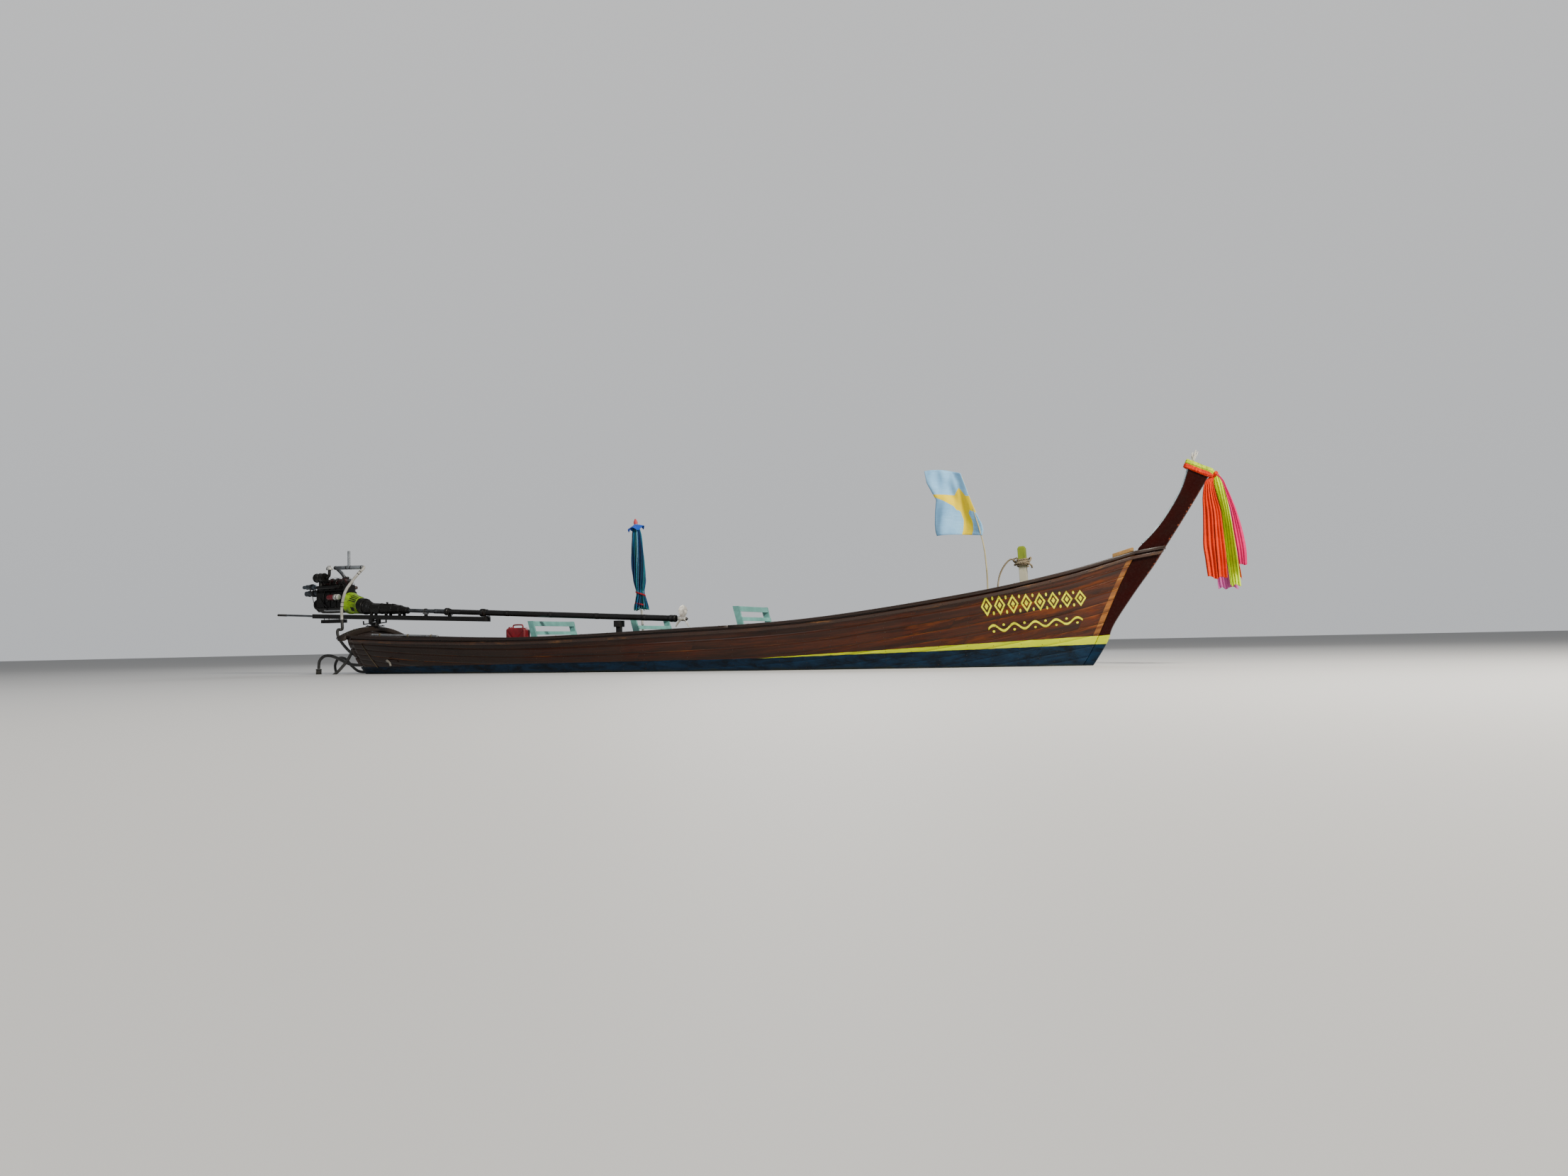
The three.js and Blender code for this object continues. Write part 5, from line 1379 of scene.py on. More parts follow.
# Mooring post. A squared post stepped through the foredeck, its head painted lime and its foot once
# too, with turns of rope and a hitch pulled tight round it.
post_paint = brushed_paint("post_paint", (0.26, 0.35, 0.02), (0.12, 0.085, 0.045), 0.9, "Z")
post_shade, post_was, post_place = reopened(post_paint)
post_foot = step_up(axes_of(post_place)["Z"], 1.24, 1.27, 1, 0) * dirt_on(post_place, 9.0, 0.6)[0]
feed(post_shade, {"Base Color": mix(post_foot, post_was, (0.48, 0.47, 0.36))})
dressed(softened("bitt", "mooring_post", 0.006, 3), post_paint, "hull", "yellow_green_paint", "bitt")
BITT_AT, BITT_LEAN = Vector((4.69, 0, 0.9)), radians(-2.5)


def on_post(x, y, z):
    """A point in the post's own frame, set in the boat's."""
    return Matrix.Rotation(BITT_LEAN, 3, "Y") @ Vector((x, y, z)) + BITT_AT


def round_post(turns, low, rise, half=0.049, off=0.0125):
    """A rope's middle line round the square post."""
    line = []
    for k in range(round(turns * 48) + 1):
        a = tau * k / 48
        reach = half + off
        square = reach / max(abs(cos(a)), abs(sin(a)))
        r = min(square, reach * 1.17)
        line.append(on_post(r * cos(a), r * sin(a), low + rise * k / 48))
    return line


turn_path = evenly(round_post(4.6, 0.352, 0.0235), 0.008)[0]
turns = laid_rope("post_turns", turn_path, 0.024, 3.4)
hitch_line = [on_post(*p) for p in ((0.068, -0.05, 0.375), (0.095, -0.058, 0.405), (0.112, -0.03, 0.44),
    (0.1, 0.02, 0.462), (0.074, 0.062, 0.452), (0.02, 0.09, 0.432), (-0.04, 0.088, 0.41),
    (-0.085, 0.05, 0.392), (-0.098, -0.01, 0.38), (-0.08, -0.068, 0.388), (-0.02, -0.098, 0.402),
    (0.045, -0.102, 0.4), (0.095, -0.078, 0.378), (0.118, -0.045, 0.352), (0.116, -0.02, 0.33))]
hitch = laid_rope("post_hitch", smooth(hitch_line, 0.008), 0.024, 3.4)
knot_line = [on_post(*p) for p in ((-0.06, -0.02, 0.47), (-0.085, -0.015, 0.462), (-0.11, -0.005, 0.455),
    (-0.118, 0.014, 0.44), (-0.106, 0.026, 0.422), (-0.088, 0.018, 0.412), (-0.082, -0.006, 0.418),
    (-0.094, -0.024, 0.434), (-0.112, -0.028, 0.448), (-0.122, -0.01, 0.452))]
knot = laid_rope("post_knot", smooth(knot_line, 0.007), 0.022, 3.4)
dressed(joined("post_rope", [turns, hitch, knot]), rope_fibre, "hull", "rope", "bitt_rope")


# Breasthook. A short block of pale wood nailed across the caps, behind the prow board.
breasthook = softened("breasthook", "breasthook_block", 0.006, 3)
dressed(breasthook, timber_finish("pale_wood", (0.24, 0.12, 0.03), (0.5, 0.29, 0.085), "Y", 0.6, False,
    0.3), "hull", "bare_wood", "breasthook")


# Flag pole. A thin cane 20 mm across, lashed through the foredeck, bent aft by the wind.
CANE_RADIUS, CANE_JOINT = 0.01, 0.27
pole_route = [(4.222, 0, 0.8516), (4.212, 0, 1.25), (4.185, 0, 1.53), (4.155, 0, 1.67), (4.05, 0, 2.05),
    (3.919, 0, 2.455)]
pole_path = smooth(pole_route, 0.015)


def cane_radius(s):
    """Radius of the cane, swollen at its joints and thinner toward the top."""
    swell = 0.0022 * exp(-((s % CANE_JOINT - 0.1) / 0.008) ** 2)
    return CANE_RADIUS * (1 - 0.16 * s) + swell


cane = tube("flag_cane", pole_path, cane_radius, 12)
dressed(cane, timber_finish("cane", (0.38, 0.32, 0.15), (0.62, 0.56, 0.32), "Z", 0.5, False, 0.2), "hull",
    "bare_wood", "flag_pole")


# Flag. Thin light blue cloth, hemmed, with a yellow cross of flared arms sewn on, slack in a breeze.
FLAG_ROWS, FLAG_COLUMNS = 44, 40
# x and z of its two upright edges, from the top down: share of the height, the pole's edge, the fly
FLAG_EDGES = [(0, 3.907, 2.494, 3.432, 2.552), (0.18, 3.963, 2.343, 3.462, 2.395),
    (0.34, 4.005, 2.212, 3.534, 2.25), (0.48, 4.06, 2.064, 3.578, 2.165), (0.66, 4.12, 1.922, 3.556, 2.014),
    (0.82, 4.171, 1.821, 3.548, 1.851), (0.92, 4.187, 1.74, 3.556, 1.757), (1, 4.169, 1.675, 3.576, 1.697)]


def flag_point(t, k):
    """A point of the flag: t from the pole to the fly, k from the top edge down."""
    px, pz, fx, fz = row_at(FLAG_EDGES, k)
    point = Vector((px, 0, pz)).lerp(Vector((fx, 0, fz)), t)
    wave = 0.045 * sin(t * 5 + 0.6 * k) + 0.03 * sin(3 * k * t)
    ripple = 0.016 * sin(9 * t + 5 * k + 1.2 * sin(4 * k)) + 0.007 * sin(21 * t - 8 * k)
    point.y += (wave + ripple) * min(1, t * 4) - 0.012 * (1 - t) ** 6
    point.z += 0.03 * sin(pi * t) * (1 - k) ** 3 + 0.018 * sin(pi * t) * k ** 3
    return point


def thickened(piece, thick):
    """The piece with a body on both sides of its sheet."""
    solid = piece.modifiers.new("body", "SOLIDIFY")
    solid.thickness, solid.offset = thick, 0
    return baked(piece)


def cloth_grid(name, point, rows, columns, thick):
    """A sheet from a function of its two shares, given a thin body. UV holds the shares."""
    corners = [point(c / columns, r / rows) for r in range(rows + 1) for c in range(columns + 1)]
    faces, uvs = [], []
    for r in range(rows):
        for c in range(columns):
            quad = [(r, c), (r + 1, c), (r + 1, c + 1), (r, c + 1)]
            faces.append(tuple(a * (columns + 1) + b for a, b in quad))
            uvs += [(b / columns, a / rows) for a, b in quad]
    return thickened(new_piece(name, corners, faces, uvs), thick)


def baked(piece):
    """The piece with its modifiers made part of its mesh."""
    bpy.context.view_layer.update()
    mesh = bpy.data.meshes.new_from_object(piece.evaluated_get(bpy.context.evaluated_depsgraph_get()))
    piece.modifiers.clear()
    piece.data = mesh
    return piece


# Fine plain weave, for every cloth
weave, g_in, g_out = group_of("weave", [("Vector", "Vector", None), ("Threads", "Float", 900.0)],
    [("Height", "Float"), ("Slub", "Float")])
w_axes = axes_of(g_in["Vector"])
w_warp, w_weft = (maths("SINE", w_axes[k] * g_in["Threads"]) for k in ("X", "Y"))
weave.links.new(w_warp * w_weft, g_out["Height"])
w_slub = noise(scaled(g_in["Vector"], (6, 90, 6)), 1, 3)
weave.links.new(w_slub, g_out["Slub"])


def cloth_finish(name, colour, dark, size, sheen=0.3, pattern=None, glow=0.0):
    """Thin dyed cloth. size is the cut's width and length, so that the weave keeps its scale."""
    material, shade, place = shader(name)
    flat = put(place.id_data, "Mapping",
        {"Vector": uv_of(place), "Scale": (size[0], size[1], 1)}).outputs["Vector"]
    threads = use_group(weave, {"Vector": flat, "Threads": 2800.0})
    dirt = dirt_on(place, 2.6, 0.34)[0]
    tone = mix(step_up(threads["Slub"], 0.3, 0.7), colour, tuple(c * 0.86 for c in colour))
    tone = mix(dirt * 0.5, tone, dark)
    if pattern:
        tone = pattern(place, tone, threads)
    feed(shade, {"Base Color": tone, "Roughness": step_up(threads["Slub"], 0.3, 0.7, 0.62, 0.85),
        "Sheen Weight": sheen, "Specular IOR Level": 0.15, "Subsurface Weight": glow,
        "Subsurface Radius": (0.02, 0.02, 0.02)})
    bump(shade, threads["Height"] + threads["Slub"] * 1.5, 0.35, 0.0006)
    return material


FLAG_CUT = 0.54, 0.8


def flag_pattern(place, tone, threads):
    """Yellow cross of four unequal arms: the top one ends in a point, the others run to the hems."""
    axes = axes_of(uv_of(place))
    across, down = axes["X"], axes["Y"]
    middle = line_at(down, [(0.24, 0.22), (0.5, 0.33), (0.75, 0.29), (1, 0.36)])
    half = line_at(down, [(0.24, 0.0), (0.36, 0.16), (0.58, 0.15), (0.62, 0.1), (1, 0.11)])
    upright = (down > 0.24) * (abs(across - middle) < half)
    low = line_at(across, [(0, 0.6), (0.15, 0.57), (0.5, 0.6), (0.56, 0.54), (1, 0.42)])
    level = (down > 0.36) * (down < low)
    yellow = mix(threads["Slub"], (0.98, 0.76, 0.0), (0.88, 0.64, 0.0))
    return mix(maths("MAXIMUM", upright, level), tone, yellow)


flag = cloth_grid("flag_cloth", flag_point, FLAG_ROWS, FLAG_COLUMNS, 0.0012)
dressed(flag, cloth_finish("flag_blue", (0.3, 0.62, 0.94), (0.12, 0.33, 0.6), FLAG_CUT, 0.2, flag_pattern,
    0.1), "hull", "blue_cloth", "flag")


# Cloths at the tip of the prow. Thin bright polyester lengths, knotted round the tip and left to
# hang in loose pleats in front of it: orange, lime and pink, and lilac under the orange.
def smooth_rows(rows, count):
    """Rows of numbers, each column smoothed over more rows."""
    given = np.array(rows)
    at = np.linspace(0, len(given) - 1, count)
    out = np.empty((count, given.shape[1]))
    padded = np.vstack([2 * given[0] - given[1], given, 2 * given[-1] - given[-2]])
    for n, t in enumerate(at):
        i = min(int(t), len(given) - 2)
        f = t - i
        p0, p1, p2, p3 = padded[i:i + 4]
        m1, m2 = (p2 - p0) / 2, (p3 - p1) / 2
        out[n] = (2 * p1 - 2 * p2 + m1 + m2) * f ** 3 + (3 * p2 - 3 * p1 - 2 * m1
            - m2) * f ** 2 + m1 * f + p1
    return out


def hanging_cloth(name, rows, folds, depth, phase, seed, columns=120, steps=110, thick=0.0009):
    """A pleated strip. rows: left x, right x, y, height, from the knot down."""
    draws = random.Random(seed)
    line = smooth_rows(rows, steps + 1)
    widths = [1 + draws.uniform(-0.45, 0.45) for _ in range(folds)]
    marks = np.concatenate([[0], np.cumsum(widths)]) / sum(widths)
    depths = [depth * draws.uniform(0.55, 1.25) for _ in range(folds)]
    drifts = [draws.uniform(-1, 1) for _ in range(folds)]
    hem = [draws.uniform(-0.022, 0.022) for _ in range(folds + 1)]

    def point(c, k):
        x0, x1, y, z = line[min(round(k * steps), steps)]
        n = min(int(np.searchsorted(marks, c, side="right")) - 1, folds - 1)
        f = (c - marks[n]) / (marks[n + 1] - marks[n])
        open_up = min(1.0, 0.25 + 1.3 * k)
        wave = sin(tau * f + 0.9 * sin(3.1 * k + phase + n))
        swell = 0.25 * sin(5.3 * k + 2.1 * n + phase)
        out = depths[n] * open_up * (wave + swell) * sin(pi * min(max(f, 0.02), 0.98)) ** 0.35
        lean = 0.01 * drifts[n] * k * sin(pi * f)
        edge = np.interp(c, marks, hem) * k ** 6
        return Vector((x0 + (x1 - x0) * c + lean, y + out, z + edge + 0.006 * sin(9 * c + phase) * k))

    return cloth_grid(name, point, steps, columns, thick)


def sheet_area(piece):
    """The area of a thin piece's sheet, counted on one side."""
    return sum(f.area for f in piece.data.polygons) / 2


def hung_sheet(piece, colour, dark, length, finish, node=None):
    """Dresses a hanging cloth in its dye, its flat width measured along its pleats."""
    width = round(sheet_area(piece) / length, 2)
    dressed(piece, cloth_finish(piece.name + "_dye", colour, dark, (width, length), sheen=0.04, glow=0.12),
        "hull", finish, node)


orange = hanging_cloth("cloth_orange", [(6.94, 6.985, -0.02, 2.245), (6.866, 6.966, -0.032, 2.15),
    (6.838, 6.992, -0.034, 1.99), (6.836, 7.034, -0.032, 1.81), (6.83, 7.054, -0.03, 1.59),
    (6.825, 7.07, -0.03, 1.41), (6.842, 7.078, -0.03, 1.25), (6.864, 7.084, -0.03, 1.03)], 6, 0.026, 0.4,
    11)
hung_sheet(orange, (0.82, 0.045, 0.0), (0.44, 0.014, 0.0), 1.22, "orange_cloth", node="sash_orange")
orange_under = hanging_cloth("cloth_orange_under", [(6.965, 6.99, 0.05, 2.24), (7.0, 7.06, 0.058, 1.9),
    (7.06, 7.16, 0.058, 1.5), (7.11, 7.215, 0.058, 1.2), (7.15, 7.244, 0.058, 1.0)], 4, 0.012, 1.4, 12, 70,
    90)
hung_sheet(orange_under, (0.8, 0.06, 0.0), (0.44, 0.02, 0.0), 1.27, "orange_cloth")
green = hanging_cloth("cloth_lime", [(6.978, 7.018, -0.014, 2.275), (6.97, 7.074, -0.006, 2.17),
    (6.994, 7.1, 0.0, 2.04), (7.04, 7.132, 0.012, 1.82), (7.058, 7.166, 0.02, 1.59),
    (7.074, 7.192, 0.024, 1.36), (7.087, 7.208, 0.024, 1.19), (7.112, 7.23, 0.024, 0.93)], 4, 0.017, 2.0,
    21, 100)
hung_sheet(green, (0.64, 0.84, 0.0), (0.32, 0.48, 0.0), 1.36, "green_cloth", node="sash_green")
pink = hanging_cloth("cloth_pink", [(7.0, 7.02, -0.052, 2.255), (7.052, 7.08, -0.066, 2.17),
    (7.082, 7.114, -0.074, 2.08), (7.108, 7.16, -0.08, 1.96), (7.142, 7.212, -0.085, 1.8),
    (7.168, 7.268, -0.085, 1.57), (7.196, 7.302, -0.085, 1.35), (7.218, 7.306, -0.085, 1.165)], 3, 0.014,
    3.1, 31, 80)
hung_sheet(pink, (0.72, 0.01, 0.15), (0.4, 0.004, 0.08), 1.13, "pink_cloth", node="sash_pink")
lilac = hanging_cloth("cloth_lilac", [(6.96, 6.985, 0.07, 2.22), (6.95, 7.04, 0.088, 1.8),
    (6.95, 7.11, 0.088, 1.3), (6.965, 7.17, 0.088, 1.0), (6.975, 7.2, 0.088, 0.9)], 5, 0.01, 0.9, 41, 90)
hung_sheet(lilac, (0.56, 0.11, 0.36), (0.3, 0.05, 0.19), 1.31, "pink_cloth")
# The turns round the tip, twisted, and the knot at its front corner
BAND_BACK, BAND_FRONT = Vector((6.664, 0, 2.402)), Vector((6.968, 0, 2.252))


def band_turn(name, lift, width, thick, seed):
    """One turn of folded cloth round the board's tip."""
    draws = random.Random(seed)
    phases = [draws.uniform(0, 6.28) for _ in range(4)]
    ahead_way = (BAND_FRONT - BAND_BACK).normalized()
    up_way = Vector((-ahead_way.z, 0, ahead_way.x)) * (1 if ahead_way.x > 0 else -1)
    rings, count = [], 26
    for k in range(72):
        a = tau * k / 72
        half_long, half_wide = (BAND_FRONT - BAND_BACK).length / 2 + 0.004, PROW_HALF + 0.007
        c, s = cos(a), sin(a)
        power = 0.42
        middle = (BAND_BACK + BAND_FRONT) / 2 + ahead_way * (half_long * copysign(abs(c) ** power, c))
        middle += Vector((0, half_wide * copysign(abs(s) ** power, s), 0))
        middle += up_way * (lift * (1 - 0.75 * max(0, c) ** 3))
        outward = (ahead_way * (c * half_wide) + Vector((0, s * half_long, 0))).normalized()
        ring = []
        for i in range(count):
            b = tau * i / count
            fold = 1 + 0.2 * sin(5 * b + 2.2 * a + phases[0]) + 0.1 * sin(9 * b - 3 * a + phases[1])
            squeeze = 1 - 0.45 * max(0, c) ** 6
            ring.append(middle + up_way * (width / 2 * cos(b) * fold * squeeze) + outward
                * (thick / 2 * (1 + sin(b) * fold)))
        rings.append(ring)
    return welded(skin_over(name, rings + [rings[0]], caps=False), 1e-05)


def lump(name, middle, reach, seed, turn):
    """A knot: a rounded body with the folds of cloth pulled round it."""
    draws = random.Random(seed)
    phase = [draws.uniform(0, 6.28) for _ in range(3)]
    rings = []
    for r in range(1, 20):
        t = pi * r / 20
        ring = []
        for i in range(40):
            a = tau * i / 40
            fold = 1 + 0.13 * sin(6 * a + 3 * t + phase[0]) * sin(t) + 0.07 * sin(11 * a - 2 * t + phase[1])
            ring.append(Vector(middle) + Matrix.Rotation(turn, 3, "Y") @ Vector((reach[0] * sin(t) * cos(a)
                * fold, reach[1] * sin(t) * sin(a) * fold, reach[2] * cos(t))))
        rings.append(ring)
    return faced_out(skin_over(name, rings))


def plain_cloth(name, colour, dark):
    """Cloth on a piece with no cut of its own, such as a knot."""
    material, shade, place = shader(name)
    folds = noise(stretched(place, (60, 60, 25)), 1.0, 4, 0.6)
    dirt = dirt_on(place, 9.0, 0.3)[0]
    tone = mix(step_up(folds, 0.35, 0.65), colour, dark)
    feed(shade, {"Base Color": mix(dirt * 0.4, tone, dark),
        "Roughness": step_up(folds, 0.3, 0.7, 0.6, 0.85), "Specular IOR Level": 0.15})
    bump(shade, folds, 0.5, 0.003)
    return material


lime_turn = band_turn("band_lime", 0.03, 0.052, 0.017, 51)
dressed(lime_turn, plain_cloth("lime_wrap", (0.56, 0.74, 0.015), (0.3, 0.42, 0.01)), "hull", "green_cloth",
    "sash_band")
orange_turn = band_turn("band_orange", -0.018, 0.056, 0.016, 52)
dressed(orange_turn, plain_cloth("orange_wrap", (0.8, 0.045, 0.0), (0.36, 0.014, 0.01)), "hull",
    "orange_cloth")
tip_knot = lump("tip_knot", (6.992, -0.006, 2.258), (0.028, 0.052, 0.036), 53, 0.5)
dressed(tip_knot, plain_cloth("knot_wrap", (0.78, 0.045, 0.0), (0.4, 0.014, 0.0)), "hull", "orange_cloth")
tuft_cloth = plain_cloth("white_twine", (0.78, 0.77, 0.72), (0.52, 0.5, 0.44))
tuft_strands = []
for n in range(9):
    draws = random.Random(60 + n)
    root = Vector((6.742 + draws.uniform(-0.012, 0.012), draws.uniform(-0.012, 0.012), 2.43))
    tip = root + Vector((draws.uniform(-0.015, 0.055), draws.uniform(-0.03, 0.03),
        draws.uniform(0.085, 0.135)))
    bow = (root + tip) / 2 + Vector((draws.uniform(-0.02, 0.012), draws.uniform(-0.012, 0.012), 0.012))
    tuft_strands.append(tube("strand", smooth([root, bow, tip], 0.006), 0.0052, 8))
dressed(joined("tip_tuft", tuft_strands), tuft_cloth, "hull", "rope")


# Parasol. A beach parasol on a white pole, folded shut and twisted: blue, teal and navy gores, a
# small bright blue cap with a red button, and a red strap wound round it near the hem.
PARASOL_AT, PARASOL_LEAN = Vector((-0.812, 0.12, -0.147)), radians(-3.5)


def by_parasol(x, y, z):
    """A point in the parasol's own frame, set in the boat's."""
    return Matrix.Rotation(PARASOL_LEAN, 3, "Y") @ Vector((x, y, z)) + PARASOL_AT


def turned_piece(name, profile, place, sides=24, wave=None):
    """A turned piece: rows of radius and height, closed at both ends."""
    rings = []
    for r, z in profile:
        rings.append([])
        for a in (tau * i / sides for i in range(sides)):
            q = r * (wave(a, z) if wave else 1)
            rings[-1].append(place(q * cos(a), q * sin(a), z))
    return faced_out(skin_over(name, rings))


def plastic_finish(name, colour, dark, gloss=0.35, scale=8.0, coat=0.2):
    """Moulded or painted plastic with scuffs and dirt in its corners."""
    material, shade, place = shader(name)
    dirt, fine = dirt_on(place, scale, 0.44)
    tone = mix(dirt * 0.6, colour, dark)
    tone = mix(step_up(fine, 0.6, 0.75, 0, 0.4), tone, dark)
    feed(shade, {"Base Color": tone, "Roughness": step_up(fine, 0.3, 0.8, gloss, gloss + 0.25),
        "Coat Weight": coat})
    bump(shade, fine, 0.15, 0.001)
    return material


white_tube = plastic_finish("white_tube", (0.7, 0.7, 0.67), (0.3, 0.28, 0.23), 0.3)
pole_profile = [(0.0165, 0), (0.017, 0.004), (0.017, 1.0), (0.0175, 1.002), (0.0175, 1.03), (0.0155, 1.034),
    (0.0155, 2.262), (0.026, 2.27), (0.027, 2.276)]
pole = turned_piece("parasol_stick", pole_profile, by_parasol, 20)
dressed(pole, white_tube, "hull", "white_tube", "parasol_pole")
button = turned_piece("parasol_button", [(0.012, 2.262), (0.026, 2.27), (0.03, 2.292), (0.027, 2.312),
    (0.016, 2.338), (0.01, 2.348), (0.002, 2.352)], by_parasol)
dressed(button, plastic_finish("button_red", (0.7, 0.06, 0.075), (0.3, 0.03, 0.035)), "hull", "red_plastic")
GORES, CANOPY_STEPS, CANOPY_ROUND = 16, 120, 384
canopy_shape = [(1.02, 0.112), (1.08, 0.104), (1.15, 0.086), (1.24, 0.062), (1.28, 0.058), (1.33, 0.068),
    (1.45, 0.092), (1.62, 0.099), (1.8, 0.092), (1.99, 0.08), (2.12, 0.068), (2.2, 0.052), (2.255, 0.03)]


def canopy_point(share, down):
    """A point of the folded canopy: share round it, down from the cap to the hem."""
    z = 2.255 + (1.02 - 2.255) * down
    reach = row_at(canopy_shape, z)[0]
    twist = 1.15 * (1 - down) + 0.15 * sin(4 * down)
    a = tau * share + twist
    fold = sin(GORES * pi * share) ** 2
    deep = 0.55 * min(1, 0.35 + 1.6 * down) * (1 - 0.75 * exp(-((z - 1.275) / 0.035) ** 2))
    sway = 1 + 0.05 * sin(3 * a + 7 * down) + 0.04 * sin(5 * a - 11 * down)
    r = max(0.0205, reach * sway * (1 - deep * (1 - fold)))
    curl = 0.11 * sin(2 * GORES * pi * share) * min(1, 2 * down)
    drop = -0.02 * (1 - fold) * down ** 8 + 0.01 * sin(5 * a) * down ** 8
    return by_parasol(r * cos(a + curl), r * sin(a + curl), z - drop)


canopy_rows = [[canopy_point(i / CANOPY_ROUND, k / CANOPY_STEPS) for i in range(CANOPY_ROUND)]
    for k in range(CANOPY_STEPS + 1)]
canopy = thickened(skin_over("canopy_cloth", canopy_rows, caps=False,
    along=[1.235 * k / CANOPY_STEPS for k in range(CANOPY_STEPS + 1)]), 0.0012)


def gore_pattern(place, tone, threads):
    """Narrow stripes of navy, blue, teal, green and pale blue, from cap to hem."""
    around = axes_of(uv_of(place))["Y"]
    stripe = maths("FRACT", around * 4.0)
    ramp = put(place.id_data, "ValToRGB", {"Fac": stripe})
    ramp.color_ramp.interpolation = "CONSTANT"
    tones = [(0, (0.004, 0.012, 0.08)), (0.16, (0.01, 0.13, 0.25)), (0.3, (0.006, 0.05, 0.14)),
        (0.42, (0.008, 0.11, 0.085)), (0.56, (0.02, 0.24, 0.3)), (0.68, (0.23, 0.47, 0.64)),
        (0.8, (0.012, 0.1, 0.27)), (0.9, (0.006, 0.055, 0.06))]
    while len(ramp.color_ramp.elements) < len(tones):
        ramp.color_ramp.elements.new(0.5)
    for element, (at, colour) in zip(ramp.color_ramp.elements, tones):
        element.position = at
        element.color = (*colour, 1)
    hem = axes_of(uv_of(place))["X"]
    tone = mix(step_up(threads["Slub"], 0.3, 0.8, 0, 0.3), ramp.outputs["Color"], (0.02, 0.08, 0.13))
    return mix(step_up(hem, 1.212, 1.216), tone, (0.018, 0.21, 0.23))


CANOPY_LONG = 1.24
dressed(canopy, cloth_finish("parasol_stripes", (0.01, 0.1, 0.2), (0.006, 0.03, 0.06), (1.0, CANOPY_LONG),
    0.2, gore_pattern), "hull", "teal_cloth", "parasol_canopy")


def cap_point(share, down):
    """A point of the small cap cloth that covers the ribs' hub, its corners flying up."""
    a = tau * share
    lobe = cos(4 * a) * 0.5 + 0.5
    reach = 0.022 + (0.088 + 0.02 * lobe) * down
    z = 2.268 - 0.04 * down - 0.055 * down ** 2 * (1 - lobe) + 0.018 * sin(a + 0.7) * down
    return by_parasol(reach * cos(a), reach * sin(a), z)


cap_rows = [[cap_point(i / 96, k / 14) for i in range(96)] for k in range(15)]
cap_cloth = thickened(skin_over("cap_cloth", cap_rows, caps=False,
    along=[0.1 * k / 14 for k in range(15)]), 0.0012)
dressed(cap_cloth, cloth_finish("cap_blue", (0.01, 0.095, 0.62), (0.006, 0.04, 0.26), (0.25, 0.1), 0.2),
    "hull", "blue_cloth")
strap_line = [by_parasol((0.068 + 0.026 * (1 - t) ** 2) * cos(5.6 - 8.2 * t),
    (0.068 + 0.026 * (1 - t) ** 2) * sin(5.6 - 8.2 * t), 1.085 + 0.205 * t) for t in np.linspace(0, 1, 60)]
strap_rings = []
for k, point in enumerate(strap_line):
    out = (point - by_parasol(0, 0, (point - PARASOL_AT).z)).normalized()
    up = Vector((0.1, 0, 1)).normalized()
    strap_rings.append([point + up * a + out * b for a, b in ((-0.011, 0), (0.011, 0), (0.011, 0.002),
        (-0.011, 0.002))])
strap = faced_out(skin_over("parasol_strap", strap_rings))
dressed(strap, plain_cloth("strap_red", (0.42, 0.02, 0.03), (0.2, 0.01, 0.018)), "hull", "red_plastic")


# Fuel can on its crate. A dark red moulded can, its sides stiffened by a pressed cross, on a
# rough softwood crate that is nailed together behind the aft bench.
CAN_AT, CAN_LONG, CAN_WIDE, CAN_TALL = Vector((-2.545, -0.54, 0.25)), 0.33, 0.158, 0.398


def can_half(x, z):
    """Half the can's thickness at a place on its side, with the cross pressed in."""
    across, up = abs(x) / (CAN_LONG / 2), abs(z - 0.19) / 0.19
    cross = min(abs(across - up), 1.0)
    edge = min((1 - across) * CAN_LONG / 2, max(CAN_TALL - z, 0), z)
    groove = 0.005 * exp(-(cross / 0.11) ** 2) if edge > 0.03 else 0
    corner = 0.022 * max(0, 1 - edge / 0.022) ** 2
    return CAN_WIDE / 2 - groove - corner


def fuel_can():
    """The can's two sides over one grid, its top sloped at both ends."""
    rings, columns, rows = [], 66, 78
    for side in (-1, 1):
        for r in range(rows + 1) if side < 0 else range(rows, -1, -1):
            z = CAN_TALL * r / rows
            ring = []
            for c in range(columns + 1):
                x = CAN_LONG * (c / columns - 0.5)
                slope = max(0, abs(x) - 0.118) / 0.047
                top = min(z, CAN_TALL - 0.042 * slope ** 1.2)
                ring.append(CAN_AT + Vector((x, side * can_half(x, top), top)))
            rings.append(ring)
    whole = skin_over("can_body", rings + [rings[0]], loop=False, caps=False)
    work = bmesh.new()
    work.from_mesh(whole.data)
    bmesh.ops.remove_doubles(work, verts=work.verts, dist=1e-05)
    loose = [e for e in work.edges if len(e.link_faces) == 1]
    bmesh.ops.holes_fill(work, edges=loose, sides=0)
    bmesh.ops.recalc_face_normals(work, faces=work.faces)
    work.to_mesh(whole.data)
    work.free()
    return whole


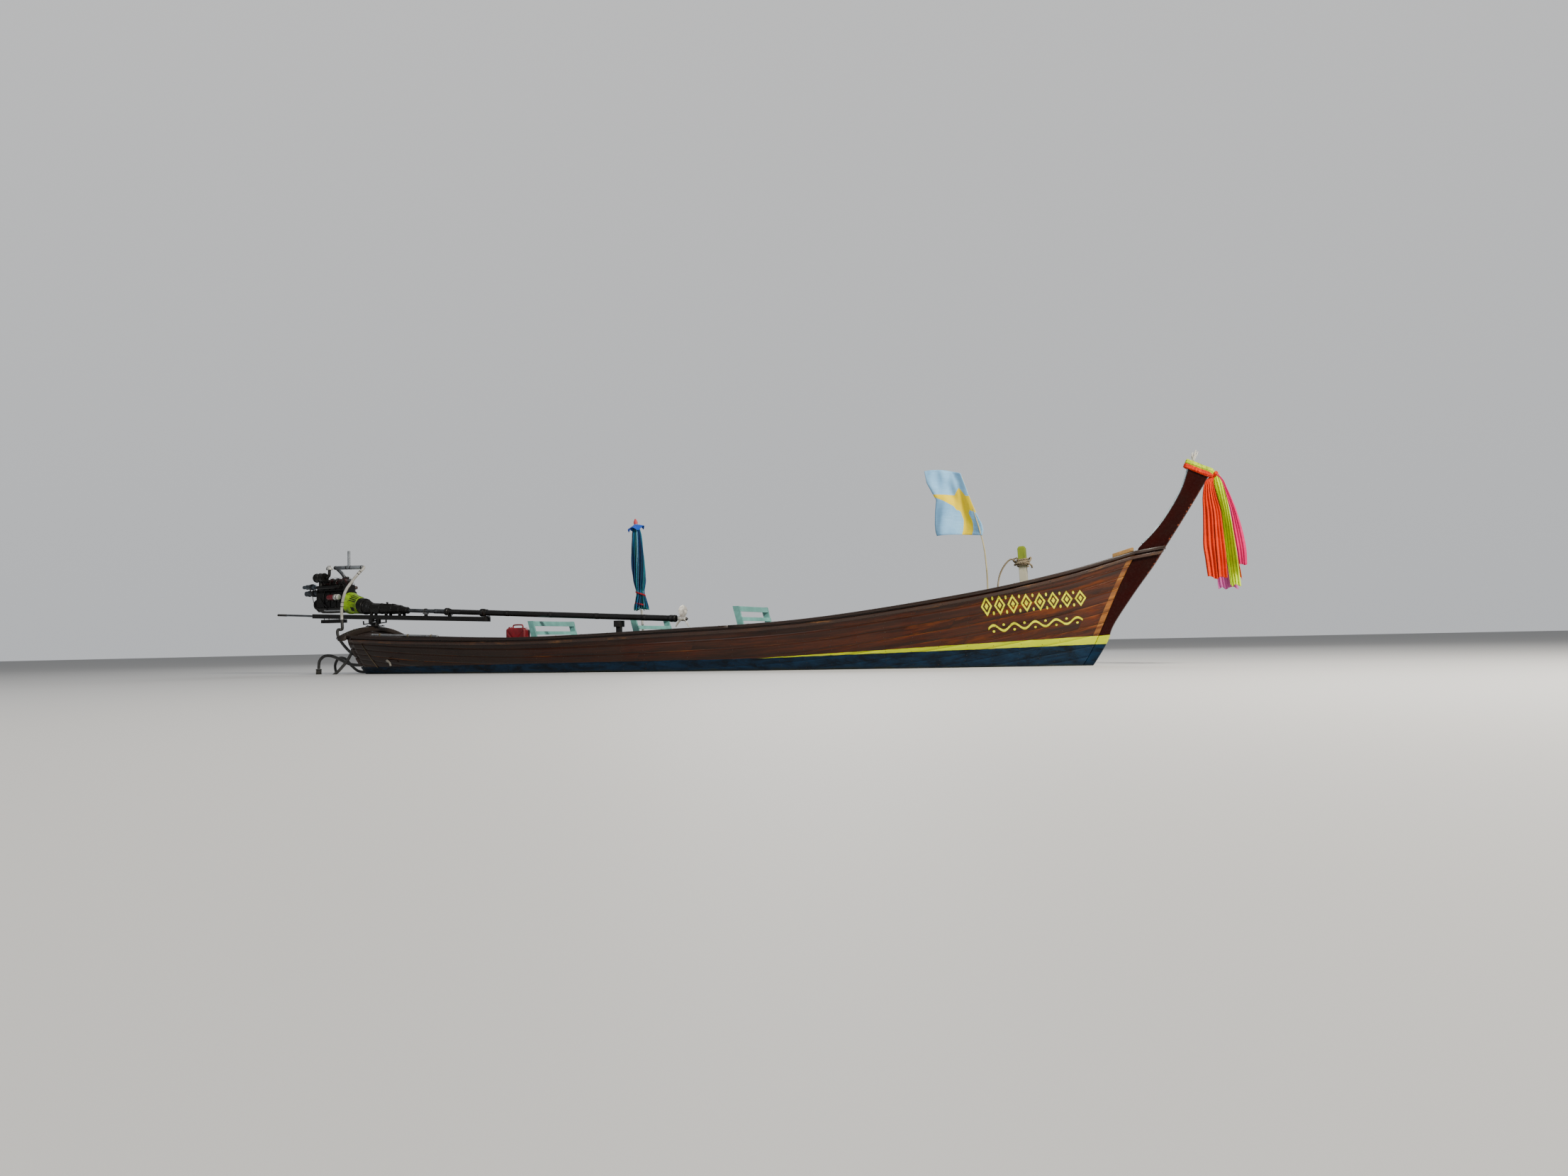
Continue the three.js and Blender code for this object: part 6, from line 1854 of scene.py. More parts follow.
red_can = plastic_finish("can_red", (0.3, 0.006, 0.016), (0.08, 0.003, 0.006), 0.38, 9.0, 0.15)
can = fuel_can()
can_top = CAN_AT + Vector((0, 0, CAN_TALL))
handle_line = [can_top + Vector((x, 0, z)) for x, z in ((-0.083, -0.012), (-0.083, 0.02), (-0.076, 0.036),
    (-0.055, 0.041), (0.055, 0.041), (0.076, 0.036), (0.083, 0.02), (0.083, -0.012))]
handle = tube("can_handle", smooth(handle_line, 0.006), 0.0105, 18)
spout = turned_piece("can_spout", [(0.021, -0.01), (0.021, 0.01), (0.026, 0.011), (0.027, 0.015),
    (0.027, 0.034), (0.023, 0.038), (0.001, 0.038)],
    lambda x, y, z: can_top + Vector((x - 0.134, y, z - 0.024)), 26,
    lambda a, z: 1 + (0.03 * cos(13 * a) if 0.012 < z < 0.036 else 0))
dressed(joined("fuel_can_red", [can, handle, spout]), red_can, "hull", "red_plastic", "fuel_can")
crate_wood = timber_finish("crate_wood", (0.13, 0.078, 0.038), (0.33, 0.225, 0.12), along="X", gloss=0.7,
    pitch=("Z", 0.13))
dressed(softened("can_crate", "crate_slats", 0.0022, 2), crate_wood, "hull", "bare_wood", "can_crate")
crate_nails = [(CAN_AT.x + e * x, CAN_AT.y + s * 0.098, z) for e in (-1, 1) for s in (-1, 1)
    for x in (0.138, 0.156) for z in (-0.1, -0.07, 0.03, 0.06, 0.16, 0.19)]
studs("crate_nails", crate_nails, [(0, copysign(1, p[1] - CAN_AT.y), 0) for p in crate_nails], 0.0035,
    0.0012, dull_steel, "hull")

# Tail rest. A post of angle iron in the aisle, painted black, with a welded head that the tail
# lies on.
rest_paint = steel_finish("rest_paint", (0.011, 0.011, 0.012), 0.22, 0.42)
dressed(softened("tail_rest", "rest_post", 0.004, 2), rest_paint, "hull", "black_steel", "tail_rest")

# Pole along the starboard gunwale. Two lengths of aluminium tube sleeved into each other, capped
# with grey plastic and tied down to the cap with turns of thin cord.
POLE = Vector((-5.08, -0.695, 0.6)), Vector((-3.76, -0.815, 0.554))
POLE_JOINT = 0.3


def along_pole(t):
    """A point of the pole's middle line."""
    return POLE[0].lerp(POLE[1], t)


def pole_radius(s):
    """Radius along the pole, with its sleeve and caps."""
    t = s / (POLE[1] - POLE[0]).length
    if t < 0.014 or t > 0.986 or abs(t - POLE_JOINT) < 0.026:
        return 0.0172
    return 0.0148 if t < POLE_JOINT else 0.0162


pole_marks = sorted([n / 60 for n in range(61)] + [0.0135, 0.0145, 0.9855,
    0.9865] + [POLE_JOINT + d for d in (-0.0265, -0.0255, 0.0255, 0.0265)])
gunwale_pole = tube("aluminium_pole", [along_pole(t) for t in pole_marks], pole_radius, 28)
aluminium = steel_finish("aluminium", (0.3, 0.31, 0.32), 0.02, 0.28, 0.85, 0.25)
dressed(gunwale_pole, aluminium, "hull", "white_tube", "pole_on_gunwale")
pole_ties = []
for t in (0.12, 0.55, 0.9):
    for turn in range(4):
        middle = along_pole(t + 0.0042 * turn)
        ahead = (POLE[1] - POLE[0]).normalized()
        up = Vector((0, 0, 1))
        side = ahead.cross(up).normalized()
        ring = [middle + 0.0195 * (cos(a) * side + sin(a) * up) + ahead * 0.0025 * sin(a / 2)
            for a in np.linspace(0, tau, 41)]
        pole_ties.append(tube("tie", ring, 0.0026, 8))
dressed(joined("pole_ties", pole_ties), plain_cloth("tie_cord", (0.23, 0.19, 0.12), (0.11, 0.085, 0.05)),
    "hull", "rope")


# Bilge pump outlet. A bend of grey-white plastic pipe through the starboard side, open at its end,
# with a collar on the planking.
def open_pipe(name, path, radius, wall, depth, sides=28):
    """A pipe on a path whose far end is open, bored to a depth."""
    body = evenly(path, 0.006)[0]
    frames = frames_along(body)
    rings = []
    for point, (a, b) in zip(body, frames):
        rings.append([point + radius * (cos(t) * a + sin(t) * b) for t in np.linspace(0, tau, sides,
            endpoint=False)])
    for k in range(max(2, round(depth / 0.006))):
        point, (a, b) = body[-1 - k], frames[-1 - k]
        rings.append([point + (radius - wall) * (cos(t) * a + sin(t) * b) for t in np.linspace(0, tau,
            sides, endpoint=False)])
    return faced_out(skin_over(name, rings))


outlet_line = curve_through([(-4.829, -0.645, 0.1985), (-4.825, -0.655, 0.2), (-4.806, -0.694, 0.203),
    (-4.762, -0.718, 0.196), (-4.72, -0.728, 0.168), (-4.7, -0.73, 0.124)])
outlet = open_pipe("bilge_bend", outlet_line, 0.0148, 0.0022, 0.05)
collar = tube("bilge_collar", [Vector((-4.829, -0.645, 0.1985)) + d * Vector((0.2, -0.93, 0.3))
    for d in (0, 0.003, 0.014, 0.016)], lambda s: 0.023 if s < 0.0145 else 0.019, 28)
dressed(joined("bilge_outlet_bend", [outlet, collar]), plastic_finish("outlet_plastic", (0.3, 0.29, 0.26),
    (0.11, 0.095, 0.07), 0.4, 20.0), "hull", "white_tube", "bilge_outlet")

# Bracket that carries the upper hose: a ring of rod on an arm, screwed to the crossbeam
dressed(softened("hose_bracket", "bracket_rod", 0.0015, 2, 50), rest_paint, "hull", "black_steel",
    "hose_bracket")

# Strainer on the suction hose. A black plastic basket: bars between three rings, round a core.
STRAINER_TOP, STRAINER_LOW = Vector((-6.462, -0.35, 0.086)), Vector((-6.464, -0.35, -0.02))


def in_strainer(x, y, z):
    """A point in the strainer's frame: z down from its top, 0 to 1."""
    return STRAINER_TOP.lerp(STRAINER_LOW, z) + Vector((x, y, 0))


basket = [turned_piece("core", [(0.001, 0.02), (0.036, 0.02), (0.036, 0.98), (0.001, 0.98)], in_strainer,
    24)]
for low, high, reach in ((0, 0.16, 0.0445), (0.5, 0.56, 0.0435), (0.88, 1.0, 0.0445)):
    basket.append(turned_piece("ring", [(0.02, low), (reach - 0.002, low), (reach, low + 0.02),
        (reach, high - 0.02), (reach - 0.002, high), (0.02, high)], in_strainer, 40))
for n in range(20):
    a = tau * n / 20
    reach = 0.04
    basket.append(tube("bar", [in_strainer(reach * cos(a), reach * sin(a), t) for t in (0.06, 0.5, 0.94)],
        0.0028, 8))
dressed(joined("strainer_basket", basket), plastic_finish("strainer_black", (0.014, 0.014, 0.015),
    (0.07, 0.07, 0.05), 0.4, 20.0), "hull", "white_tube", "strainer")


# Batten on the starboard quarter: a pale lath nailed across the planks just forward of the transom
def side_place(x, z, off):
    """The point off the starboard planking's outer face at a given x and height."""
    u, v = 0.03, 0.9
    for _ in range(14):
        here = skin_point(u, v)
        du, dv = skin_point(u + 0.0001, v) - here, skin_point(u, v + 0.0001) - here
        jac = np.array([[du[0], dv[0]], [du[2], dv[2]]]) / 0.0001
        step = np.linalg.solve(jac, [x - here[0], z - here[2]])
        u, v = float(np.clip(u + step[0], 0, 1)), float(np.clip(v + step[1], 0, 1))
    here = inboard(u, v, -off)
    return Vector((float(here[0]), -float(here[1]), float(here[2])))


batten_rings = []
for t in np.linspace(0, 1, 14):
    x, z = -5.32 + t * 0.225, 0.461 - t * 0.361
    along = Vector((0.225, 0, -0.361)).normalized()
    wide = Vector((along.z, 0, -along.x)) * 0.008
    batten_rings.append([side_place(x + wide.x * a, z + wide.z * a, b)
        for a, b in ((-1, 0.001), (1, 0.001), (1, 0.008), (0.8, 0.01), (-0.8, 0.01), (-1, 0.008))])
batten = faced_out(skin_over("quarter_batten", batten_rings))
dressed(batten, timber_finish("batten_wood", (0.07, 0.048, 0.026), (0.2, 0.15, 0.09), along="Z", gloss=0.7),
    "hull", "bare_wood")


# Swivel. A steel plate bolted to the crossbeam's crown with a kingpin boss, and the fork that
# turns on it; the frame tilts on the fork's through bolt. Black paint, greasy at the pin.
PIVOT, TAIL_YAW = Vector((-5.64, 0, 0.835)), radians(6.8)
SHAFT_DROP = radians(3)


def on_tail(s, y, z):
    """A point in the tail's frame, s forward of the swivel along the stowed tail."""
    return Matrix.Rotation(-TAIL_YAW, 3, "Z") @ Vector((s, y, z)) + Vector((PIVOT.x, 0, 0))


def tail_points(points):
    """Points in the tail's frame, moved to the boat's."""
    return [on_tail(*p) for p in points]


def way_on_tail(s, y, z):
    """A direction in the tail's frame."""
    return Matrix.Rotation(-TAIL_YAW, 3, "Z") @ Vector((s, y, z))


def upright(s, y0):
    """Places points round an upright axis on the tail."""
    return lambda x, y, z: on_tail(s + x, y0 + y, z)


def lengthwise(y0, z0):
    """Places points round an axis along the tail, z along it."""
    return lambda x, y, z: on_tail(z, y0 + x, z0 + y)


def tail_studs(name, rows, radius, height, material):
    """Six-sided studs on the tail: each row a place and the way that it faces."""
    studs(name, [on_tail(*p) for p, way in rows], [way_on_tail(*way) for p, way in rows], radius, height,
        material, "tail", 6)


def bent(name, points, step, radius, sides):
    """A bent rod or pipe on the tail."""
    return tube(name, tail_points(smooth(points, step)), radius, sides)


greasy = steel_finish("greasy_black", (0.01, 0.01, 0.011), 0.18, 0.3, 0.4, 0.6)
dressed(softened("swivel_base", "swivel_plate", 0.002, 2), greasy, "hull", "black_steel", "swivel_base")
plate_bolts = [on_tail(s, y, 0.758) for s in (-0.1, 0.1) for y in (-0.06, 0.06)]
studs("plate_bolts", plate_bolts, [(0, 0, 1)] * 4, 0.0125, 0.01, dull_steel, "hull", 6)
dressed(softened("swivel_fork", "fork", 0.002, 2), greasy, "swivel", "black_steel", "swivel_fork")
pin_ends = [on_tail(0, side * 0.0902, 0.835) for side in (-1, 1)]
studs("pin_heads", pin_ends, [way_on_tail(0, side, 0) for side in (-1, 1)], 0.021, 0.014, dull_steel,
    "swivel", 6)

# Tilt frame. Two long channels of black painted steel with flat cross plates welded between them,
# and posts forward that hold the shaft tubes in their clamps.
CROSSES = [-1.385, -1.0, -0.6, -0.19, 0.19, 0.7, 1.12, 1.62, 2.37]


def frame_height(s):
    """Height of the channels' middle."""
    return 0.889 - s * 0.0396


frame_paint = steel_finish("frame_paint", (0.009, 0.009, 0.0105), 0.16, 0.34, 0.25, 0.55)
dressed(softened("tilt_frame", "frame_channels", 0.0028, 2), frame_paint, "tail", "black_steel",
    "tilt_frame")
tail_studs("frame_bolts", [((s, y, frame_height(s)), (0, y, 0)) for s in CROSSES for y in (-0.062, 0.062)],
    0.01, 0.008, dull_steel)


def shaft_height(s):
    """Height of the shaft's line."""
    return 1.015 - s * tan(SHAFT_DROP)


def on_shaft(s, y, z):
    """A point round the shaft's line: s along the tail, y and z off the line."""
    return on_tail(s, y, shaft_height(s) + z)


# Engine. An old four-cylinder car engine, all black with oil: crankcase and sump, timing cover aft,
# flywheel flange forward, and the filter's cast head to starboard. Bolted down on the frame.
CYLINDERS = [-1.085, -0.945, -0.805, -0.665]
oily_iron = steel_finish("oily_iron", (0.008, 0.008, 0.009), 0.12, 0.24, 0.45, 0.8)
block = softened("engine_block", "crankcase", 0.0035, 2, 32)
dressed(block, oily_iron, "tail", "engine_iron", "engine_block")
cover_bolts = [(-1.2182, y, z) for y, z in ((-0.108, 1.05), (-0.116, 1.15), (-0.116, 1.25), (-0.112, 1.34),
    (-0.05, 1.384), (0.05, 1.384), (0.112, 1.34), (0.116, 1.25), (0.116, 1.15), (0.108, 1.05),
    (0.045, 1.018), (-0.045, 1.018))]
pan_bolts = [(s, side * 0.1445, 1.0672) for s in np.linspace(-1.17, -0.6, 9) for side in (-1, 1)]
flange_bolts = [(-0.5825, 0.155 * cos(a), 1.132 + 0.155 * sin(a))
    for a in (tau * (n + 0.5) / 12 for n in range(12))]
side_bolts = [(s + 0.067, side * 0.15, z) for s in CYLINDERS for side in (-1, 1) for z in (1.11, 1.2, 1.29)]
bolt_rows = [(p, (-1, 0, 0)) for p in cover_bolts] + [(p, (0, 0, 1)) for p in pan_bolts] + [(p,
    (-1, 0, 0)) for p in flange_bolts] + [(p, (0, p[1], 0)) for p in side_bolts]
worn_bolt = steel_finish("worn_bolt", (0.07, 0.069, 0.067), 0.2, 0.35, 0.8, 0.5)
tail_studs("engine_bolts", bolt_rows, 0.0085, 0.008, worn_bolt)
core_plugs = [(s, side * 0.1462, 1.18) for s in CYLINDERS for side in (-1, 1)]
plugs = [turned_piece("core_plug", [(0.001, -0.004), (0.024, -0.004), (0.024, 0.0005), (0.021, 0.0012),
    (0.019, -0.0015), (0.001, -0.0025)], lambda x, y, z, p=p: on_tail(p[0] + x, p[1] + copysign(z, p[1]),
    p[2] + y), 20) for p in core_plugs]
dressed(joined("core_plugs", plugs), worn_bolt, "tail", "engine_iron")
round_filter = lengthwise(-0.216, 1.23)
pale_alloy = steel_finish("pale_alloy", (0.46, 0.46, 0.44), 0.05, 0.35, 0.6, 0.35)
head_rings = [turned_piece("ring", [(0.028, low), (reach - 0.003, low), (reach, low + 0.003),
    (reach, high - 0.003), (reach - 0.003, high), (0.028, high)], round_filter, 36,
    lambda a, z: 1 + 0.012 * cos(12 * a)) for low, high, reach in ((-0.6745, -0.6305, 0.0475),
    (-0.6075, -0.5825, 0.0465))]
dressed(joined("filter_head", head_rings), pale_alloy, "tail", "engine_iron")

# Oil filter: a spun can of red painted steel with a fluted domed end
filter_profile = [(0.001, -0.8395), (0.02, -0.8395), (0.032, -0.8365), (0.0375, -0.83), (0.0395, -0.82),
    (0.0405, -0.81), (0.0415, -0.79), (0.0415, -0.688), (0.0402, -0.6865), (0.0402, -0.682),
    (0.0418, -0.68), (0.0418, -0.6755), (0.03, -0.6755)]
can_filter = turned_piece("filter_can", filter_profile, round_filter, 60,
    lambda a, z: 1 + (0.022 * cos(15 * a) if -0.833 < z < -0.808 else 0))
dressed(can_filter, steel_finish("filter_red", (0.12, 0.004, 0.012), 0.08, 0.3, 0.1, 0.35), "tail",
    "red_plastic", "oil_filter")


# Cylinder head and rocker cover. Cast head, and a pressed cover in chipped dark red paint, with the
# oil filler's cap at its fore end; fuel pipes run over it to the injectors.
def head_finish():
    """Black oily casting below the joint, chipped dark red paint above."""
    material = steel_finish("head_casting", (0.009, 0.009, 0.01), 0.12, 0.26, 0.4, 0.6)
    shade, was, place = reopened(material)
    height = axes_of(place)["Z"]
    chips, chips_fine = dirt_on(place, 14.0, 0.45)
    kept = step_up(height, 1.4355, 1.4375) * (1.0 - chips)
    red = mix(step_up(chips_fine, 0.3, 0.75), (0.095, 0.006, 0.007), (0.032, 0.004, 0.004))
    feed(shade, {"Base Color": mix(kept, was, red)})
    return material


dressed(softened("cylinder_head", "head", 0.003, 2, 32), head_finish(), "tail", "engine_iron",
    "cylinder_head")
filler = turned_piece("filler_cap", [(0.024, 1.548), (0.0315, 1.55), (0.0325, 1.556), (0.0325, 1.568),
    (0.029, 1.572), (0.001, 1.573)], upright(-0.69, 0.04), 48, lambda a, z: 1 + 0.02 * cos(16 * a))
dressed(filler, plastic_finish("cap_black", (0.012, 0.012, 0.013), (0.03, 0.025, 0.02), 0.4, 20.0), "tail",
    "black_steel")
tail_studs("head_bolts", [((s, y, 1.4262), (0, 0, 1)) for s in np.linspace(-1.155, -0.615, 8)
    for y in (-0.106, 0.106)], 0.0095, 0.01, worn_bolt)
injectors = [turned_piece("injector", [(0.009, 0), (0.009, 0.02), (0.012, 0.02), (0.012, 0.034),
    (0.006, 0.036), (0.006, 0.052), (0.001, 0.053)],
    lambda x, y, z, s=s: on_tail(s + 0.03 + x, -0.104 + y - 0.25 * z, 1.424 + z), 14) for s in CYLINDERS]
pump_pipes = []
for n, s in enumerate(CYLINDERS):
    start = Vector((-1.06 + 0.035 * n, 0.196, 1.226))
    line = [start, start + Vector((0, 0.018, 0.05)), Vector((s - 0.03, 0.216, 1.33 + 0.008 * n)),
        Vector((s + 0.01, 0.15, 1.452)), Vector((s + 0.03, 0.06, 1.56 - 0.006 * n)),
        Vector((s + 0.03, -0.07, 1.535)), Vector((s + 0.03, -0.116, 1.474))]
    pump_pipes.append(bent("pump_pipe", line, 0.008, 0.0034, 10))
dressed(joined("fuel_pipes", injectors + pump_pipes), worn_bolt, "tail", "engine_iron")


# Pulleys, pumps and belts at the engine's aft end: turned steel with V grooves, and a rubber belt from
# the crank up to the water pump.
AXLES = {"crank": (0.0, 1.13), "pump": (-0.08, 1.315), "dynamo": (-0.122, 1.42)}
round_crank, round_pump, round_dynamo = (lengthwise(*axle) for axle in AXLES.values())


def grooved(low, high, reach, depth=0.009):
    """Profile of a pulley with one V groove."""
    mid, half = (low + high) / 2, (high - low) / 2
    return [(0.012, low), (reach - 0.001, low), (reach, low + 0.001), (reach, mid - half * 0.62),
        (reach - depth, mid - half * 0.22), (reach - depth, mid + half * 0.22), (reach, mid + half * 0.62),
        (reach, high - 0.001), (reach - 0.001, high), (0.012, high)]


dusty = steel_finish("pulley_steel", (0.034, 0.037, 0.043), 0.18, 0.34, 0.6, 0.4)
# Grey paint on the pump and dynamo; its blue tint is a painted reflection of the sky
bluish = steel_finish("pump_paint_and_sky_tint", (0.12, 0.15, 0.185), 0.12, 0.34, 0.35, 0.45)
pulleys = [turned_piece("crank_nose", [(0.02, -1.344), (0.025, -1.342), (0.026, -1.336), (0.026, -1.2184),
    (0.01, -1.2184)], round_crank, 28), turned_piece("crank_pulley", grooved(-1.34, -1.3, 0.088),
    round_crank, 56), turned_piece("crank_web", [(0.024, -1.3405), (0.06, -1.3405), (0.064, -1.3425),
    (0.07, -1.3425), (0.07, -1.338)], round_crank, 40),
    turned_piece("pump_pulley", grooved(-1.34, -1.3, 0.058), round_pump, 48),
    turned_piece("dynamo_pulley", grooved(-1.34, -1.304, 0.05), round_dynamo, 44)]
dressed(joined("belt_pulleys", pulleys), dusty, "tail", "black_steel", "engine_pulleys")
pumps = [turned_piece("pump_body", [(0.014, -1.52), (0.04, -1.52), (0.044, -1.515), (0.044, -1.5),
    (0.0415, -1.498), (0.0415, -1.478), (0.044, -1.476), (0.044, -1.444), (0.052, -1.4415),
    (0.052, -1.431), (0.044, -1.429), (0.036, -1.42), (0.034, -1.24), (0.036, -1.2184), (0.01, -1.2184)],
    round_pump, 44), turned_piece("dynamo_body", [(0.01, -1.53), (0.027, -1.53), (0.03, -1.527),
    (0.03, -1.5), (0.026, -1.494), (0.026, -1.486), (0.03, -1.48), (0.03, -1.458), (0.04, -1.452),
    (0.04, -1.44), (0.0385, -1.438), (0.0385, -1.4), (0.04, -1.398), (0.04, -1.35), (0.034, -1.344),
    (0.034, -1.262), (0.038, -1.256), (0.01, -1.256)], round_dynamo, 44,
    lambda a, z: 1 + (0.03 * cos(18 * a) if -1.437 < z < -1.401 else 0))]
dressed(joined("pump_and_dynamo", pumps), bluish, "tail", "grey_steel")


def belt_round(name, first, first_reach, second, second_reach, s, wide=0.01, thick=0.008):
    """A V belt round two pulleys."""
    a0, b0 = Vector(AXLES[first]), Vector(AXLES[second])
    away = b0 - a0
    lean = atan2(away.y, away.x)
    open_angle = acos((first_reach - second_reach) / away.length)
    loop = [a0 + first_reach * Vector((cos(t), sin(t))) for t in np.linspace(lean + open_angle,
        lean + tau - open_angle, 40)]
    loop += [b0 + second_reach * Vector((cos(t), sin(t))) for t in np.linspace(lean - open_angle,
        lean + open_angle, 30)]
    rings = []
    for n, point in enumerate(loop):
        ahead = (loop[(n + 1) % len(loop)] - loop[n - 1]).normalized()
        out = Vector((ahead.y, -ahead.x))
        rings.append([on_tail(s + a, *point + out * b) for a, b in ((-wide / 2, thick / 2),
            (wide / 2, thick / 2), (wide / 3, -thick / 2), (-wide / 3, -thick / 2))])
    return welded(skin_over(name, rings + [rings[0]], caps=False), 1e-06)


belts = joined("drive_belt", [belt_round("belt", "crank", 0.083, "pump", 0.053, -1.32)])
dressed(belts, plastic_finish("belt_rubber", (0.01, 0.01, 0.01), (0.04, 0.036, 0.03), 0.6, 20.0, 0.0),
    "tail", "hose_rubber")
stay = [tube("stay", [on_tail(s, y, z) for y, z in ((-0.122, 1.42), (-0.08, 1.315))], 0.01, 12)
    for s in (-1.27, -1.395)]
brace = bent("brace", [(-1.12, -0.158, 1.235), (-1.04, -0.162, 1.16), (-0.935, -0.158, 1.075)], 0.01,
    0.006, 10)
dip = bent("dipstick", [(-1.01, -0.15, 1.068), (-1.012, -0.17, 1.14), (-1.0, -0.168, 1.26),
    (-0.99, -0.15, 1.345)], 0.01, 0.0048, 10)
dressed(joined("stays_and_dipstick", stay + [brace, dip]), worn_bolt, "tail", "engine_iron")

# Tray slung under the engine, black and thick with oil
dressed(softened("battery_box", "under_tray", 0.004, 2), oily_iron, "tail", "black_steel", "battery_box")
hangers = [tube("hanger", [on_tail(s, y, z) for z in (0.876, 0.902)], 0.006, 10) for s in (-1.13, -0.775)
    for y in (-0.046, 0.046)]
dressed(joined("tray_hangers", hangers), worn_bolt, "tail", "engine_iron")

# Inlet manifold and air cleaner: cast runners into a log, and above it the cleaner's drum with its
# raised inlet, topped by a pale pressed cap.
dressed(softened("intake_manifold", "inlet", 0.0022, 2, 40), oily_iron, "tail", "black_steel",
    "intake_manifold")
inlet_cap = turned_piece("inlet_cap", [(0.03, 1.674), (0.0525, 1.6745), (0.0535, 1.68), (0.0535, 1.705),
    (0.046, 1.719), (0.034, 1.733), (0.026, 1.7425), (0.012, 1.7428), (0.001, 1.7428)],
    upright(-0.832, -0.188), 40)
dressed(inlet_cap, pale_alloy, "tail", "grey_steel")
BAND_AT = -1.0465
drum_band = turned_piece("drum_band", [(0.06, BAND_AT), (0.0772, BAND_AT + 0.001),
    (0.0772, BAND_AT + 0.012), (0.06, BAND_AT + 0.013)], lengthwise(-0.188, 1.556), 48)
dressed(drum_band, worn_bolt, "tail", "engine_iron")


# Exhaust. Cast manifold to port, and an elbow over the rocker cover into a long galvanised tube with
# an open stack; blued and rusty by the heat near the head, with hose bands at the joints.
galvanised = steel_finish("galvanised", (0.085, 0.095, 0.108), 0.12, 0.36, 0.6, 0.35)


def exhaust_finish():
    """Galvanised steel, brown with heat low on the elbow."""
    material = steel_finish("hot_galvanised", (0.23, 0.25, 0.27), 0.08, 0.34, 0.65, 0.3)
    shade, was, place = reopened(material)
    height = axes_of(place)["Z"]
    fine = dirt_on(place, 16.0, 0.6)[1]
    heat = step_up(height, 1.66, 1.46) * maths("ADD", fine, 0.25, True)
    feed(shade, {"Base Color": mix(heat, was, (0.085, 0.034, 0.016))})
    return material


elbow_line = curve_through([(-0.83, 0.172, 1.392), (-0.832, 0.17, 1.45), (-0.85, 0.15, 1.54),
    (-0.878, 0.092, 1.64), (-0.9, 0.036, 1.7), (-0.89, 0.004, 1.721)])
exhaust_parts = [tube("manifold_log", [on_tail(s, 0.172, 1.392) for s in (-1.13, -1.129, -0.621, -0.62)],
    lambda s: 0.0275 if 0.0005 < s < 0.5095 else 0.024, 28),
    tube("elbow", tail_points(evenly(elbow_line, 0.012)[0]), 0.0298, 32),
    open_pipe("stack", [on_tail(-0.598, 0, z) for z in (1.71, 1.845, 1.9799)], 0.0219, 0.0025, 0.06, 32),
    tube("top_tube", [on_tail(-0.93 + t * 0.656, 0, 1.722 - t * 0.02) for t in (0, 0.003, 0.5, 0.997, 1)],
    lambda s: 0.0308 if 0.001 < s < 0.655 else 0.028, 32)]
for s in CYLINDERS:
    exhaust_parts.append(tube("port", [on_tail(s, y, 1.392) for y in (0.1225, 0.15, 0.17)], 0.0215, 24))
TUBE_BANDS = [(-0.905, 0.033), (-0.645, 0.0325), (-0.55, 0.0325), (-0.296, 0.033)]
bands = [turned_piece("band", [(0.02, -0.009), (r - 0.0008, -0.009), (r, -0.008), (r, 0.008),
    (r - 0.0008, 0.009), (0.02, 0.009)],
    lambda x, y, z, s=s: on_tail(s + z, x, 1.722 - (s + 0.93) * 0.0303 + y), 36) for s, r in TUBE_BANDS]
flange = turned_piece("stack_foot", [(0.012, 1.722), (0.03, 1.722), (0.03, 1.742), (0.026, 1.746),
    (0.0215, 1.748)], upright(-0.598, 0), 28)
dressed(joined("exhaust_tubes", exhaust_parts + [flange]), exhaust_finish(), "tail", "grey_steel",
    "exhaust")
dressed(joined("exhaust_bands", bands), worn_bolt, "tail", "engine_iron")
port_flanges = []
for s in CYLINDERS:
    outline = rounded_section([(s - 0.034, 1.358), (s + 0.034, 1.358), (s + 0.034, 1.422),
        (s - 0.034, 1.422)], [0.012] * 4)
    port_flanges.append(faced_out(skin_over("port_flange",
        [[on_tail(p[0], y, p[1]) for p in outline] for y in (0.1186, 0.1282)])))
dressed(joined("port_flanges", port_flanges), oily_iron, "tail", "engine_iron")
tail_studs("port_nuts", [((s + a, 0.1282, 1.39 + a), (0, 1, 0)) for s in CYLINDERS
    for a in (-0.024, 0.024)], 0.008, 0.01, worn_bolt)

# Cooling pipe. A white plastic pipe from the end of the top tube down the starboard side, turned
# outboard at its foot into the hose; dirty where hands and oil reach it.
pipe_line = curve_through([(-0.266, 0, 1.702), (-0.247, -0.003, 1.7), (-0.232, -0.03, 1.676),
    (-0.262, -0.084, 1.612), (-0.33, -0.17, 1.47), (-0.4, -0.236, 1.32), (-0.455, -0.25, 1.15),
    (-0.475, -0.25, 1.01), (-0.472, -0.25, 0.88), (-0.458, -0.254, 0.77), (-0.44, -0.27, 0.716),
    (-0.434, -0.296, 0.704), (-0.434, -0.322, 0.704)])
pipe_path, pipe_length = evenly(tail_points(pipe_line), 0.01)


def cooling_radius(s):
    """The pipe's radius, with sleeves at its top bend and half way down."""
    sleeve = s < 0.022 or abs(s - 0.155) < 0.016 or abs(s - 0.735) < 0.02
    return 0.0239 if sleeve else 0.0222


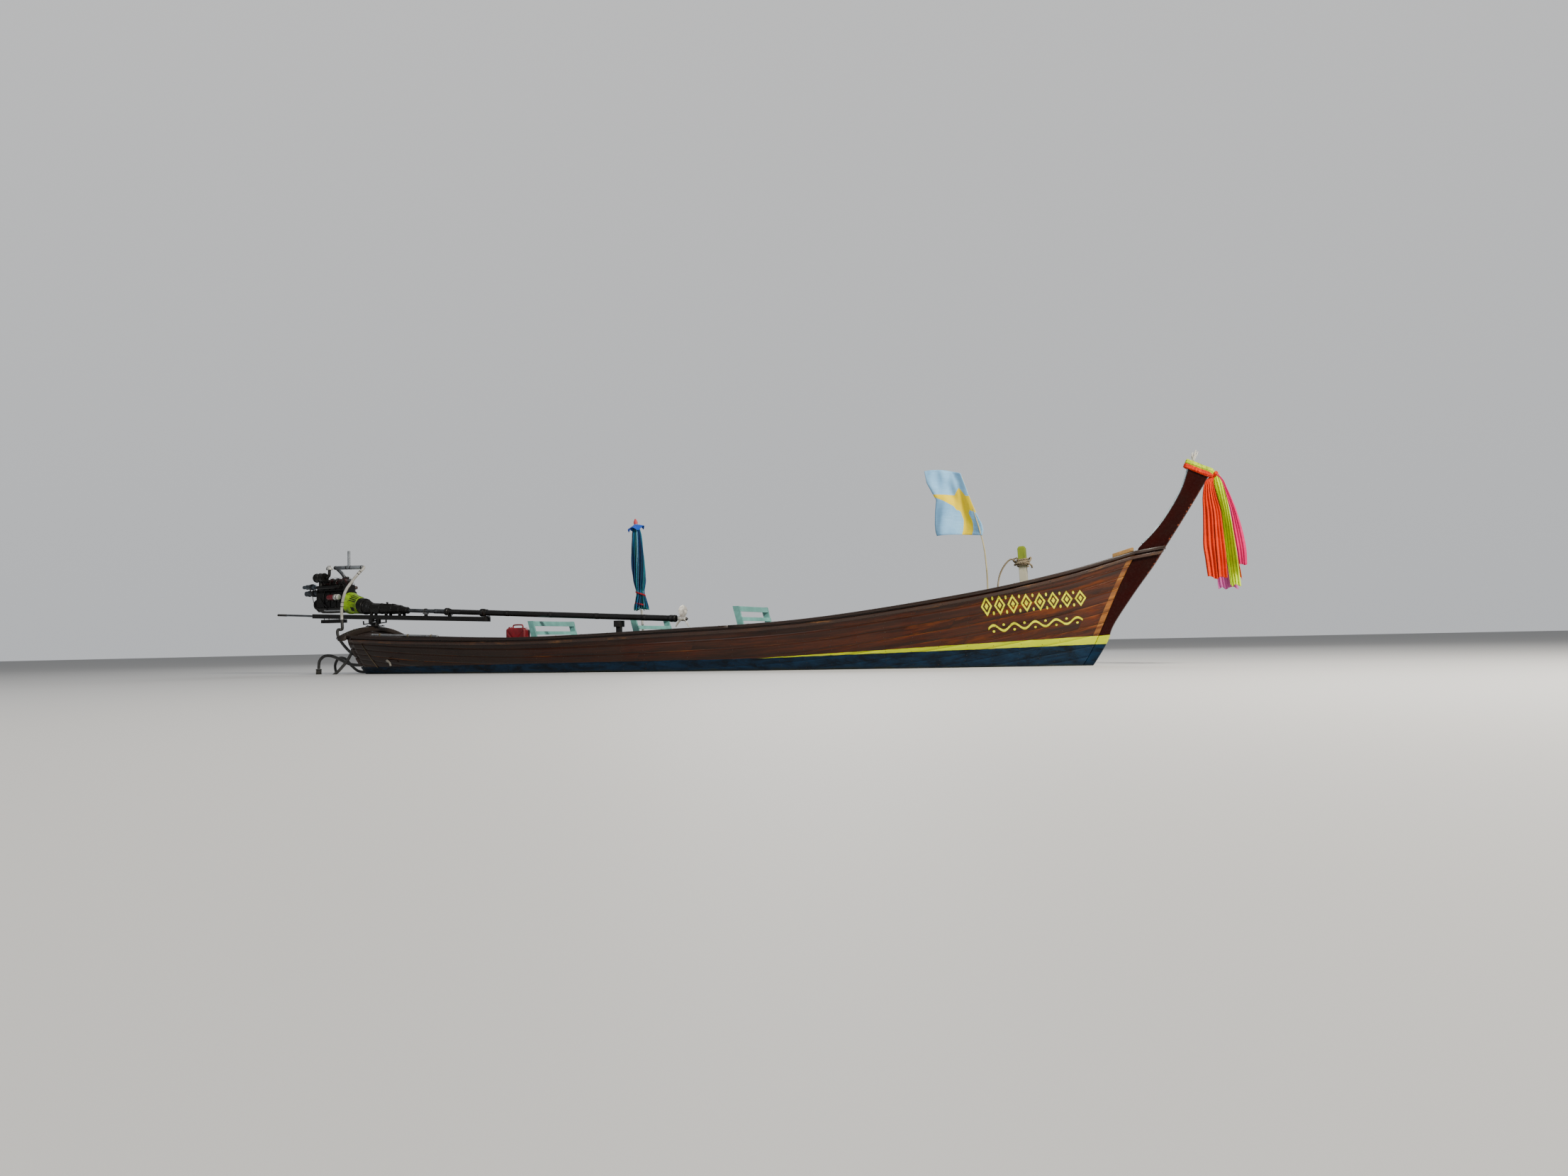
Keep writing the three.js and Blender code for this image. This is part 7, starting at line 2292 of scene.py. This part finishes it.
cooling = tube("cooling_run", pipe_path, cooling_radius, 28)
dressed(cooling, plastic_finish("pipe_white", (0.66, 0.655, 0.62), (0.26, 0.235, 0.18), 0.32, 7.0), "tail",
    "white_tube", "cooling_pipe")
foot_hose = tube("foot_hose", [p for p in pipe_path if p.z < 0.872], 0.0239, 28)
foot_rubber = plastic_finish("foot_rubber", (0.009, 0.009, 0.01), (0.04, 0.037, 0.03), 0.42, 12.0)
dressed(foot_hose, foot_rubber, "tail", "hose_rubber")
foot_pipe = bent("foot_pipe", [(-0.96, -0.172, 1.022), (-0.8, -0.176, 1.018), (-0.6, -0.18, 1.014),
    (-0.53, -0.19, 1.008), (-0.49, -0.222, 0.985), (-0.474, -0.246, 0.955)], 0.01, 0.011, 20)
foot_elbow = bent("foot_elbow", [(-0.955, -0.172, 1.022), (-0.975, -0.168, 1.026), (-0.985, -0.14, 1.03),
    (-0.985, -0.1, 1.03)], 0.008, 0.0125, 20)
# The pale aluminium finish on the drain pipe is partly a painted highlight
dressed(joined("drain_pipe", [foot_pipe, foot_elbow]), aluminium, "tail", "grey_steel")
PIPE_CLAMPS = [0.128, 0.18, 0.7, 0.77]
clamps = []
for s in PIPE_CLAMPS:
    n = min(round(s / pipe_length * (len(pipe_path) - 1)), len(pipe_path) - 2)
    ahead = (pipe_path[n + 1] - pipe_path[n]).normalized()
    clamps.append(tube("clamp", [pipe_path[n] + ahead * d for d in (-0.006, -0.0055, 0.0055, 0.006)],
        lambda s: 0.0232 if 0.0003 < s < 0.0117 else 0.0224, 28))
dressed(joined("pipe_clamps", clamps), worn_bolt, "tail", "engine_iron")


# Bell housing. Bright lime cast housing between engine and gearbox, flanged and bolted at both ends,
# with cooling slots on its shoulder and a square inspection window low on each side, each a near-black
# patch laid on the wall: painted shade where the opening would be.
# Distance forward of the swivel, radius, and height of the middle
BELL = [(-0.556, 0.1755, 1.132), (-0.5, 0.1755, 1.132), (-0.47, 0.1595, 1.116), (-0.19, 0.1238, 1.066)]


def bell_ring(s, off, sides=144):
    """A ring of the housing, its wall wavy with ribs away from the flanges."""
    reach, z = row_at(BELL, s)
    rib = 0.003 * min(1, max(0, (s + 0.455) / 0.03)) * min(1, max(0, (-0.215 - s) / 0.03))
    ring = []
    for a in np.linspace(0, tau, sides, endpoint=False):
        out = reach + off - rib * (1 - max(0, cos(9 * a)) ** 6)
        ring.append(on_tail(s, out * cos(a), z + out * sin(a)))
    return ring


bell_marks = [(-0.556, -0.003), (-0.553, 0), (-0.526, 0), (-0.523, -0.006), (-0.5, -0.007),
    (-0.484, -0.004)]
bell_marks += [(s, -0.002) for s in np.linspace(-0.47, -0.302, 14)]
bell = faced_out(skin_over("bell_shell", [bell_ring(s, off) for s, off in bell_marks]))
lime = steel_finish("bell_lime", (0.24, 0.43, 0.0), 0.06, 0.3, 0.0, 0.36)
dressed(bell, lime, "tail", "bell_paint", "bell_housing")
nose_marks = [(s, -0.01) for s in np.linspace(-0.303, -0.222, 8)]
nose_marks += [(-0.214, -0.006), (-0.212, 0.004), (-0.1915, 0.004), (-0.1905, 0.001)]
bell_nose = faced_out(skin_over("bell_nose", [bell_ring(s, off) for s, off in nose_marks]))
dressed(bell_nose, oily_iron, "tail", "engine_iron")
ends = [(-0.5225, 0.167, 1.132, 1), (-0.2125, 0.1225, 1.07, -1)]
bell_bolts = [((s, reach * cos(a), z + reach * sin(a)), (way, 0, 0)) for s, reach, z, way in ends
    for a in (tau * (n + 0.5) / 10 for n in range(10))]
tail_studs("bell_bolts", bell_bolts, 0.0085, 0.009, worn_bolt)
# Painted shade: near-black patches standing for the shade inside the slots and windows
painted_opening_shade = steel_finish("painted_opening_shade", (0.004, 0.004, 0.004), 0.1, 0.7, 0.0, 0.5)


def on_bell(name, s0, s1, a0, a1, lift, thick=0.006):
    """A patch that follows the housing's wall, between two places and two angles."""
    rings = []
    for s in np.linspace(s0, s1, 8):
        reach, z = row_at(BELL, s)
        arc = np.linspace(a0, a1, 9)
        outer = [on_tail(s, (reach + lift) * cos(a), z + (reach + lift) * sin(a)) for a in arc]
        inner = [on_tail(s, (reach - thick) * cos(a), z + (reach - thick) * sin(a)) for a in arc[::-1]]
        rings.append(outer + inner)
    return faced_out(skin_over(name, rings))


slots, window_rims = [], []
for side in (-1, 1):
    for n in range(4):
        a = radians(90 + side * (24 + 14 * n))
        slots.append(on_bell("slot", -0.44, -0.315, a - 0.05, a + 0.05, 0.0012))
    low = radians(-90 + side * 62)
    slots.append(on_bell("window", -0.405, -0.33, low - 0.24, low + 0.24, 0.0014))
    for a, b, c, d in ((-0.413, -0.405, -0.29, 0.29), (-0.33, -0.322, -0.29, 0.29),
            (-0.409, -0.326, -0.29, -0.24), (-0.409, -0.326, 0.24, 0.29)):
        window_rims.append(on_bell("rim", a, b, low + c, low + d, 0.0045))
dressed(joined("bell_slot_shade", slots), painted_opening_shade, "tail", "black_steel")
dressed(joined("window_rims", window_rims), lime, "tail", "bell_paint")

# Gearbox. Black cast case in lengths with bolted flanges, ribs on its sides, a bolted top cover and
# feet down to the frame.
# Distance forward of the swivel, radius, and height of the middle
GEARBOX = [(-0.188, 0.1135, 1.056), (-0.12, 0.1135, 1.052), (-0.06, 0.0915, 1.034), (0.42, 0.0835, 1.01),
    (0.56, 0.0735, 0.995), (0.736, 0.0515, 0.9764)]
case_flanges = [-0.188, -0.074, 0.15, 0.41, 0.56, 0.722]


case_rings = []
for s in np.concatenate([[-0.188, -0.186], np.arange(-0.18, 0.734, 0.008), [0.734, 0.736]]):
    reach, z = row_at(GEARBOX, s)
    flange = any(-0.001 < s - f < 0.021 for f in case_flanges) or s > 0.716
    level = 0.0 if flange else -0.011
    if s in (-0.188, 0.736):
        level = -0.003
    ring = []
    for n in range(96):
        a = tau * n / 96
        rib = 0 if flange else 0.006 * max(0, cos(8 * a)) ** 8
        ring.append(on_tail(s, (reach + level + rib) * cos(a), z + (reach + level + rib) * sin(a)))
    case_rings.append(ring)
gear_case = faced_out(skin_over("gear_case", case_rings))
dressed(gear_case, oily_iron, "tail", "engine_iron", "gearbox")
case_bolts = []
for f in case_flanges[1:-1]:
    reach, z = row_at(GEARBOX, f + 0.02)
    for n in range(8):
        a = tau * (n + 0.5) / 8
        case_bolts.append(((f + 0.0225, (reach - 0.005) * cos(a), z + (reach - 0.005) * sin(a)), (1, 0, 0)))
tail_studs("case_bolts", case_bolts, 0.0075, 0.009, worn_bolt)


def tail_block(name, s0, s1, y0, y1, z0, z1, rounding=0.004):
    """A block with rounded edges along the tail."""
    outline = rounded_section([(s0, y0), (s1, y0), (s1, y1), (s0, y1)], [rounding] * 4)
    rings = [[on_tail(p[0], p[1], z) for p in outline] for z in (z0, z1)]
    return faced_out(skin_over(name, rings))


case_cover = tail_block("top_cover", 0.185, 0.365, -0.048, 0.048, 1.06, 1.0935, 0.012)
breather = turned_piece("breather", [(0.012, 1.09), (0.012, 1.105), (0.018, 1.106), (0.018, 1.122),
    (0.001, 1.124)], upright(0.275, 0), 20)
feet = [tail_block("foot", s - 0.022, s + 0.022, side * 0.046 - 0.016, side * 0.046 + 0.016,
    frame_height(s) + 0.034, top) for s, top in ((-0.03, 0.985), (0.3, 0.955), (0.6, 0.952))
    for side in (-1, 1)]
dressed(joined("gearbox_fittings", [case_cover, breather] + feet), oily_iron, "tail", "engine_iron")
tail_studs("cover_bolts", [((s, y, 1.0935), (0, 0, 1)) for s in (0.2, 0.275, 0.35)
    for y in (-0.037, 0.037)], 0.007, 0.008, worn_bolt)


# Shaft tubes. Grey galvanised sleeve forward of the gearbox, a black coupling between bolted flanges,
# and the long black tail tube, in steps; each is held on the frame's posts by a clamp.
def on_line(s):
    """Place points round the shaft's line, z along it from s."""
    turn = Matrix.Rotation(SHAFT_DROP, 3, "Y")
    start = Vector((s, 0, shaft_height(s)))
    return lambda x, y, z: on_tail(*start + turn @ Vector((z, y, x)))


def turned_run(name, from_s, marks, sides=36):
    """A turned tube on the shaft's line: rows of radius and distance from its start."""
    return turned_piece(name, [(r, d / cos(SHAFT_DROP)) for r, d in marks], on_line(from_s), sides)


sleeve_rows = [(0.012, 0.0005), (0.029, 0.0005), (0.0298, 0.003), (0.0298, 0.558), (0.03, 0.562),
    (0.0345, 0.5625), (0.0358, 0.566), (0.0358, 0.64), (0.034, 0.642), (0.034, 0.65), (0.0358, 0.652),
    (0.0358, 0.8), (0.0345, 0.8025), (0.012, 0.803)]
dressed(turned_run("grey_sleeve", 0.74, sleeve_rows), galvanised, "tail", "grey_steel", "shaft_sleeve")
coupling_rows = [(0.012, 0.001), (0.0565, 0.001), (0.0578, 0.0025), (0.0578, 0.024), (0.055, 0.0255),
    (0.055, 0.0285), (0.0578, 0.03), (0.0578, 0.0515), (0.0565, 0.053), (0.04, 0.0545), (0.0376, 0.062),
    (0.0376, 0.3), (0.0362, 0.302), (0.0362, 0.33), (0.0376, 0.332), (0.0376, 0.716), (0.042, 0.724),
    (0.0585, 0.7255), (0.0598, 0.727), (0.0598, 0.7515), (0.057, 0.753), (0.057, 0.757), (0.0598, 0.7585),
    (0.0598, 0.781), (0.058, 0.7825), (0.012, 0.783)]
tail_paint = steel_finish("tail_black", (0.009, 0.009, 0.01), 0.12, 0.32, 0.3, 0.4)
dressed(turned_run("coupling", 1.547, coupling_rows, 40), tail_paint, "tail", "black_steel",
    "shaft_coupling")
tube_rows = [(0.012, 0.0005), (0.0428, 0.0005), (0.0428, 0.02)]
for d in (0.42, 1.25, 2.08, 2.91):
    tube_rows += [(0.0412, d - 0.012), (0.0412, d - 0.006), (0.0428, d - 0.005), (0.0428, d + 0.06),
        (0.0412, d + 0.061), (0.0412, d + 0.066)]
tube_rows += [(0.0412, 3.33), (0.0412, 3.36), (0.0475, 3.364), (0.0488, 3.368), (0.0488, 3.4),
    (0.046, 3.402), (0.046, 3.42), (0.0488, 3.422), (0.0488, 3.452), (0.0465, 3.456), (0.03, 3.4575),
    (0.012, 3.4575)]
dressed(turned_run("tail_run", 2.332, tube_rows), tail_paint, "tail", "black_steel", "tail_tube")
bolt_circles = [(1.547 + 0.0525, 0.047, 1), (2.2705, 0.05, -1), (2.33, 0.05, 1)]
coupling_bolts = []
for s, reach, way in bolt_circles:
    for n in range(6):
        a = tau * (n + 0.5) / 6
        coupling_bolts.append((on_line(s)(reach * cos(a), reach * sin(a), 0.0),
            way_on_tail(way * cos(SHAFT_DROP), 0, -way * sin(SHAFT_DROP))))
studs("coupling_bolts", [p for p, way in coupling_bolts], [way for p, way in coupling_bolts], 0.0075, 0.01,
    worn_bolt, "tail", 6)
clamp_straps = []
for s, reach in ((1.12, 0.03), (1.62, 0.0378), (2.37, 0.0432)):
    for d in (-0.016, 0.01):
        loop = [on_shaft(s + d, (reach + 0.005) * cos(a), (reach + 0.005) * sin(a))
            for a in np.linspace(radians(-18), radians(198), 30)]
        loop = [on_shaft(s + d, reach + 0.005, -0.048), on_shaft(s + d, reach + 0.005, -0.024)] + loop[3:-3]
        loop += [on_shaft(s + d, -reach - 0.005, -0.024), on_shaft(s + d, -reach - 0.005, -0.048)]
        clamp_straps.append(tube("u_bolt", loop, 0.0052, 12))
    clamp_straps.append(tail_block("saddle", s - 0.024, s + 0.018, -reach - 0.018, reach + 0.018,
        shaft_height(s) - reach - 0.014, shaft_height(s) - reach - 0.004, 0.003))
dressed(joined("tube_clamps", clamp_straps), worn_bolt, "tail", "black_steel")

# Tiller. A grey steel bar welded to the frame's aft end, with a worn grip of wound tape
tiller_line = curve_through([(-1.402, 0, 0.945), (-1.7, 0, 0.962), (-2.33, 0, 0.99)])
tiller_path, tiller_length = evenly(tail_points(tiller_line), 0.015)
tiller_bar = tube("tiller_bar", tiller_path, lambda s: 0.0168 if s < tiller_length - 0.004 else 0.014, 24)
dressed(tiller_bar, galvanised, "tail", "grey_steel", "tiller")
grip_line = [p for p in tiller_path if (p - tiller_path[-1]).length < 0.235]
grip = laid_rope("tiller_grip", evenly(grip_line, 0.003)[0][:-1], 0.0395, 1.1, 4, 8)
dressed(grip, plastic_finish("grip_tape", (0.014, 0.014, 0.015), (0.055, 0.05, 0.042), 0.62, 18.0, 0.0),
    "tail", "black_steel")


# Propeller. Three twisted blades on a turned hub, painted off-white and worn, with a dark boss and
# nut; it sits at the tail tube's end and spins on its axis.
PROP_HUB = 5.894  # its distance from the swivel


def on_propeller(x, y, z):
    """A point in the propeller's frame, x along the shaft."""
    turn = Matrix.Rotation(SHAFT_DROP, 3, "Y")
    return on_tail(*Vector((PROP_HUB, 0, shaft_height(PROP_HUB))) + turn @ Vector((x, y, z)))


def along_hub(x, y, z):
    """The same with z along the shaft, for turned pieces."""
    return on_propeller(z, x, y)


def blade_surface(turn):
    """One blade: sections along its radius, each a thin cambered foil."""
    rings = []
    for r in np.concatenate([np.linspace(0.026, 0.17, 17), [0.176, 0.181, 0.184]]):
        chord = between(r, [0.026, 0.07, 0.115, 0.155, 0.17, 0.178, 0.184],
            [0.033, 0.055, 0.0655, 0.052, 0.038, 0.024, 0.008])
        pitch = radians(between(r, [0.026, 0.07, 0.115, 0.155, 0.185], [52, 44, 36, 30, 26]))
        thick = 0.0029 - 0.0018 * (r - 0.026) / 0.158
        ring = []
        for k in range(28):
            b = tau * k / 28
            along = chord * cos(b)
            off = thick * sin(b) * (1 + 0.3 * cos(b)) + 0.0035 * (1 - (along / chord) ** 2)
            x = along * sin(pitch) + off * cos(pitch)
            y = along * cos(pitch) - off * sin(pitch)
            c, s = cos(turn), sin(turn)
            ring.append(on_propeller(x, y * c - r * s, y * s + r * c))
        rings.append(ring)
    return faced_out(skin_over("blade", rings))


prop_finish = steel_finish("prop_white", (0.62, 0.61, 0.57), 0.28, 0.34, 0.25, 0.32)
blades = [blade_surface(radians(t)) for t in (0, 120, 240)]
hub = turned_piece("prop_hub", [(0.012, -0.062), (0.031, -0.062), (0.0328, -0.059), (0.0328, 0.05),
    (0.03, 0.0555), (0.012, 0.0555)], along_hub, 40)
dressed(joined("prop_blades", blades + [hub]), prop_finish, "propeller", "propeller_metal", "propeller")
boss = turned_piece("prop_boss", [(0.006, -0.098), (0.019, -0.098), (0.0198, -0.096), (0.0198, -0.064),
    (0.023, -0.0628), (0.023, -0.0622), (0.01, -0.0622)], along_hub, 32)
nut = turned_piece("prop_nut", [(0.01, 0.0556), (0.0215, 0.0556), (0.0215, 0.0575), (0.0185, 0.058),
    (0.0175, 0.074), (0.011, 0.0745), (0.01, 0.0835), (0.001, 0.0838)], along_hub, 24,
    lambda a, z: 1 + (0.06 * cos(6 * a) if 0.0578 < z < 0.0742 else 0))
dressed(joined("prop_fastening", [boss, nut]), greasy, "propeller", "black_steel")
